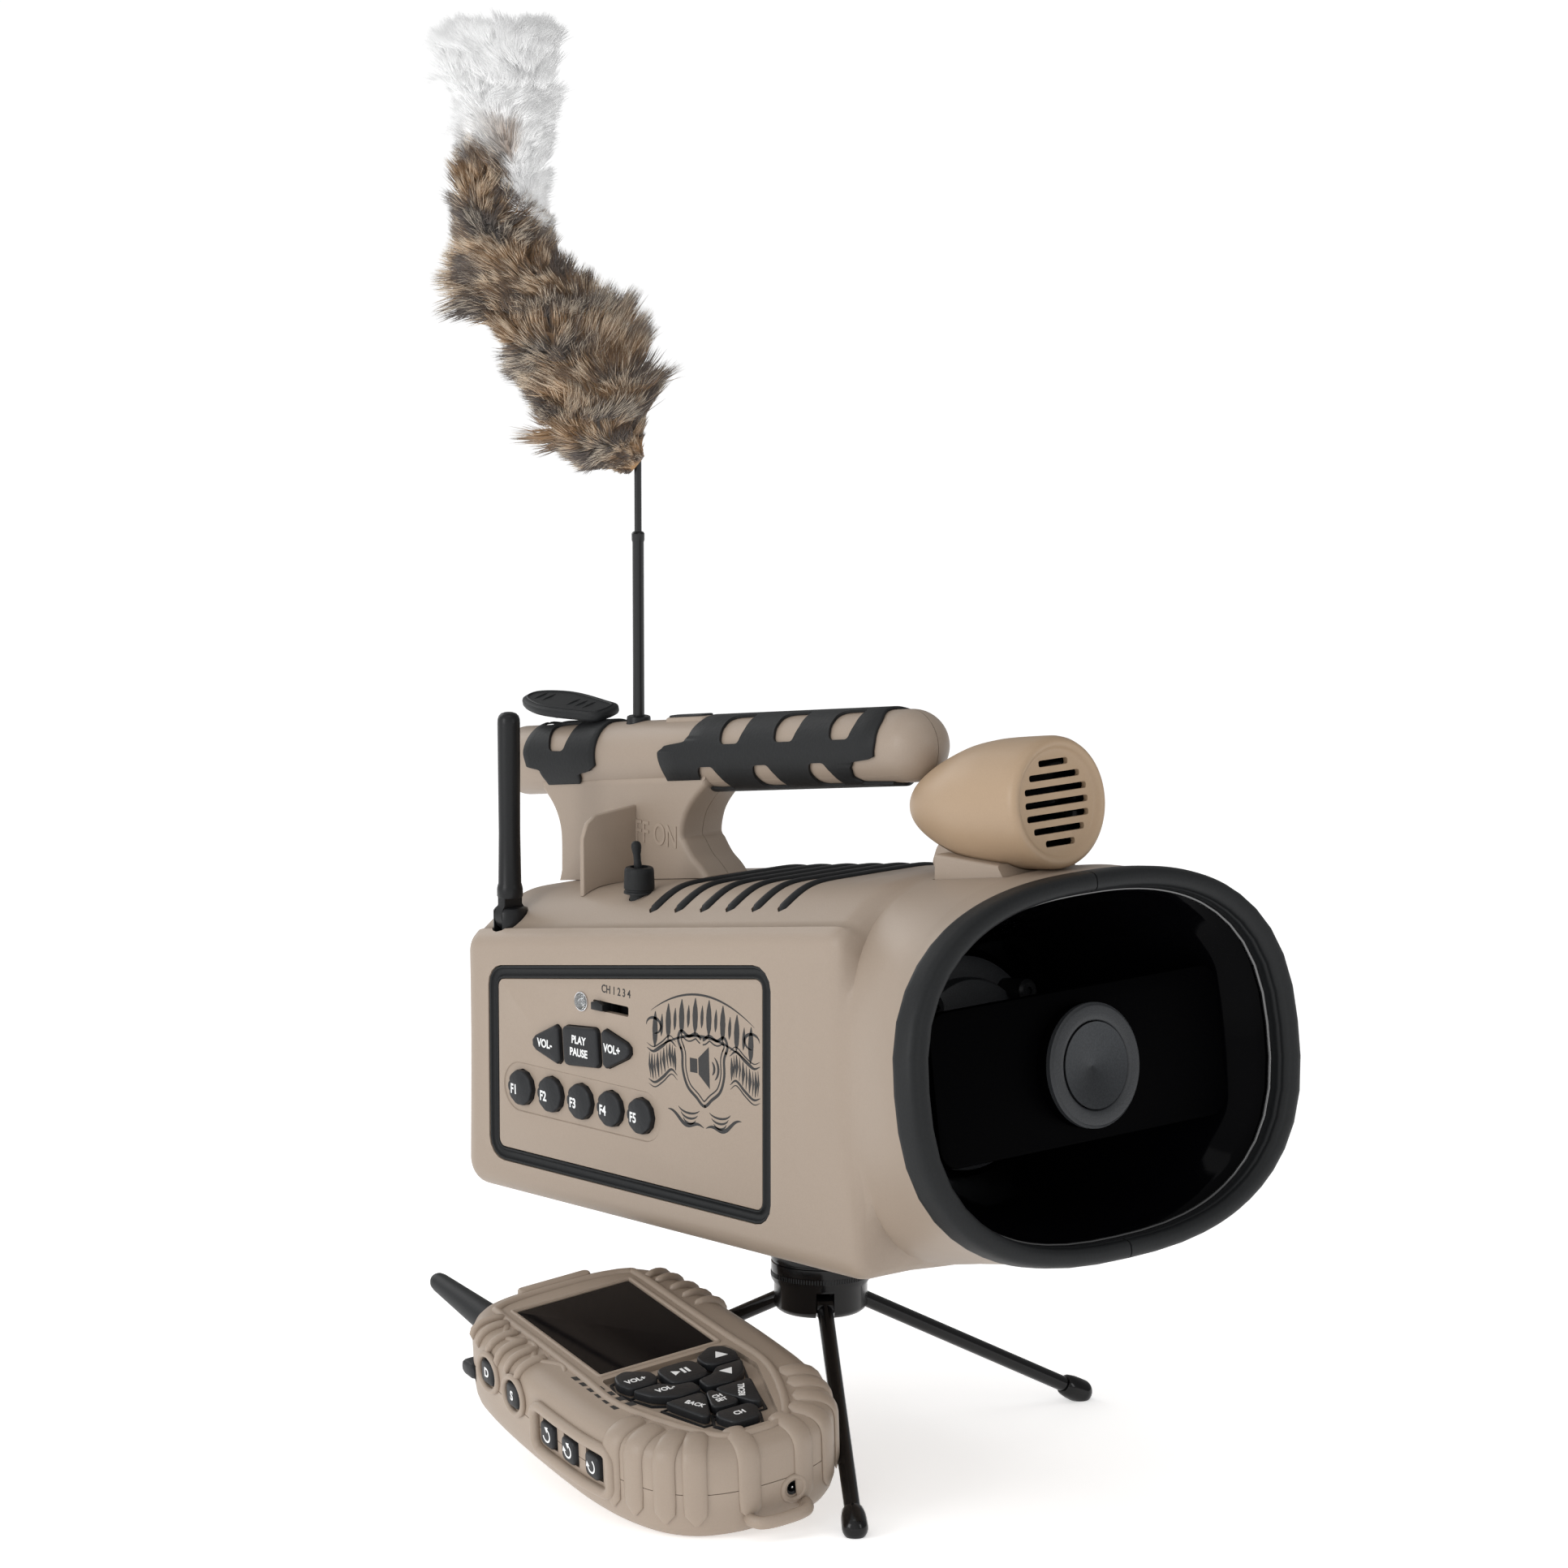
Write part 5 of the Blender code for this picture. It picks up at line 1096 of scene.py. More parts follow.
def make_grips():
    rear_rows = ((0, -62), (20, -62.5), (55, -64.5), (66, -66.5), (73, -79), (82, -82.4),
                 (120, -81), (160, -84.5), (180, -86))
    front_rows = ((0, 44.5), (12, 45.3), (45, 48.2), (75, 47.8), (100, 46.5), (103, 44),
                  (107, 33.5), (120, 31), (135, 29.6), (150, 31.5), (156, 47), (180, 49))
    front = sleeve("front", lambda a: stepped(from_top(a), rear_rows),
                   lambda a: stepped(from_top(a), front_rows))
    cutters = []
    for k in range(3):
        x = -45.4 + 32.6 * k
        for outline in both_sides(window([(x, 106), (x + 14.6, 103), (x + 14.4, 140),
                                          (x + 12.4, 163), (x + 1.6, 163), (x, 140)],
                                         [4.5, 2.0, 6, 2.4, 2.8, 8])):
            cutters.append(wrapped(outline, 13, 19))
        x = -60.6 + 33.3 * k
        for outline in both_sides(window([(x + 2.4, 196), (x + 10.6, 196), (x + 13, 213),
                                          (x + 15.5, 246), (x + 1.4, 246), (x, 213)],
                                         [2.6, 2.4, 8, 2.0, 4.0, 8])):
            cutters.append(wrapped(outline, 13, 19))
    instead(cut(front, post_clearance(), *cutters), "grip_front", GRIP)

    back_rows = ((0, -167), (70, -168.4), (95, -166.5), (103, -158.5), (125, -157),
                 (160, -154.6), (180, -154))
    fore_rows = ((0, -123.5), (60, -122.6), (98, -122.4), (105, -125.5), (112, -133.8),
                 (150, -138.8), (180, -140))
    rear = sleeve("rear", lambda a: stepped(from_top(a), back_rows),
                  lambda a: stepped(from_top(a), fore_rows))
    cutters = [socket_well()]
    for outline in both_sides(window([(-156.8, 106), (-140.4, 103), (-140.6, 140), (-142, 164),
                                      (-151, 163), (-153.6, 140)], [4.5, 2.0, 6, 2.4, 2.8, 8])):
        cutters.append(wrapped(outline, 13, 19))
    instead(cut(rear, post_clearance(), *cutters), "grip_rear", GRIP)


def make_plug_cap():
    """Rubber leaf over the sockets on the handle's rear end, standing half open."""
    hinge_z = handle_z(CAP_HINGE_X) + GRIP_OUTER + 2.4
    lift = radians(9)
    leaf_frame = (Matrix.Translation((CAP_HINGE_X, 0, hinge_z))
                  @ Matrix.Rotation(lift - PITCH, 4, "Y") @ Matrix.Rotation(radians(13), 4, "X"))
    leaf = [(0, -6), (0, 6), (-12, 9), (-30, 11), (-42, 9), (-50, 5), (-52, 0),
            (-50, -5), (-42, -9), (-30, -11), (-12, -9)]
    outline = [tuple(p) for p in smooth(leaf, 6, closed=True)]
    body = stacked("leaf", outline, ((1.6, -1.9), (0.5, -1.5), (0, -0.6), (0, 1.0), (0.3, 1.7),
                                     (1.0, 2.1), (2.2, 2.3)), leaf_frame)
    rim = tube("rim", [leaf_frame @ Vector((x, y, 2.1)) for x, y in grown(outline, -2.6)],
               0.7, 8, closed=True)
    marks = [tube("mark", [leaf_frame @ Vector((x, y, 2.2)) for y in (-4.5, -1.5, 1.5, 4.5)],
                  0.65, 8, taper=0.4) for x in (-12, -17, -22, -38, -43)]
    plug = rod_between("plug", leaf_frame @ Vector((-CAP_PLUG_REACH, 0, -4.4)),
                       leaf_frame @ Vector((-CAP_PLUG_REACH, 0, 0)), 4.6)
    instead(together("cap", [body, rim, plug] + marks), "plug_cap", RUBBER)


# ---------------------------------------------------------------- tweeter
def make_tweeter():
    forward = Vector((cos(PITCH), 0, sin(PITCH)))
    nose = [(25.9, -16), (25.7, -24), (25.2, -31), (23.6, -42), (20.4, -53), (16.6, -63),
            (12.0, -72), (7.6, -77.6), (3.4, -80.4), (0.0, -TWEETER_LENGTH)]
    nose = [(p.x, p.y) for p in smooth(nose, 4)]
    nose[-1] = (0, -TWEETER_LENGTH)
    lip = [(0, -2.4), (12, -2.4), (19.6, -2.5), (20.6, -2.2), (21.4, -1.3), (22.2, -0.5),
           (23.2, -0.1), (24.2, -0.3), (25.1, -1.1), (25.7, -2.4), (26, -4.2), (26, -9)]
    outer = lip + nose
    hollow = rectangle(0, -4.6, 21.5, -30)
    shell = cut(turned("shell", outer, 128, TWEETER_FACE, forward),
                turned("hollow", hollow, 64, TWEETER_FACE, forward))
    slots = []
    for k in range(7):
        up = (k - 3) * 5.2
        half = sqrt(max(1.0, 17.5 ** 2 - up ** 2)) * (0.97 if k % 2 else 1.0)
        slot = rounded_outline(rectangle(-half, up - 1.3, half, up + 1.3), 1.0, 5)
        face = pitched(*TWEETER_FACE) @ Matrix(((0, 0, 1, 0), (1, 0, 0, 0), (0, 1, 0, 0),
                                                (0, 0, 0, 1)))
        slots.append(plate("slot", slot, -12, 4, face))
    drain = rod_between("drain", TWEETER_FACE + forward * -18 + Vector((0, 0, -30)),
                        TWEETER_FACE + forward * -18, 1.5)
    instead(cut(shell, drain, *slots), "tweeter_housing", AMBER)

    driver = [(0, -7.2), (4, -7.6), (9, -9.2), (14, -10.0), (17.4, -8.4), (19.5, -7.5),
              (20.8, -9), (20.8, -12), (13, -26), (0, -26)]
    instead(turned("driver", driver, 64, TWEETER_FACE, forward), "tweeter_driver", GLOSS)

    low, high = TWEETER_BLOCK
    block = box("block", low, (high.x, high.y, deck_z(105) + 7), 1.5, 4)
    front_cut = moved(box("bevel", (0, -30, -20), (30, 30, 20)),
                      Matrix.Translation((124, 0, 257)) @ Matrix.Rotation(radians(-38), 4, "Y"))
    neck = [(76, deck_z(76) + 2.6), (136, deck_z(136) + 2.6), (120, 275), (92, 272), (80, 262)]
    neck = rounded_outline(neck, [3, 3, 6, 6, 8], 6)
    clear = [(r + GAP if r else 0, z) for r, z in outer[10:]]
    clear = [(0, 2), (TWEETER_RADIUS + GAP, 2)] + clear[:-1] + [(0, -TWEETER_LENGTH - GAP)]
    bullet = turned("bullet", clear, 96, TWEETER_FACE, forward)
    mount = cut(join(block, across_plate("neck", neck, 13, 1.6)), bullet, front_cut)
    instead(mount, "tweeter_mount", TAN)


# ---------------------------------------------------------------- decoy

def fur_material():
    """Hair with its colour from the mesh; every hair glows a little and pale hair most, a painted glow
    that brightens the fur in place of light.
    """
    made, tree, shader = new_material("fur")
    tone = tree.nodes.new("ShaderNodeAttribute")
    tone.attribute_name = "fur_colour"
    shade = map_of(tree, noise_of(tree, 160.0, 4.0), 0.72, 1.2)
    final = mix_of(tree, tone.outputs["Color"], shade, 1.0, "MULTIPLY")
    grey = tree.nodes.new("ShaderNodeRGBToBW")
    tree.links.new(final, grey.inputs["Color"])
    # Emission strength rising with the hair's paleness: a painted glow, not light passing through the
    # hair.
    painted_glow = map_of(tree, grey.outputs["Val"], 0.06, 0.165, 0.5, 0.9)
    for source, target in ((final, "Base Color"), (final, "Emission Color"),
                           (painted_glow, "Emission Strength")):
        tree.links.new(source, shader.inputs[target])
    for target, value in (("Roughness", 0.62), ("Sheen Weight", 0.25), ("Sheen Roughness", 0.4)):
        shader.inputs[target].default_value = value
    return made


def tail_rows():
    rows = np.array(smooth4(TAIL_SPINE, 8))
    base = np.array((ROD_X, 0, TAIL_BASE_Z))
    centres = base + rows[:, :1] * np.array(TAIL_ACROSS) + rows[:, 1:2] * np.array((0, 0, 1.0))
    runs = np.gradient(centres, axis=0)
    runs /= np.linalg.norm(runs, axis=1)[:, None]
    return centres, runs, rows[:, 2]


def fur_tone(part, angle, along, chance, drift):
    """Colour of a hair: part of the way up the tail, direction round it, and place along it."""
    edge = 0.675 - 0.15 * np.clip(np.cos(angle) * 2.0 - 0.5, 0, 1) + 0.025 * drift
    pale = 1 / (1 + np.exp(-(part - edge) / 0.012))
    warm = np.clip(0.5 + 1.0 * drift + 1.6 * (chance - 0.5), 0, 1)[:, None]
    base = FUR_GREY * (1 - warm) + FUR_GOLD * warm
    tip = np.where((chance > 0.6)[:, None], FUR_CREAM, FUR_DARK)
    share = np.clip((along - 0.45) / 0.5, 0, 1)[:, None] * 0.85
    brown = base * (1 - share) + tip * share
    brown = brown * (0.6 + 0.4 * np.clip(along / 0.4, 0, 1) + 0.5 * (chance % 0.23 - 0.1))[:, None]
    snow = FUR_WHITE * (0.88 + 0.10 * np.clip(along / 0.4, 0, 1))[:, None]
    return brown * (1 - pale[:, None]) + snow * pale[:, None]


def lumpy(part, angle):
    """Slow wander over the tail, from -1 to 1, for tufts and patches of colour."""
    return (np.sin(part * 41 + 2.1 * np.sin(angle + 0.6)) * np.cos(2 * angle + part * 13)
            + 0.6 * np.sin(part * 87 + 3 * angle + 1.3)) / 1.6


def interpolated(where, steps, table):
    return np.stack([np.interp(where, steps, table[:, i]) for i in range(table.shape[1])], 1)


def tail_frame(where, turn, steps, runs):
    """Direction along the tail and direction straight out of it."""
    run = interpolated(where, steps, runs)
    run /= np.linalg.norm(run, axis=1)[:, None]
    side = np.tile(np.array(TAIL_SIDE), (len(where), 1))
    across = np.cross(side, run)
    across *= np.sign(across @ np.array(TAIL_ACROSS))[:, None]
    return run, across * np.cos(turn)[:, None] + side * np.sin(turn)[:, None]


def make_fur(number, first, last, look):
    """Hairs rooted between two parts of the tail's length, drawn together in tufts."""
    rng = np.random.default_rng(100 + number)
    centres, runs, radii = tail_rows()
    steps = np.arange(len(radii)) / (len(radii) - 1)
    part = first + (last - first) * rng.random(HAIRS)
    angle = 2 * pi * rng.random(HAIRS)
    chance = rng.random(HAIRS)
    tuft_part = first + (last - first) * rng.random(TUFTS)
    tuft_angle = 2 * pi * rng.random(TUFTS)
    tuft_push = rng.normal(size=(TUFTS, 3))
    tuft_scale = rng.uniform(0.75, 1.25, TUFTS)
    nearest = np.empty(HAIRS, int)
    for low in range(0, HAIRS, 2000):
        block = slice(low, low + 2000)
        gap = (part[block, None] - tuft_part[None]) * TAIL_LENGTH
        turn = (angle[block, None] - tuft_angle[None] + pi) % (2 * pi) - pi
        nearest[block] = np.argmin(gap ** 2 + (turn * 17) ** 2, 1)

    def headed(where, turn, push, scale):
        """Roots at mid radius, and where tips end up: just outside the tail's own radius."""
        run, out = tail_frame(where, turn, steps, runs)
        side = np.cross(run, out)
        radius = np.interp(where, steps, radii)
        drift = lumpy(where, turn)
        swirl = side * (0.55 * np.sin(where * 31 + 2 * turn))[:, None]
        snow = np.clip((where - 0.70) / 0.05, 0, 1)
        heading = (out * (0.72 - 0.1 * snow)[:, None] + run * (0.55 + 0.5 * drift
                                                                + 0.25 * snow)[:, None]
                   + swirl + push * 0.22)
        heading /= np.linalg.norm(heading, axis=1)[:, None]
        root = interpolated(where, steps, centres) + out * (radius * 0.5)[:, None]
        length = (radius * 0.62 + 3.0 + 1.5 * snow) * scale
        extra = np.zeros(len(where))
        for spot, around, more, reach in SPIKES:
            bend = (turn - around + pi) % (2 * pi) - pi
            away = ((where - spot) * TAIL_LENGTH / reach) ** 2 + (bend * radius / reach) ** 2
            extra += more * np.exp(-away)
        length = length + extra
        heading = heading + out * np.clip(extra / 8, 0, 1.5)[:, None]
        heading /= np.linalg.norm(heading, axis=1)[:, None]
        near_base = np.clip(0.4 + where / 0.15, 0.4, 1)
        return out, root, heading, np.maximum(length, 4) * near_base

    out, root, heading, length = headed(part, angle, rng.normal(size=(HAIRS, 3)) * 0.9,
                                             rng.uniform(0.8, 1.15, HAIRS))
    _, tuft_root, tuft_heading, tuft_length = headed(tuft_part, tuft_angle, tuft_push, tuft_scale)
    goal = tuft_root + tuft_heading * (tuft_length * 1.05)[:, None]
    tip = (root + heading * length[:, None]) * 0.52 + goal[nearest] * 0.48
    bend = root + out * (length * 0.32)[:, None] + (tip - root) * 0.32
    for points in (root, bend, tip):
        points[:, 2] -= (1 - ROUNDED_SHARE) * np.maximum(points[:, 2] - ROUNDED_ABOVE, 0)
    levels = [root * (1 - t) ** 2 + bend * 2 * t * (1 - t) + tip * t ** 2 for t in (0.0, 0.55, 1.0)]
    lean = np.cross(heading, rng.normal(size=(HAIRS, 3)))
    lean /= np.linalg.norm(lean, axis=1)[:, None]
    other = np.cross(heading, lean)
    width = rng.uniform(0.15, 0.28, HAIRS)
    tuft_tone = rng.random(TUFTS)
    chance = 0.45 * chance + 0.55 * tuft_tone[nearest]
    vertices = np.empty((HAIRS, 7, 3))
    colours = np.ones((HAIRS, 7, 4))
    drift = lumpy(part, angle)
    for level, (share, along) in enumerate(((1.0, 0.1), (0.8, 0.6))):
        tone = fur_tone(part, angle, np.full(HAIRS, along), chance, drift)
        for corner in range(3):
            turn = 2 * pi * corner / 3
            spot = level * 3 + corner
            vertices[:, spot] = levels[level] + (lean * cos(turn) + other * sin(turn)) * (
                width * share)[:, None]
            colours[:, spot, :3] = tone
    vertices[:, 6] = levels[2]
    colours[:, 6, :3] = fur_tone(part, angle, np.ones(HAIRS), chance, drift)
    quads = [(c, (c + 1) % 3, 3 + (c + 1) % 3, 3 + c) for c in range(3)]
    triangles = [(3 + c, 3 + (c + 1) % 3, 6) for c in range(3)] + [(2, 1, 0)]
    faces = [[i * 7 + v for v in face] for i in range(HAIRS) for face in quads + triangles]
    mesh = bpy.data.meshes.new("fur")
    mesh.from_pydata(vertices.reshape(-1, 3).tolist(), [], faces)
    tint = mesh.color_attributes.new("fur_colour", "FLOAT_COLOR", "POINT")
    tint.data.foreach_set("color", colours.reshape(-1))
    return detail(new_object("fur", mesh), f"tail_fur_{number}", look, "decoy", 180)


def make_tail():
    look = fur_material()
    centres, runs, radii = tail_rows()
    loops = []
    for centre, run, radius in zip(centres, runs, radii):
        other = Vector(run).cross(TAIL_SIDE).normalized()
        loops.append([Vector(centre) + (TAIL_SIDE * cos(a) + other * sin(a)) * radius * 0.62
                      for a in around(40)])
    core = loft("core", loops)
    hole = rod_between("hole", (ROD_X, 0, TAIL_BASE_Z - 10), (ROD_X, 0, TAIL_BASE_Z + 40.5),
                       WIRE_RADIUS + GAP)
    core = cut(core, hole)
    places = np.array([v.co for v in core.data.vertices])
    near = np.argmin(((places[:, None] - centres[None]) ** 2).sum(2), 1)
    offset = places - centres[near]
    angle = np.arctan2(offset @ np.array(TAIL_SIDE), offset @ np.array(TAIL_ACROSS))
    part = near / (len(radii) - 1)
    colours = np.ones((len(places), 4))
    colours[:, :3] = fur_tone(part, angle, np.full(len(places), 0.3),
                              np.full(len(places), 0.4), lumpy(part, angle))
    tint = core.data.color_attributes.new("fur_colour", "FLOAT_COLOR", "POINT")
    tint.data.foreach_set("color", colours.reshape(-1))
    for vertex in core.data.vertices:
        vertex.co.z -= (1 - ROUNDED_SHARE) * max(vertex.co.z - ROUNDED_ABOVE, 0)
    core = instead(core, "decoy_tail", look, 60)
    for number, (first, last) in enumerate(zip(FUR_ENDS, FUR_ENDS[1:]), 1):
        make_fur(number, max(0, first - 0.01), last + 0.01, look)


def make_decoy():
    top = handle_z(ROD_X) + HANDLE_RADIUS
    boss = [(0, top + 2.4), (4.2, top + 2.4), (4.8, top + 2.1), (5.0, top + 1.4), (5.0, top - 18),
            (0, top - 18)]
    bore = rod_between("bore", (ROD_X, 0, top - 12), (ROD_X, 0, top + 5), TUBE_RADIUS + GAP)
    instead(cut(turned("boss", boss, 64, (ROD_X, 0, 0)), bore), "decoy_socket", BLACK)

    low = top - 11.5
    rod = [(0, TAIL_BASE_Z + 40), (WIRE_RADIUS, TAIL_BASE_Z + 40), (WIRE_RADIUS, TUBE_TOP + 1.5),
           (2.2, TUBE_TOP + 1.2), (2.7, TUBE_TOP + 0.5), (2.7, TUBE_TOP - 2.2),
           (TUBE_RADIUS, TUBE_TOP - 3), (TUBE_RADIUS, low), (0, low)]
    instead(turned("rod", rod, 40, (ROD_X, 0, 0)), "decoy_rod", ROD)
    make_tail()


# ---------------------------------------------------------------- switch and antenna
def make_toggle():
    base = crown_drop(-TOGGLE_Y) + deck_z(TOGGLE_X)
    skirt = [(0, base + 11.6), (4.9, base + 11.6), (5.6, base + 11.3), (6.0, base + 10.6),
             (6.1, base + 9.6), (6.3, base + 4.0), (6.3, base + 2.8), (5.9, base + 2.5),
             (5.9, base + 1.9), (6.3, base + 1.6), (6.4, base + 0.8), (3.9, base + 0.8),
             (3.9, base - 8), (0, base - 8)]
    body = turned("bushing", skirt, 64, (TOGGLE_X, TOGGLE_Y, 0))
    seat = rod_between("seat", (TOGGLE_X, TOGGLE_Y, base - 3), (TOGGLE_X, TOGGLE_Y, base + 12),
                       2.2, 3.9, 40)
    slab = deck_band("slab", TOGGLE_X - 20, TOGGLE_X + 20, 57, GAP, -2.4)
    hole = rod_between("hole", (TOGGLE_X, TOGGLE_Y, base - 15), (TOGGLE_X, TOGGLE_Y, base + 20), 4.2)
    instead(cut(body, seat, cut(slab, hole)), "toggle_bushing", RUBBER)

    pivot = base + 5
    lever = [(0, 17.2), (0.9, 17.05), (1.6, 16.6), (2.0, 15.8), (2.1, 14.6), (1.9, 13.2),
             (1.55, 11.6), (1.5, 9), (1.7, 6.8), (1.35, 4), (1.35, -6), (0, -6)]
    instead(turned("lever", lever, 40, (TOGGLE_X, TOGGLE_Y, pivot), (-0.12, 0, 1)),
            "toggle_lever", RUBBER)


def make_antenna():
    at = (ANTENNA_X, ANTENNA_Y, 0)
    low = ANTENNA_LEDGE
    knuckle = [(0, low + 14), (5.0, low + 14), (5.8, low + 13.8), (6.5, low + 13.2),
               (7.0, low + 12.3), (7.0, low + 4), (6.8, low + 3.6), (6.8, low + 3.0),
               (7.0, low + 2.6), (7.0, low - 7), (0, low - 7)]
    fork = box("fork", (ANTENNA_X - 2.6, ANTENNA_Y - 10, low + 3.5),
               (ANTENNA_X + 2.6, ANTENNA_Y + 10, low + 20))
    instead(cut(turned("knuckle", knuckle, 64, at), fork), "antenna_base", BLACK)

    whip = [(0, 295.5), (1.8, 295.4), (3.2, 294.9), (4.1, 294.0), (4.6, 292.6), (4.7, 291),
            (4.5, 245), (4.8, 224), (5.2, 222.6), (5.4, 221.5), (5.4, 218.6), (5.1, 218), (0, 218)]
    tongue = box("tongue", (ANTENNA_X - 2.3, ANTENNA_Y - 4.9, low + 10.5),
                 (ANTENNA_X + 2.3, ANTENNA_Y + 4.9, 220), 0.5, 3)
    eye = rod_between("eye", (ANTENNA_X - 2.25, ANTENNA_Y, low + 10.5),
                      (ANTENNA_X + 2.25, ANTENNA_Y, low + 10.5), 6.5, sides=64)
    instead(join(turned("whip", whip, 64, at), tongue, eye), "antenna_whip", BLACK)
    pin = rod_between("pin", (ANTENNA_X - 7.3, ANTENNA_Y, low + 10.5),
                      (ANTENNA_X - 6.2, ANTENNA_Y, low + 10.5), 1.5)
    detail(pin, "antenna_pin_head", METAL, "antenna_base")


# ---------------------------------------------------------------- side panel
def regular_outline(sides, radius, turn=0.0):
    return [(radius * cos(2 * pi * k / sides + turn), radius * sin(2 * pi * k / sides + turn))
            for k in range(sides)]


def key_places():
    """Each panel key: name, x, z, outline, tilt."""
    tilt = radians(4.9)
    left_arrow = rounded_outline([(-14.4, 0), (7.0, -8.2), (9.0, -6.6), (9.0, 6.6), (7.0, 8.2)],
                                 [3.4, 1.0, 0.6, 0.6, 1.0], 3)
    right_arrow = [(-x, y) for x, y in reversed(left_arrow)]
    wide = rounded_outline(rectangle(-11, -8.2, 11, 8.2), 2.4, 3)
    places = [("key_vol_minus", -95.2, 163.2, left_arrow, tilt),
              ("key_play_pause", -72.9, 165.2, wide, tilt),
              ("key_vol_plus", -50.6, 167.2, right_arrow, tilt)]
    for k in range(5):
        places.append((f"key_f{k + 1}", F_KEY_FIRST_X + F_KEY_STEP * k, F_KEY_Z,
                       regular_outline(12, F_KEY_RADIUS), 0.0))
    return places


def leg_frame(azimuth):
    """Frame at a leg's pivot: X points outwards, Y along the hinge pin, Z up."""
    return (Matrix.Rotation(radians(azimuth), 4, "Z")
            @ Matrix.Translation((LEG_PIVOT_RADIUS, 0, LEG_PIVOT_Z)))


def domed(outline, spot, low, high, rounding, crown=0.0, centre=(0, 0), skirt=0.8):
    """Key: a skirt behind the panel, upright sides, rounded edge and a crowned face."""
    levels = [(-skirt, low), (-skirt, PLATE_BACK - GAP), (0, PLATE_BACK - GAP)]
    levels += [(rounding * (1 - cos(radians(a))), high - rounding + rounding * sin(radians(a)))
               for a in (0, 20, 40, 60, 75, 90)]
    loops = [[spot @ Vector((x, y, z)) for x, y in grown(outline, -inset)] for inset, z in levels]
    if crown:
        edge = grown(outline, -rounding)
        for share in (0.85, 0.65, 0.4, 0.15):
            loops.append([spot @ Vector((centre[0] + (x - centre[0]) * share,
                                         centre[1] + (y - centre[1]) * share,
                                         high + crown * (1 - share ** 2))) for x, y in edge])
    return loft("key", loops)


def resampled(outline, step=0.8):
    """The outline with points added along its long straight stretches."""
    result = []
    for i, (x, y) in enumerate(outline):
        x1, y1 = outline[(i + 1) % len(outline)]
        count = max(1, int(sqrt((x1 - x) ** 2 + (y1 - y) ** 2) / step))
        result += [(x + (x1 - x) * k / count, y + (y1 - y) * k / count) for k in range(count)]
    return result


def f_key_outline():
    """Round key with shallow flats and two small notches on its rear edge."""
    points = []
    for k in range(96):
        angle = 2 * pi * k / 96
        radius = F_KEY_RADIUS - 0.10 * (1 - cos(10 * angle))
        for notch in (radians(162), radians(200)):
            radius -= 0.55 * max(0.0, 1 - abs(angle - notch) / 0.085)
        points.append((radius * cos(angle), radius * sin(angle)))
    return points


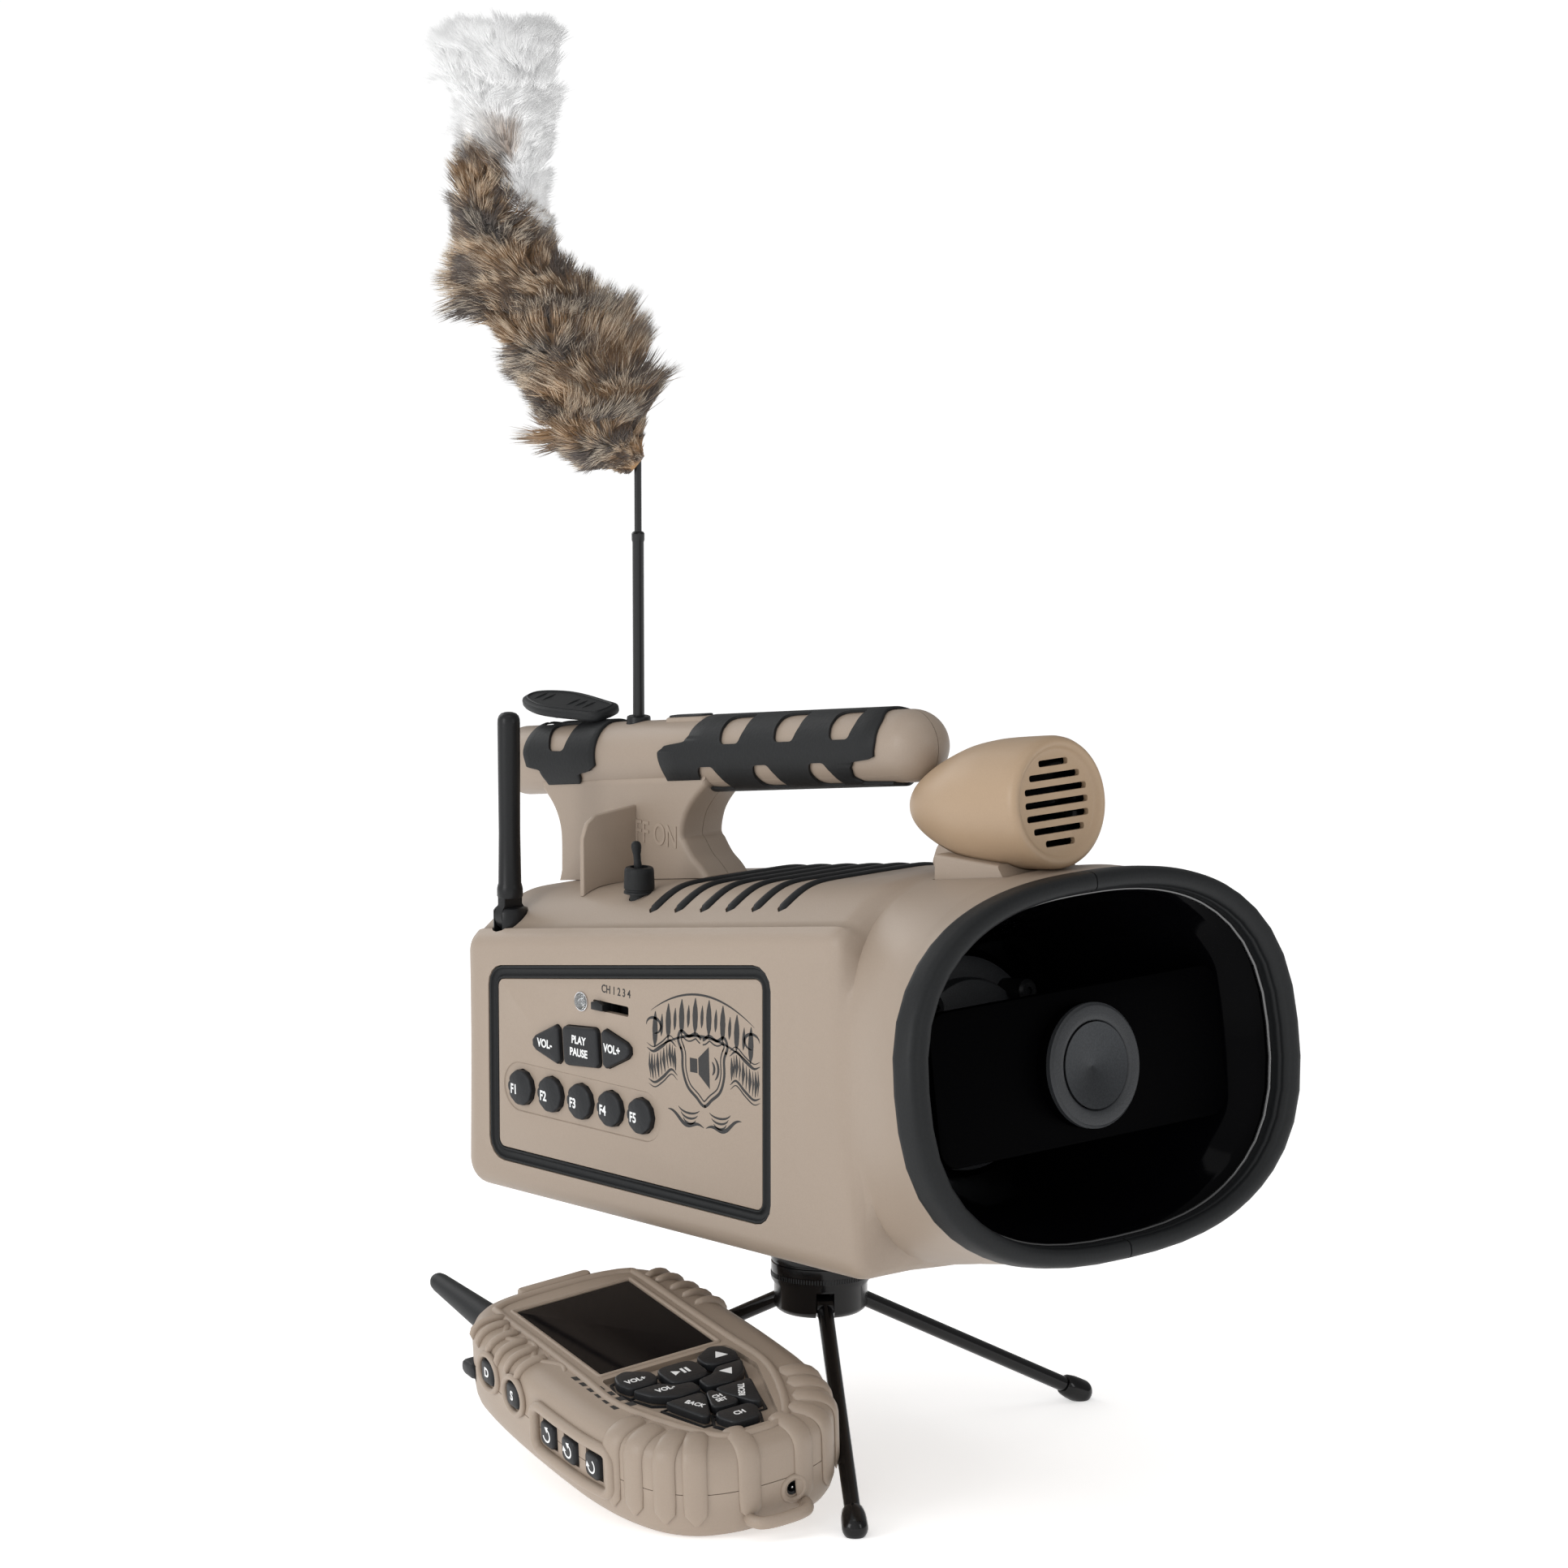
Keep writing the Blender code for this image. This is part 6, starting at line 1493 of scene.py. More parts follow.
def make_panel():
    outer = resampled(panel_outline(), 4)
    gasket = [(0, -5.8), (0, -0.6), (0.15, -0.35), (0.5, -0.3), (0.9, -0.5), (1.3, -1.3),
              (2.0, -1.75), (3.2, -1.75), (3.9, -1.3), (4.3, -0.7), (4.7, -0.5), (5.05, -0.6),
              (5.2, -0.8), (5.2, -5.8)]
    side = side_frame(0, 0)
    loops = [[side @ Vector((x, z, up)) for x, z in grown(outer, -inset)] for inset, up in gasket]
    instead(ring_loft("gasket", loops), "panel_frame", RUBBER)

    inner = grown(panel_outline(), -PANEL_FRAME_WIDTH)
    face = stacked("face", grown(inner, -GAP), ((0, PLATE_BACK), (0, -1.0), (0.12, -0.75),
                                                (0.4, -0.6)), side)
    cutters = []
    for name, x, z, outline, tilt in key_places():
        cutters.append(plate("hole", grown(outline, GAP), -8, 4, side_frame(x, z, tilt)))
    slot = rounded_outline(rectangle(-SLOT_HALF, -2.1, SLOT_HALF, 2.1), 0.8, 4)
    cutters.append(plate("slot", slot, -8, 4, side_frame(SLOT_X, SLOT_Z)))
    cutters.append(plate("led", regular_outline(48, 4.1), -8, 4, side_frame(LED_X, LED_Z)))
    last = F_KEY_FIRST_X + 4 * F_KEY_STEP
    pill = rounded_outline(rectangle(F_KEY_FIRST_X - 12, F_KEY_Z - 10.5, last + 12, F_KEY_Z + 10.5),
                           10.4, 16)
    cutters.append(stacked("pill", pill, ((0.5, -1.05), (0, -0.5), (0, 4)), side))
    instead(cut(face, *cutters), "panel_plate", TAN)

    texts = {"key_vol_minus": ("VOL-", 4.8, 0.6), "key_vol_plus": ("VOL+", 4.8, -1.9),
             "key_play_pause": ("PLAY\nPAUSE", 4.5, -0.3)}
    for name, x, z, outline, tilt in key_places():
        spot = side_frame(x, z, tilt)
        if name.startswith("key_f"):
            key = domed(f_key_outline(), spot, -8.0, 1.5, 1.0, 0.75, (1.0, 0.6))
            label, size, shift = name[-2:].upper(), 5.6, (-2.6, -0.9)
            sharp = 14
        else:
            key = domed(resampled(outline), spot, -8.0, 1.7, 1.2, 0.2)
            label, size, across = texts[name]
            shift = (across, 0.0)
            sharp = 35
        key = instead(key, name, KEY, sharp)
        flat = Matrix.Translation((x, PANEL_Y, z)) @ Matrix.Rotation(radians(90), 4, "X")
        spot = TO_FRAME @ flat @ Matrix.Translation((shift[0], shift[1], 1.7))
        panel_label(label, size, spot, WHITE_INK, name + "_label", NODE_BODY[name], key)

    dome = [(0, 2.3), (1.1, 2.15), (2.0, 1.65), (2.8, 0.9), (3.3, 0.0), (3.5, -0.9), (3.5, -6),
            (0, -6)]
    instead(turned("lens", dome, 48, (LED_X, PANEL_Y, LED_Z), (0, -1, 0)), "led_lens", LENS)
    cup_ring = [(3.6, -0.1), (4.0, -0.1), (4.05, -0.5), (4.0, -5), (3.6, -5)]
    loops = [[Vector((LED_X + r * cos(a), PANEL_Y - h, LED_Z + r * sin(a)))
              for a in around(48)] for r, h in cup_ring]
    detail(ring_loft("led_ring", loops), "led_reflector", METAL)

    knob_x = SLOT_X - SLOT_HALF + 4.2
    at_knob = side_frame(knob_x, SLOT_Z)
    knob = rounded(plate("knob", [(-3.6, -1.7), (3.6, -1.7), (3.6, 0.9), (0.4, 2.3), (-3.6, 1.3)],
                         -5.5, 1.4, at_knob), 0.3, 3)
    foot = plate("foot", rectangle(-4, -4, 4, 4), -7, PLATE_BACK - GAP, at_knob)
    instead(join(knob, foot), "channel_knob", BLACK)
    well = plate("well", rectangle(-14, -3.6, 14, 3.6), -9.6, -8.8,
                 side_frame(SLOT_X, SLOT_Z))
    detail(rounded(well, 0.3, 2), "slot_floor", BLACK)
    spot = side_frame(-52.6, 190.9)
    panel_label("CH 1 2 3 4", 4.7, spot, DARK_INK, "channel_label", "caller", None, 0.84)
    make_emblem()


def panel_label(text, size, spot, look, name, body, target, stretch=0.86):
    """Print on the panel or a key, in the frame's metres when it follows a target."""
    scale = 0.001 if target else 1.0
    bold = 0.03 if look is WHITE_INK else 0.012
    obj = text_piece(name, text, size, bold * size, 0.06, 1.15)
    obj.data.transform(Matrix.Diagonal((stretch, 1, 1, 1)))
    if target:
        tree = BVHTree.FromPolygons([v.co.copy() for v in target.data.vertices],
                                    [tuple(p.vertices) for p in target.data.polygons])
        down = -(spot.to_3x3() @ Vector((0, 0, 1))).normalized()
        for vertex in obj.data.vertices:
            flat = spot @ Vector((vertex.co.x, vertex.co.y, 0))
            hit = tree.ray_cast(flat - down * 0.01, down)[0]
            vertex.co = TO_FRAME.inverted() @ (
                (hit if hit is not None else flat) - down * (vertex.co.z + 0.10) * scale)
    else:
        obj.data.transform(spot @ Matrix.Translation((0, 0, -0.56)))
    return detail(obj, name, look, body)


# ---------------------------------------------------------------- emblem
def stroke(path, width, taper=True):
    """Outline of a pen stroke along a path, thinning at its ends."""
    path = [Vector((x, y)) for x, y in path]
    count = len(path)
    left, right = [], []
    for i, here in enumerate(path):
        run = (path[min(i + 1, count - 1)] - path[max(i - 1, 0)]).normalized()
        share = i / (count - 1)
        half = width / 2 * (max(0.12, sin(pi * share) ** 0.6) if taper else 1)
        normal = Vector((-run.y, run.x)) * half
        left.append(tuple(here + normal))
        right.append(tuple(here - normal))
    return left + right[::-1]


def sweep(cx, cy, rx, ry, first, last, steps=28):
    return [(cx + rx * cos(radians(first + (last - first) * k / steps)),
             cy + ry * sin(radians(first + (last - first) * k / steps)))
            for k in range(steps + 1)]


def make_emblem():
    """Generic badge: a shield with a horn loudspeaker, ribbons at its sides, flourishes round."""
    spot = side_frame(0.4, 168.5, radians(2.0))
    shapes = []
    def draw(outline):
        shapes.append(plate("mark", [tuple(p)[:2] for p in outline], -0.60, -0.54, spot))
    half = [(0, 10.5), (4, 12.5), (8.5, 11), (12.8, 12.8), (14.8, 9.0), (12.6, 4), (12.4, -3),
            (9.8, -9.5), (4.6, -13.4), (0, -16.5)]
    shield = [tuple(p) for p in smooth(half + [(-x, y) for x, y in reversed(half[1:-1])], 5, True)]
    for inset, width in ((0, 1.3), (2.0, 0.6)):
        line = [tuple(p) for p in grown(shield, -inset)]
        ring = line + [line[0]]
        for part in range(4):
            step = len(line) // 4
            draw(stroke(ring[part * step:(part + 1) * step + 2], width, False))
    draw(rectangle(-8.0, -3.4, -3.6, 2.4))
    draw([(-2.9, -3.8), (3.6, -9.0), (3.6, 8.0), (-2.9, 2.8)])
    for radius in (3.4, 5.8):
        draw(stroke(sweep(3.2, -0.5, radius, radius, -52, 52), 1.3))
    for side in (-1, 1):
        upper = [(side * x, y) for x, y in ((16.0, 5.8), (20, 8.0), (25, 4.8), (30, 2.4), (34, 3.6))]
        lower = [(side * x, y) for x, y in ((15.8, -5.8), (19.5, -3.8), (24.5, -7.4), (29.5, -10.2),
                                            (33.5, -9.2))]
        top = [tuple(p) for p in smooth(upper, 8)]
        low = [tuple(p) for p in smooth(lower, 8)]
        for line, way in ((top, 1), (low, -1)):
            draw(stroke(line, 1.2))
            draw(stroke([(x, y + way * 1.9) for x, y in line], 0.6))
        for k in range(2, len(top) - 2, 3):
            (x0, y0), (x1, y1) = top[k], low[k]
            draw(stroke([(x0, y0 - 1.2), (x0 + (x1 - x0) * 0.5 + side * 0.4, (y0 + y1) / 2),
                         (x1, y1 + 1.2)], 2.0 if k % 2 == 0 else 1.1))
        for k in range(3):
            draw(stroke(sweep(side * 9, -17 - k * 2.1, 7 - k * 1.4, 3.4, 200 if side < 0 else -20,
                              330 if side < 0 else -150), 0.9))
        draw(stroke(sweep(side * 29.5, 13.0, 4.4, 3.2, 180 if side < 0 else 0,
                          -90 if side < 0 else 270), 1.3))
    def arch(x):
        return 19.4 - 0.0100 * x * x
    for shift, width in ((9.2, 0.9), (-7.6, 1.1)):
        draw(stroke([(x, arch(x) + shift) for x in np.linspace(-31, 31, 40)], width))
    for k in range(15):
        x = -28.7 + 4.1 * k
        tall = 7.4 if k % 2 == 0 else 4.6
        draw(stroke([(x - 0.5, arch(x) - tall + 0.4), (x - 0.2, arch(x) - tall / 2),
                     (x, arch(x) + 0.4), (x + 0.2, arch(x) + tall / 2),
                     (x + 0.5, arch(x) + tall + 0.4)], 3.2 if k % 2 == 0 else 1.8))
    for sign in (-1, 1):
        draw(stroke([(sign * t * 22, -20.5 - 5.2 * sin(pi * (1 - t) / 2) + 1.2 * sin(9 * t))
                     for t in np.linspace(0.03, 1, 30)], 1.7))
    detail(together("emblem", shapes), "panel_emblem", DARK_INK)


# ---------------------------------------------------------------- tripod
def make_tripod():
    hub = [(0, HUB_TOP), (HUB_RADIUS - 0.8, HUB_TOP), (HUB_RADIUS - 0.2, HUB_TOP - 0.2),
           (HUB_RADIUS, HUB_TOP - 0.8), (HUB_RADIUS, HUB_TOP - 3.4), (HUB_RADIUS - 0.5, HUB_TOP - 3.7),
           (HUB_RADIUS - 0.5, HUB_TOP - 4.3), (HUB_RADIUS, HUB_TOP - 4.6),
           (HUB_RADIUS, HUB_BOTTOM + 8), (HUB_RADIUS - 1.2, HUB_BOTTOM + 6),
           (HUB_RADIUS - 1.2, HUB_BOTTOM - 3), (HUB_RADIUS - 1.9, HUB_BOTTOM - 4.3),
           (HUB_RADIUS - 3.5, HUB_BOTTOM - 5.5), (0, HUB_BOTTOM - 5.5)]
    body = turned("hub", hub, 120)
    slots = [moved(box("slot", (-7, -3.7, -20), (30, 3.7, 6.2)), leg_frame(a)) for a in LEG_AZIMUTHS]
    instead(cut(body, *slots), "tripod_hub", LACQUER)
    teeth = []
    for k in range(110):
        teeth.append(moved(box("tooth", (HUB_RADIUS - 0.4, -0.28, HUB_TOP - 10.4),
                               (HUB_RADIUS + 0.18, 0.28, HUB_TOP - 8.6)),
                           Matrix.Rotation(2 * pi * k / 110, 4, "Z")))
    detail(together("knurl", teeth), "hub_knurl", BLACK, "tripod_hub")

    table = [(0, CASE_BOTTOM + 5.5), (4.6, CASE_BOTTOM + 5.5), (4.6, CASE_BOTTOM - GAP),
             (18.6, CASE_BOTTOM - GAP), (19.3, CASE_BOTTOM - 0.6), (19.6, CASE_BOTTOM - 1.3),
             (19.6, HUB_TOP + 1.2), (19.3, HUB_TOP + 0.6), (18.6, HUB_TOP + GAP),
             (0, HUB_TOP + GAP)]
    instead(turned("table", table, 96), "turntable", LACQUER)

    out = FOOT_CIRCLE - LEG_PIVOT_RADIUS
    drop = LEG_PIVOT_Z - FOOT_CENTRE_Z
    length = sqrt(out ** 2 + drop ** 2)
    down = asin(drop / length)
    for number, azimuth in enumerate(LEG_AZIMUTHS, 1):
        profile = [(0, 0.5), (LEG_RADIUS - 0.4, 0.5), (LEG_RADIUS, 0.0), (LEG_RADIUS, 10 - length),
                   (3.9, 9.9 - length), (4.4, 9.2 - length), (5.0, 6 - length), (5.15, 3 - length)]
        profile += [(FOOT_RADIUS * cos(radians(a)), -length - FOOT_RADIUS * sin(radians(a)))
                    for a in range(0, 91, 10)]
        profile = [(r if r > 0.01 else 0, z) for r, z in profile]
        leg = turned("leg", profile, 48, (0, 0, 0), (-cos(down), 0, sin(down)))
        eye = rod_between("eye", (0, -3.3, 0), (0, 3.3, 0), 4.2)
        leg = moved(join(leg, eye), leg_frame(azimuth))
        leg = cut(leg, box("floor", (-200, -200, -30), (200, 200, 0)))
        instead(leg, f"tripod_leg_{number}", LACQUER)


# ---------------------------------------------------------------- rear
def make_rear_details():
    screws = []
    for y, z in ((-50, 108), (50, 108), (-50, 196), (50, 196)):
        head = turned("screw", [(0, 1.1), (1.6, 1.1), (2.4, 0.8), (2.8, 0.2), (2.8, -1), (0, -1)],
                      40, (CASE_REAR_X - 0.2, y, z), (-1, 0, 0))
        slots = [box("slot", (CASE_REAR_X - 3, y - a, z - b), (CASE_REAR_X - 0.9, y + a, z + b))
                 for a, b in ((1.7, 0.35), (0.35, 1.7))]
        screws.append(cut(head, *slots))
    detail(together("screws", screws), "rear_screws", BLACK)


# ---------------------------------------------------------------- remote
def remote_frame():
    """Remote's own frame as it leans on two tripod legs: its back's lower end is on the floor."""
    along = Vector((cos(REMOTE_HEADING) * cos(REMOTE_RISE), sin(REMOTE_HEADING) * cos(REMOTE_RISE),
                    sin(REMOTE_RISE)))
    right = along.cross(Vector((0, 0, 1))).normalized()
    out = right.cross(along)
    right = Matrix.Rotation(REMOTE_ROLL, 3, along) @ right
    out = Matrix.Rotation(REMOTE_ROLL, 3, along) @ out
    turn = Matrix((right, along, out)).transposed().to_4x4()
    return (Matrix.Translation(REMOTE_FOOT) @ turn @ Matrix.Scale(REMOTE_SCALE, 4)
            @ Matrix.Translation((0, -REMOTE_END_V - 3.0, REMOTE_DEPTH)))


def remote_outline():
    """Front view of the remote's case in (u, v), starting at the middle of its top end."""
    half = [(0, 51), (12, 50.6), (22, 49.4), (30, 46.5), (36.5, 41), (41, 33), (43.4, 20), (45, 0),
            (45.8, -20), (46, -40), (45.4, -58), (42.6, -76), (36.6, -92), (27, -102.5),
            (14, -107.8), (0, -109)]
    return half + [(-u, v) for u, v in reversed(half[1:-1])]


def remote_key_outlines():
    """Face keys of the remote, each as an outline in (u, v)."""
    def mirror_u(points):
        return [(-u, v) for u, v in reversed(points)]
    vol_up = [(-24.5, -44.5), (-22.5, -38.5), (-17.5, -36.5), (-9.3, -42), (-9.3, -47.5), (-12, -50.6),
              (-22.5, -50.6)]
    vol_down = [(-22.8, -52), (-11.6, -52), (-7.6, -56.4), (-1, -57.4), (-1, -64.2), (-11.5, -65.2),
                (-19, -60)]
    back = [(-17.8, -66.4), (-2.6, -66.4), (-2.6, -70), (-9.4, -84.4), (-12, -84.4)]
    return {"remote_key_vol_up": vol_up, "remote_key_vol_down": vol_down,
            "remote_key_up": mirror_u(vol_up), "remote_key_down": mirror_u(vol_down),
            "remote_key_play": rounded_outline(rectangle(-8, -56, 8, -41.5), 3.4, 2),
            "remote_key_back": back, "remote_key_recall": mirror_u(back),
            "remote_key_ch_set": [(-5.6, -78.4), (-1.3, -67), (1.3, -67), (5.6, -78.4), (4.2, -80.4),
                                  (-4.2, -80.4)],
            "remote_key_ch": [(-6.6, -83), (6.6, -83), (8.4, -86.4), (5.4, -94), (-5.4, -94),
                              (-8.4, -86.4)]}


def side_key_places():
    """Keys on the remote's left edge: name, v, w, half length, half height."""
    return (("remote_key_d", 15.0, -12.0, 4.4, 4.6), ("remote_key_s", -6.5, -12.0, 4.4, 4.6),
            ("remote_key_turn_left", -33.0, -16.5, 4.8, 4.8),
            ("remote_key_turn_auto", -48.0, -16.5, 4.8, 4.8),
            ("remote_key_turn_right", -63.0, -16.5, 4.8, 4.8))


def edge_at(v, side=-1):
    """Half width of the case outline at v."""
    half = remote_outline()[:16]
    for (u0, v0), (u1, v1) in zip(half, half[1:]):
        if v1 <= v <= v0:
            return side * (u0 + (u1 - u0) * (v - v0) / (v1 - v0))
    return side * half[8][0]


def edge_box(name, v, w, half_v, half_w, inner, outer, bevel=0.0):
    """Box on the remote's left edge from depth inner to height outer off the case."""
    u = edge_at(v)
    return box(name, (u - outer, v - half_v, w - half_w), (u + inner, v + half_v, w + half_w), bevel, 2)


def fine_outline():
    return [(p.x, p.y) for p in smooth(remote_outline(), 5, True)]


def fine_loop(inset, w):
    return [Vector((u, v, w)) for u, v in grown(fine_outline(), -inset)]


def make_remote():
    spot = remote_frame()
    wall = REMOTE_WALL
    seam = REMOTE_SEAM
    top = [(0.0, seam + HALF_GAP)] + list(REMOTE_FACE)
    front = cup("front", [fine_loop(i, w) for i, w in top],
                [fine_loop(wall, seam + HALF_GAP), fine_loop(wall, -8), fine_loop(6, -4.6)])
    screen_hole = box("screen", (-SCREEN_HALF_U - GAP, -SCREEN_HALF_V - GAP, -1.2),
                      (SCREEN_HALF_U + GAP, SCREEN_HALF_V + GAP, 5))
    pad = rounded_outline([(-26, -35.6), (26, -35.6), (27, -55), (12, -96.4), (-12, -96.4),
                           (-27, -55)], [2, 2, 8, 8, 8, 8], 8)
    front = cut(front, screen_hole, plate("pad", pad, KEYPAD_W, 5))
    bottom = [(0, seam - HALF_GAP), (0.1, -24), (0.6, -29), (1.6, -32), (3.2, -34.4), (6.5, -36)]
    back = cup("back", [fine_loop(i, w) for i, w in bottom],
               [fine_loop(wall, seam - HALF_GAP), fine_loop(wall + 0.6, -28),
                fine_loop(8, -REMOTE_DEPTH + wall)])
    jack = rod_between("jack", (9, REMOTE_END_V - 4, -21.8), (9, REMOTE_END_V + 8, -21.8), 2.8)
    back = cut(back, jack)
    for _, v, w, half_v, half_w in side_key_places():
        hollow = edge_box("pocket", v, w, half_v + GAP, half_w + GAP, 6, 5)
        if w + half_w < seam:
            back = cut(back, hollow)
        else:
            front = cut(front, copy_of(hollow, "pocket_front"))
            back = cut(back, hollow)
    back = cut(back, edge_box("pocket", 37.0, -20.5, 5.0 + GAP, 3.0 + GAP, 9, 6))
    socket_at = Vector((-20, 47, -15.5))
    base = rod_between("socket", socket_at - Vector((0, 12, 0)), socket_at + Vector((0, 8, 0)), 6.6)
    front = cut(front, copy_of(base, "socket_front"))
    back = cut(back, base)
    instead(moved(front, spot), "remote_front", TAN)
    instead(moved(back, spot), "remote_back", TAN)

    whip = [(0, 56), (1.4, 55.7), (2.6, 54.9), (3.3, 53.6), (3.7, 51.5), (6.2, 4), (6.4, 1),
            (6.2, -8), (0, -8)]
    antenna = turned("antenna", whip, 48, socket_at, (0, 1, 0))
    instead(moved(antenna, spot), "remote_antenna", RUBBER)
    glass = stacked("glass", rounded_outline(
        rectangle(-SCREEN_HALF_U, -SCREEN_HALF_V, SCREEN_HALF_U, SCREEN_HALF_V), 0.6, 4),
        ((0, -0.9), (0, -0.35), (0.15, -0.22), (0.4, -0.2)))
    instead(moved(glass, spot), "remote_screen", GLASS)
    make_remote_keys(spot)
    make_remote_ridges(spot)


def make_remote_keys(spot):
    mat = None
    for k, outline in enumerate(remote_key_outlines().values()):
        part = plate("mat", grown(outline, 1.5), KEYPAD_W + 0.02, KEYPAD_W + 0.55 + 0.013 * k)
        mat = join(mat, part) if mat else part
    for outline in remote_key_outlines().values():
        mat = cut(mat, plate("clear", grown(outline, 0.35), KEYPAD_W - 1, KEYPAD_W + 2))
    detail(moved(mat, spot), "remote_keypad_mat", KEY, "remote")
    labels = {"remote_key_vol_up": ("VOL+", 3.7, (-17.4, -45.6)),
              "remote_key_vol_down": ("VOL-", 3.7, (-12.2, -57.6)),
              "remote_key_back": ("BACK", 3.4, (-9.6, -73.8)),
              "remote_key_recall": ("RECALL", 3.2, (9.8, -73.5)),
              "remote_key_ch_set": ("CH\nSET", 3.1, (0, -74.6)),
              "remote_key_ch": ("CH", 3.6, (0, -88.4))}
    turns = {"remote_key_back": -62, "remote_key_recall": 62}
    for name, outline in remote_key_outlines().items():
        soft = resampled(outline, 1.2)
        for _ in range(2):
            soft = [((soft[i - 1][0] + 2 * soft[i][0] + soft[(i + 1) % len(soft)][0]) / 4,
                     (soft[i - 1][1] + 2 * soft[i][1] + soft[(i + 1) % len(soft)][1]) / 4)
                    for i in range(len(soft))]
        key = stacked("key", soft, ((0, KEYPAD_W + KEY_TRAVEL), (0, 1.2), (0.12, 1.55),
                                    (0.4, 1.8), (0.8, 1.9)), spot)
        instead(key, name, KEY)
        if name in labels:
            text, size, (u, v) = labels[name]
            on_face = spot @ Matrix.Translation((u, v, 1.92)) @ Matrix.Rotation(
                radians(turns.get(name, 0)), 4, "Z")
            flat_label(text, size, on_face, name + "_label", NODE_BODY[name])
    arrows = {"remote_key_up": [(-2.6, -1.9), (2.6, -1.9), (0, 2.6)],
              "remote_key_down": [(-2.6, 1.9), (0, -2.6), (2.6, 1.9)]}
    middles = {"remote_key_up": (17.6, -44.5), "remote_key_down": (13.4, -58.0)}
    for name, outline in arrows.items():
        u, v = middles[name]
        mark = plate("arrow", outline, 1.9, 1.97, spot @ Matrix.Translation((u, v, 0)))
        detail(mark, name + "_label", WHITE_INK, NODE_BODY[name])
    marks = [plate("mark", [(-3.4, -1.9), (-0.5, 0), (-3.4, 1.9)], 1.9, 1.97,
                   spot @ Matrix.Translation((-0.4, -48.6, 0))),
             plate("mark", rectangle(0.0, -1.9, 1.0, 1.9), 1.9, 1.97,
                   spot @ Matrix.Translation((-0.2, -48.6, 0))),
             plate("mark", rectangle(1.8, -1.9, 2.8, 1.9), 1.9, 1.97,
                   spot @ Matrix.Translation((-0.2, -48.6, 0)))]
    detail(together("marks", marks), "remote_key_play_label", WHITE_INK,
           NODE_BODY["remote_key_play"])

    for name, v, w, half_v, half_w in side_key_places():
        u = edge_at(v)
        at_edge = Matrix(((0, 0, -1, u), (-1, 0, 0, v), (0, 1, 0, w), (0, 0, 0, 1)))
        outline = rounded_outline(rectangle(-half_v, -half_w, half_v, half_w),
                                  min(half_v, half_w) * 0.55, 8)
        key = stacked("key", outline, ((0, -3.4), (0, 0.9), (0.3, 1.45), (0.9, 1.8)),
                      spot @ at_edge)
        instead(key, name, KEY)
        top_face = spot @ at_edge @ Matrix.Translation((0, 0, 1.82))
        if "turn" in name:
            kinds = {"remote_key_turn_left": 1, "remote_key_turn_auto": 0,
                     "remote_key_turn_right": -1}
            turn_mark(top_face, kinds[name], name)
        else:
            flat_label(name[-1].upper(), 5.0, top_face, name + "_label", NODE_BODY[name])
    u = edge_at(37.0)
    at_edge = Matrix(((0, 0, -1, u), (-1, 0, 0, 37.0), (0, 1, 0, -20.5), (0, 0, 0, 1)))
    outline = rounded_outline(rectangle(-5, -3, 5, 3), 2.8, 8)
    power = stacked("power", outline, ((0, -3.0), (0, 2.0), (0.4, 2.9), (1.3, 3.4)), spot @ at_edge)
    instead(power, "remote_key_power", KEY)


def turn_mark(on_face, kind, name):
    """Arc with an arrow head at one end, or at both."""
    parts = [plate("arc", stroke(sweep(0, 0, 2.4, 2.4, 200, 430), 0.7, False), 0, 0.06, on_face)]
    for angle, way, wanted in ((430, 1, kind >= 0), (200, -1, kind <= 0)):
        if wanted:
            a = radians(angle)
            at = Vector((2.4 * cos(a), 2.4 * sin(a)))
            run = Vector((-sin(a), cos(a))) * way
            side = Vector((cos(a), sin(a)))
            tip = [at + run * 2.0, at + side * 1.3, at - side * 1.3]
            parts.append(plate("head", [tuple(p) for p in tip], 0, 0.06, on_face))
    detail(together("turn", parts), name + "_label", WHITE_INK, NODE_BODY[name])


def flat_label(text, size, spot, name, body, stretch=0.86):
    obj = text_piece(name, text, size, 0.03 * size, 0.03)
    obj.data.transform(spot @ Matrix.Translation((0, 0, 0.03)) @ Matrix.Diagonal((stretch, 1, 1, 1)))
    return detail(obj, name, WHITE_INK, body)


def outline_point(share, inset=0.0):
    """Point and outward direction on the remote's outline; share runs 0..1 from its top."""
    points = fine_outline()
    i = int(share * len(points)) % len(points)
    before, here, after = (Vector(points[i - 1]), Vector(points[i]),
                           Vector(points[(i + 1) % len(points)]))
    run = (after - before).normalized()
    out = Vector((run.y, -run.x))
    if out.dot(here - Vector((0, -30))) < 0:
        out = -out
    return here - out * inset, out


def over_edge(share, start, low):
    """Path from the face, start mm in from the edge, over the rounded edge and down the side."""
    path = []
    for inset, w in ((start, 0), (start * 0.75 + 2.1, 0)) + tuple(reversed(REMOTE_FACE)):
        if inset <= start:
            point, _ = outline_point(share, inset)
            path.append(Vector((point.x, point.y, w)))
    for w in (-11, -15, -20, -25, -29):
        if w > low:
            point, _ = outline_point(share, 0)
            path.append(Vector((point.x, point.y, w)))
    return path


def share_at(u_side, v):
    """Share of the outline whose point lies at height v on the wanted side."""
    points = fine_outline()
    best = min(range(len(points)), key=lambda i: abs(points[i][1] - v)
               + (100 if points[i][0] * u_side < 0 else 0))
    return best / len(points)


def face_height(u, v):
    """Height of the remote's rounded face at a point, from how far in from its edge it is."""
    inset = min((Vector((u, v)) - Vector(p)).length for p in fine_outline())
    for (i0, w0), (i1, w1) in zip(REMOTE_FACE, REMOTE_FACE[1:]):
        if inset <= i1:
            return w0 + (w1 - w0) * max(0.0, inset - i0) / (i1 - i0)
    return 0.0


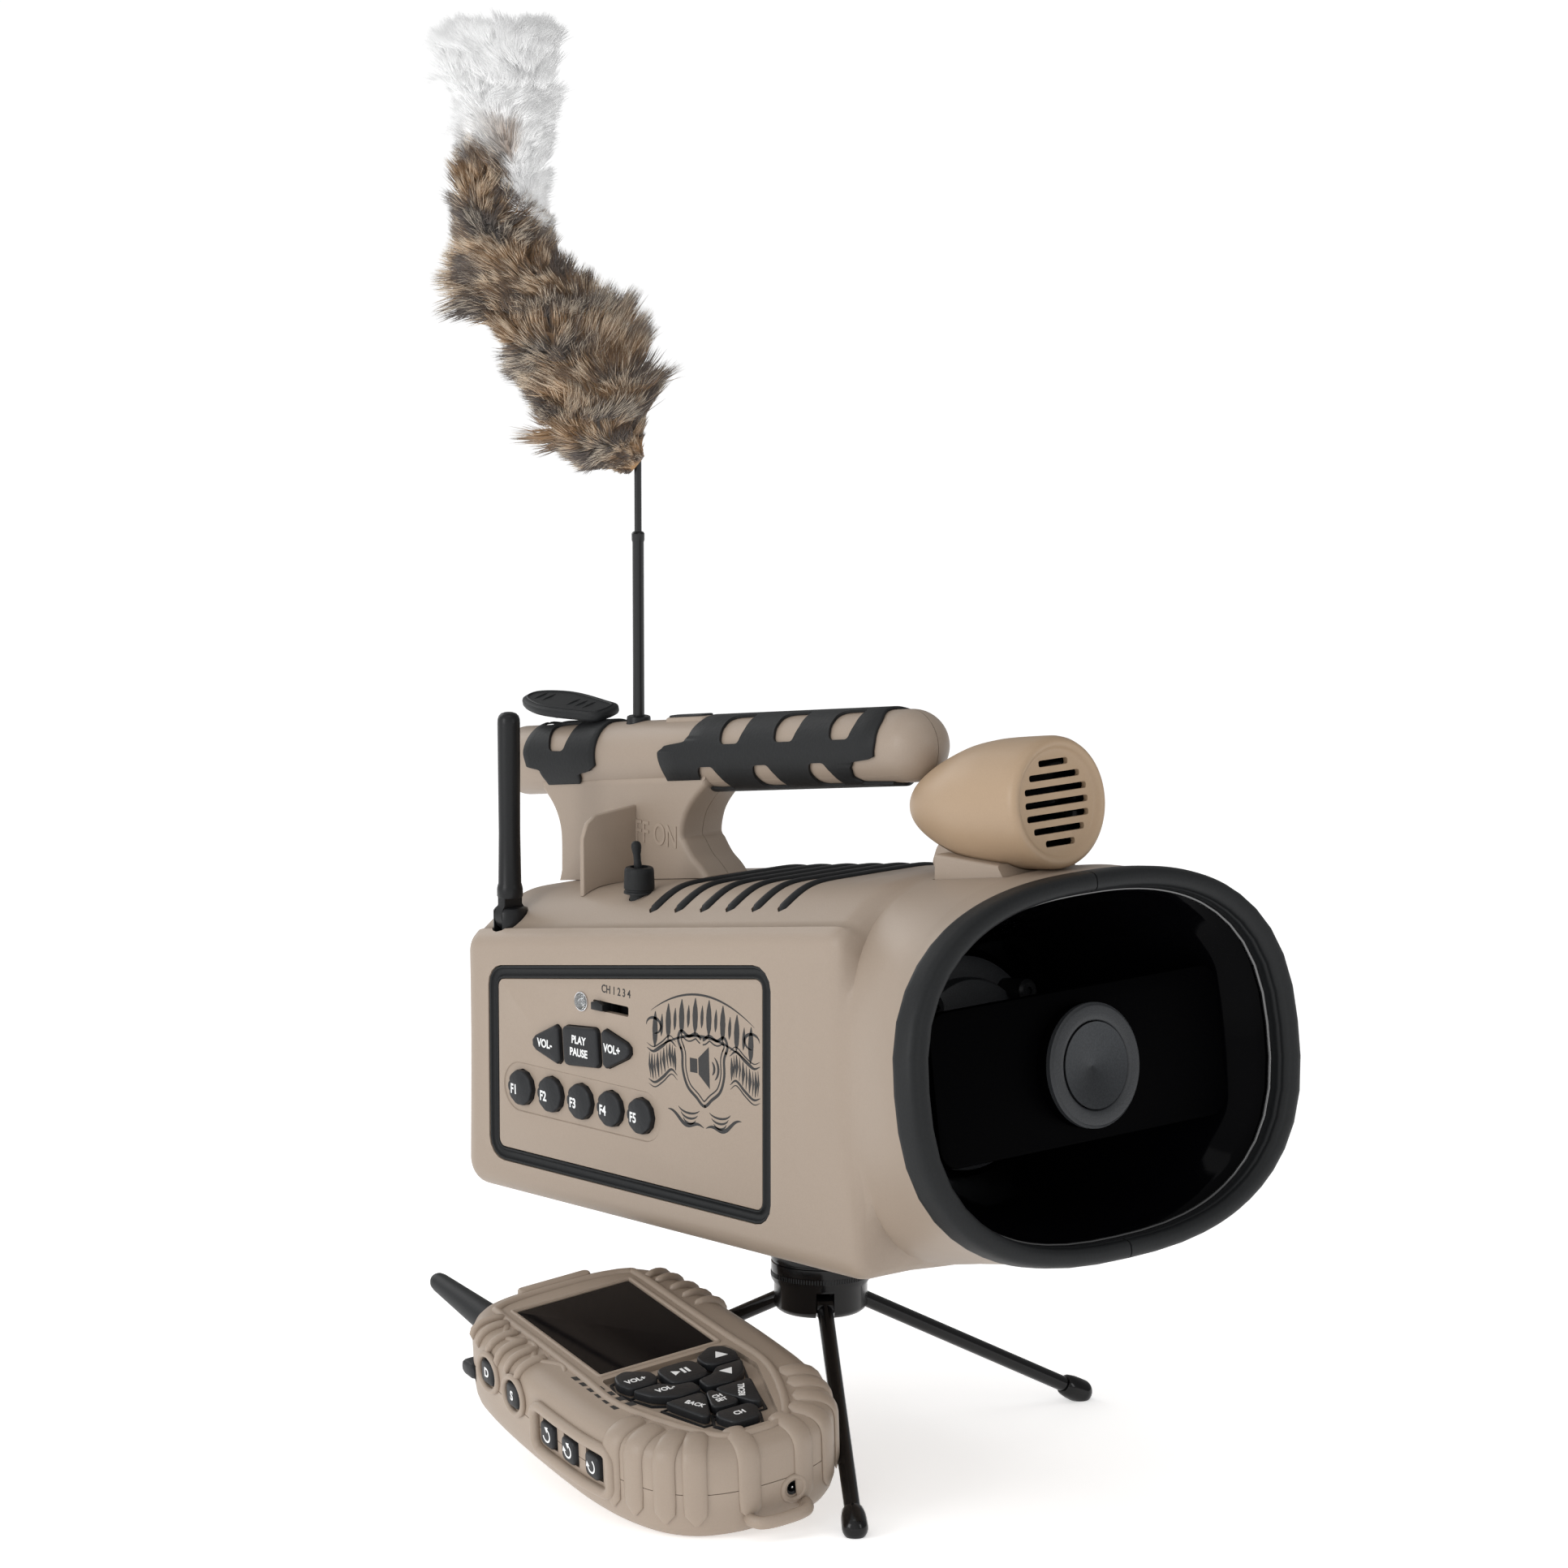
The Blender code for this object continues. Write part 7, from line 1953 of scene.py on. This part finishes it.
def on_face(points, lift=0.0):
    return [Vector((p[0], p[1], face_height(p[0], p[1]) + lift)) for p in points]


def make_remote_ridges(spot):
    beads = []
    for k in range(6):
        v = 33 - 8.2 * k
        for side, start in ((1, 12.0), (-1, 12.5)):
            if side < 0 or k < 5:
                path = over_edge(share_at(side, v), start, -12 if side > 0 else -8)
                beads.append(tube("bead", path, 2.3, 14, taper=0.3, flat=0.72, up=(0, 1, 0.2)))
    for v, side in ((-72, -1), (-84, -1), (-94.5, -1), (-103, -1), (-108.4, -1), (-108.0, 1),
                    (-102, 1), (-92.5, 1), (-81, 1), (-69, 1)):
        path = over_edge(share_at(side, v), 15, -33)
        beads.append(tube("pad", path, 4.3, 18, taper=0.12, flat=0.34,
                          up=outline_point(share_at(side, v))[1].to_3d() + Vector((0, 0, 0.9))))
    shield = [(0, 41.5), (16, 41), (26.5, 38.5), (29.2, 33), (29.5, 0), (30, -30), (30.5, -54),
              (25, -74), (15.5, -94), (8, -99.5), (0, -100.4)]
    shield += [(-u, v) for u, v in reversed(shield[1:-1])]
    path = on_face(smooth(shield, 6, True), -0.2)
    beads.append(tube("bead", path, 1.7, 14, closed=True, flat=0.8, up=(0, 0, 1)))
    frame_line = rounded_outline(rectangle(-SCREEN_HALF_U - 1.5, -SCREEN_HALF_V - 1.2,
                                           SCREEN_HALF_U + 1.5, SCREEN_HALF_V + 1.6), 1.2, 5)
    beads.append(tube("bead", [Vector((u, v, -0.1)) for u, v in resampled(frame_line, 3)], 0.9, 10,
                      closed=True, flat=0.8, up=(0, 0, 1)))
    middle, half_v, half_w = -48.0, 25.0, 8.6
    ring = rounded_outline(rectangle(middle - half_v, -16.5 - half_w, middle + half_v, -16.5 + half_w),
                           4.5, 8)
    path = [Vector((edge_at(v) - 1.0, v, w)) for v, w in resampled(ring, 2.5)]
    beads.append(tube("bead", path, 2.1, 14, closed=True, up=(1, 0, 0)))
    wave = on_face([(-34.0 - 2.6 * cos((v - 15) * 2 * pi / 21.5), v)
                    for v in np.linspace(29, -22, 46)], -0.3)
    beads.append(tube("bead", wave, 1.3, 12, taper=0.1, flat=0.8, up=(0, 0, 1)))
    for v in (15.0, -6.5):
        u = edge_at(v)
        ring = [Vector((u - 0.9, v + 7.0 * cos(a), -12 + 7.0 * sin(a)))
                for a in around(40)]
        beads.append(tube("bead", ring, 1.2, 12, closed=True, up=(1, 0, 0)))
    jack_ring = [Vector((9 + 4.4 * cos(a), REMOTE_END_V + 0.3, -21.8 + 4.4 * sin(a)))
                 for a in around(40)]
    beads.append(tube("bead", jack_ring, 1.1, 12, closed=True, up=(0, 1, 0)))
    loop_path = [(-11, 1.5), (-11.2, -1.5), (-9.5, -4.6), (-5.5, -6.0), (0, -6.3), (5.5, -6.0),
                 (9.5, -4.6), (11.2, -1.5), (11, 1.5)]
    lanyard = [Vector((p.x + 2, REMOTE_END_V + p.y, -28.5)) for p in smooth(loop_path, 5)]
    beads.append(tube("bead", lanyard, 2.1, 16, up=(0, 0, 1), flat=1.15))
    plaque = rounded_outline(rectangle(-15, 43.2, 15, 47.6), 2.1, 8)
    beads.append(stacked("plaque", plaque, ((0, -5), (0, 0.2), (0.3, 0.7), (0.9, 0.9))))
    detail(moved(together("ridges", beads), spot), "remote_ridges", TAN, "remote", 50)

    bars = []
    for k in range(6):
        tall = 3.2 + 1.1 * k
        v = -27.0 - 5.6 * k
        bars.append(plate("bar", [(-33.6, v), (-33.6 + tall, v - 1.2), (-33.6 + tall, v - 4.4),
                                  (-33.6, v - 3.2)], 0.02, 0.08))
    detail(moved(together("bars", bars), spot), "remote_level_print", DARK_INK, "remote")

    plug = turned("jack", [(0, -5.0), (1.6, -5.0), (1.8, -1.2), (2.7, -1.0), (2.7, -7), (0, -7)],
                  48, (9, REMOTE_END_V, -21.8), (0, -1, 0))
    pin = turned("pin", [(0, -0.8), (0.4, -1.0), (0.5, -1.6), (0.5, -6), (0, -6)], 24,
                 (9, REMOTE_END_V, -21.8), (0, -1, 0))
    detail(moved(plug, spot), "remote_jack", BLACK, "remote")
    detail(moved(pin, spot), "remote_jack_pin", METAL, "remote")


# ---------------------------------------------------------------- small caller details
def make_handle_details():
    pad_frame = pitched(-78.5, 0, handle_z(-78.5) + HANDLE_RADIUS - 1.2)
    outline = rounded_outline(rectangle(-12.5, -4.6, 12.5, 4.6), 3.0, 8)
    pad = stacked("pad", outline, ((0, -1.5), (0, 1.6), (0.3, 2.1), (1.0, 2.4)), pad_frame)
    detail(pad, "handle_top_pad", TAN)
    cap = stacked("cap", grown(outline, -1.4), ((0, 2.0), (0, 2.8), (0.3, 3.1), (0.8, 3.2)),
                  pad_frame)
    detail(cap, "handle_top_pad_insert", RUBBER)
    obj = text_piece("words", "OFF ON", 13.0, 0.1, 0.35, resolution=5)
    stand = (Matrix.Translation((-91.0, -POST_HALF_WIDTH - 0.05, 244.8))
             @ Matrix.Rotation(radians(90), 4, "X") @ Matrix.Diagonal((0.72, 1, 1, 1)))
    obj.data.transform(stand)
    detail(obj, "switch_lettering", TAN)


# ---------------------------------------------------------------- carried-over CAD nodes
def dress_cad_nodes():
    """The CAD pieces that still show, the rear cover and its door, are tan as well."""
    for node in frame["nodes"].values():
        if not node.hide_render:
            node.data.materials.clear()
            node.data.materials.append(TAN)


# ---------------------------------------------------------------- studio
def make_camera():
    turn, dip = CAMERA_TURN, CAMERA_DIP
    forward = Vector((-sin(turn) * cos(dip), cos(turn) * cos(dip), -sin(dip)))
    right = Vector((cos(turn), sin(turn), 0))
    up = right.cross(forward)
    place_at = AXIS - CAMERA_AWAY * forward - 0.015 * right + 0.2717 * up
    data = bpy.data.cameras.new("camera")
    data.lens = CAMERA_LENS
    data.sensor_width = 36
    camera = bpy.data.objects.new("camera", data)
    bpy.context.scene.collection.objects.link(camera)
    camera.matrix_world = (Matrix.Translation(place_at)
                           @ Matrix((right, up, -forward)).transposed().to_4x4())
    bpy.context.scene.camera = camera
    return forward, right


def area_light(name, place_at, aim, size, power, colour=(1, 1, 1)):
    data = bpy.data.lights.new(name, "AREA")
    data.shape = "RECTANGLE"
    data.size, data.size_y = size
    data.energy = power
    data.color = colour
    light = bpy.data.objects.new(name, data)
    bpy.context.scene.collection.objects.link(light)
    place_at, aim = Vector(place_at), Vector(aim)
    light.location = place_at
    light.rotation_euler = (aim - place_at).to_track_quat("-Z", "Y").to_euler()
    return light


def make_world():
    """White studio dome, brighter low on the panel side than overhead and behind."""
    world = bpy.data.worlds.new("studio")
    world.use_nodes = True
    nodes, links = world.node_tree.nodes, world.node_tree.links
    spot = nodes.new("ShaderNodeTexCoord")
    toward = nodes.new("ShaderNodeVectorMath")
    toward.operation = "DOT_PRODUCT"
    toward.inputs[1].default_value = Vector((-0.05, -1.0, 0.05)).normalized()
    links.new(spot.outputs["Generated"], toward.inputs[0])
    ramp = nodes.new("ShaderNodeMapRange")
    ramp.interpolation_type = "SMOOTHSTEP"
    ramp.inputs["From Min"].default_value = -0.7
    ramp.inputs["From Max"].default_value = 1.0
    ramp.inputs["To Min"].default_value = WORLD_LOW
    ramp.inputs["To Max"].default_value = WORLD_HIGH
    links.new(toward.outputs["Value"], ramp.inputs["Value"])
    links.new(ramp.outputs["Result"], nodes["Background"].inputs["Strength"])
    nodes["Background"].inputs["Color"].default_value = (1, 1, 1, 1)
    return world


def make_studio(forward, right):
    scene = bpy.context.scene
    scene.world = make_world()
    scene.view_settings.view_transform = "Standard"
    scene.view_settings.look = "None"
    aim = AXIS + Vector((0, 0, 0.2))
    back = -forward
    back.z = 0
    area_light("key", AXIS + back * 1.1 - right * 1.5 + Vector((0, 0, 0.75)), aim, (0.7, 0.9), 9)
    area_light("fill", AXIS + back * 1.2 + right * 1.4 + Vector((0, 0, 0.7)), aim, (0.35, 0.9), 3)
    area_light("top", AXIS + back * 0.3 + Vector((0, 0, 1.8)), aim, (1.0, 0.5), 1.5)
    area_light("rim", AXIS - back * 1.2 - right * 1.0 + Vector((0, 0, 0.9)), aim, (0.6, 1.0), 4)

    floor_data = bpy.data.meshes.new("floor")
    reach = 60.0
    floor_data.from_pydata([(-reach, -reach, 0), (reach, -reach, 0), (reach, reach, 0),
                            (-reach, reach, 0)], [], [(0, 1, 2, 3)])
    floor = bpy.data.objects.new("floor", floor_data)
    scene.collection.objects.link(floor)
    look = surface("floor_paper", (0.93, 0.93, 0.93), 0.9, 0.006, 0.02, 300.0)
    shader = look.node_tree.nodes["Principled BSDF"]
    shader.inputs["Emission Color"].default_value = (1, 1, 1, 1)
    shader.inputs["Emission Strength"].default_value = FLOOR_GLOW
    floor_data.materials.append(look)


def main():
    make_studio(*make_camera())
    for make in (make_case, make_ribs, make_horn, make_handle, make_grips, make_plug_cap,
                 make_handle_details, make_tweeter, make_decoy, make_toggle, make_antenna,
                 make_panel, make_tripod, make_rear_details, make_remote, dress_cad_nodes):
        make()


main()
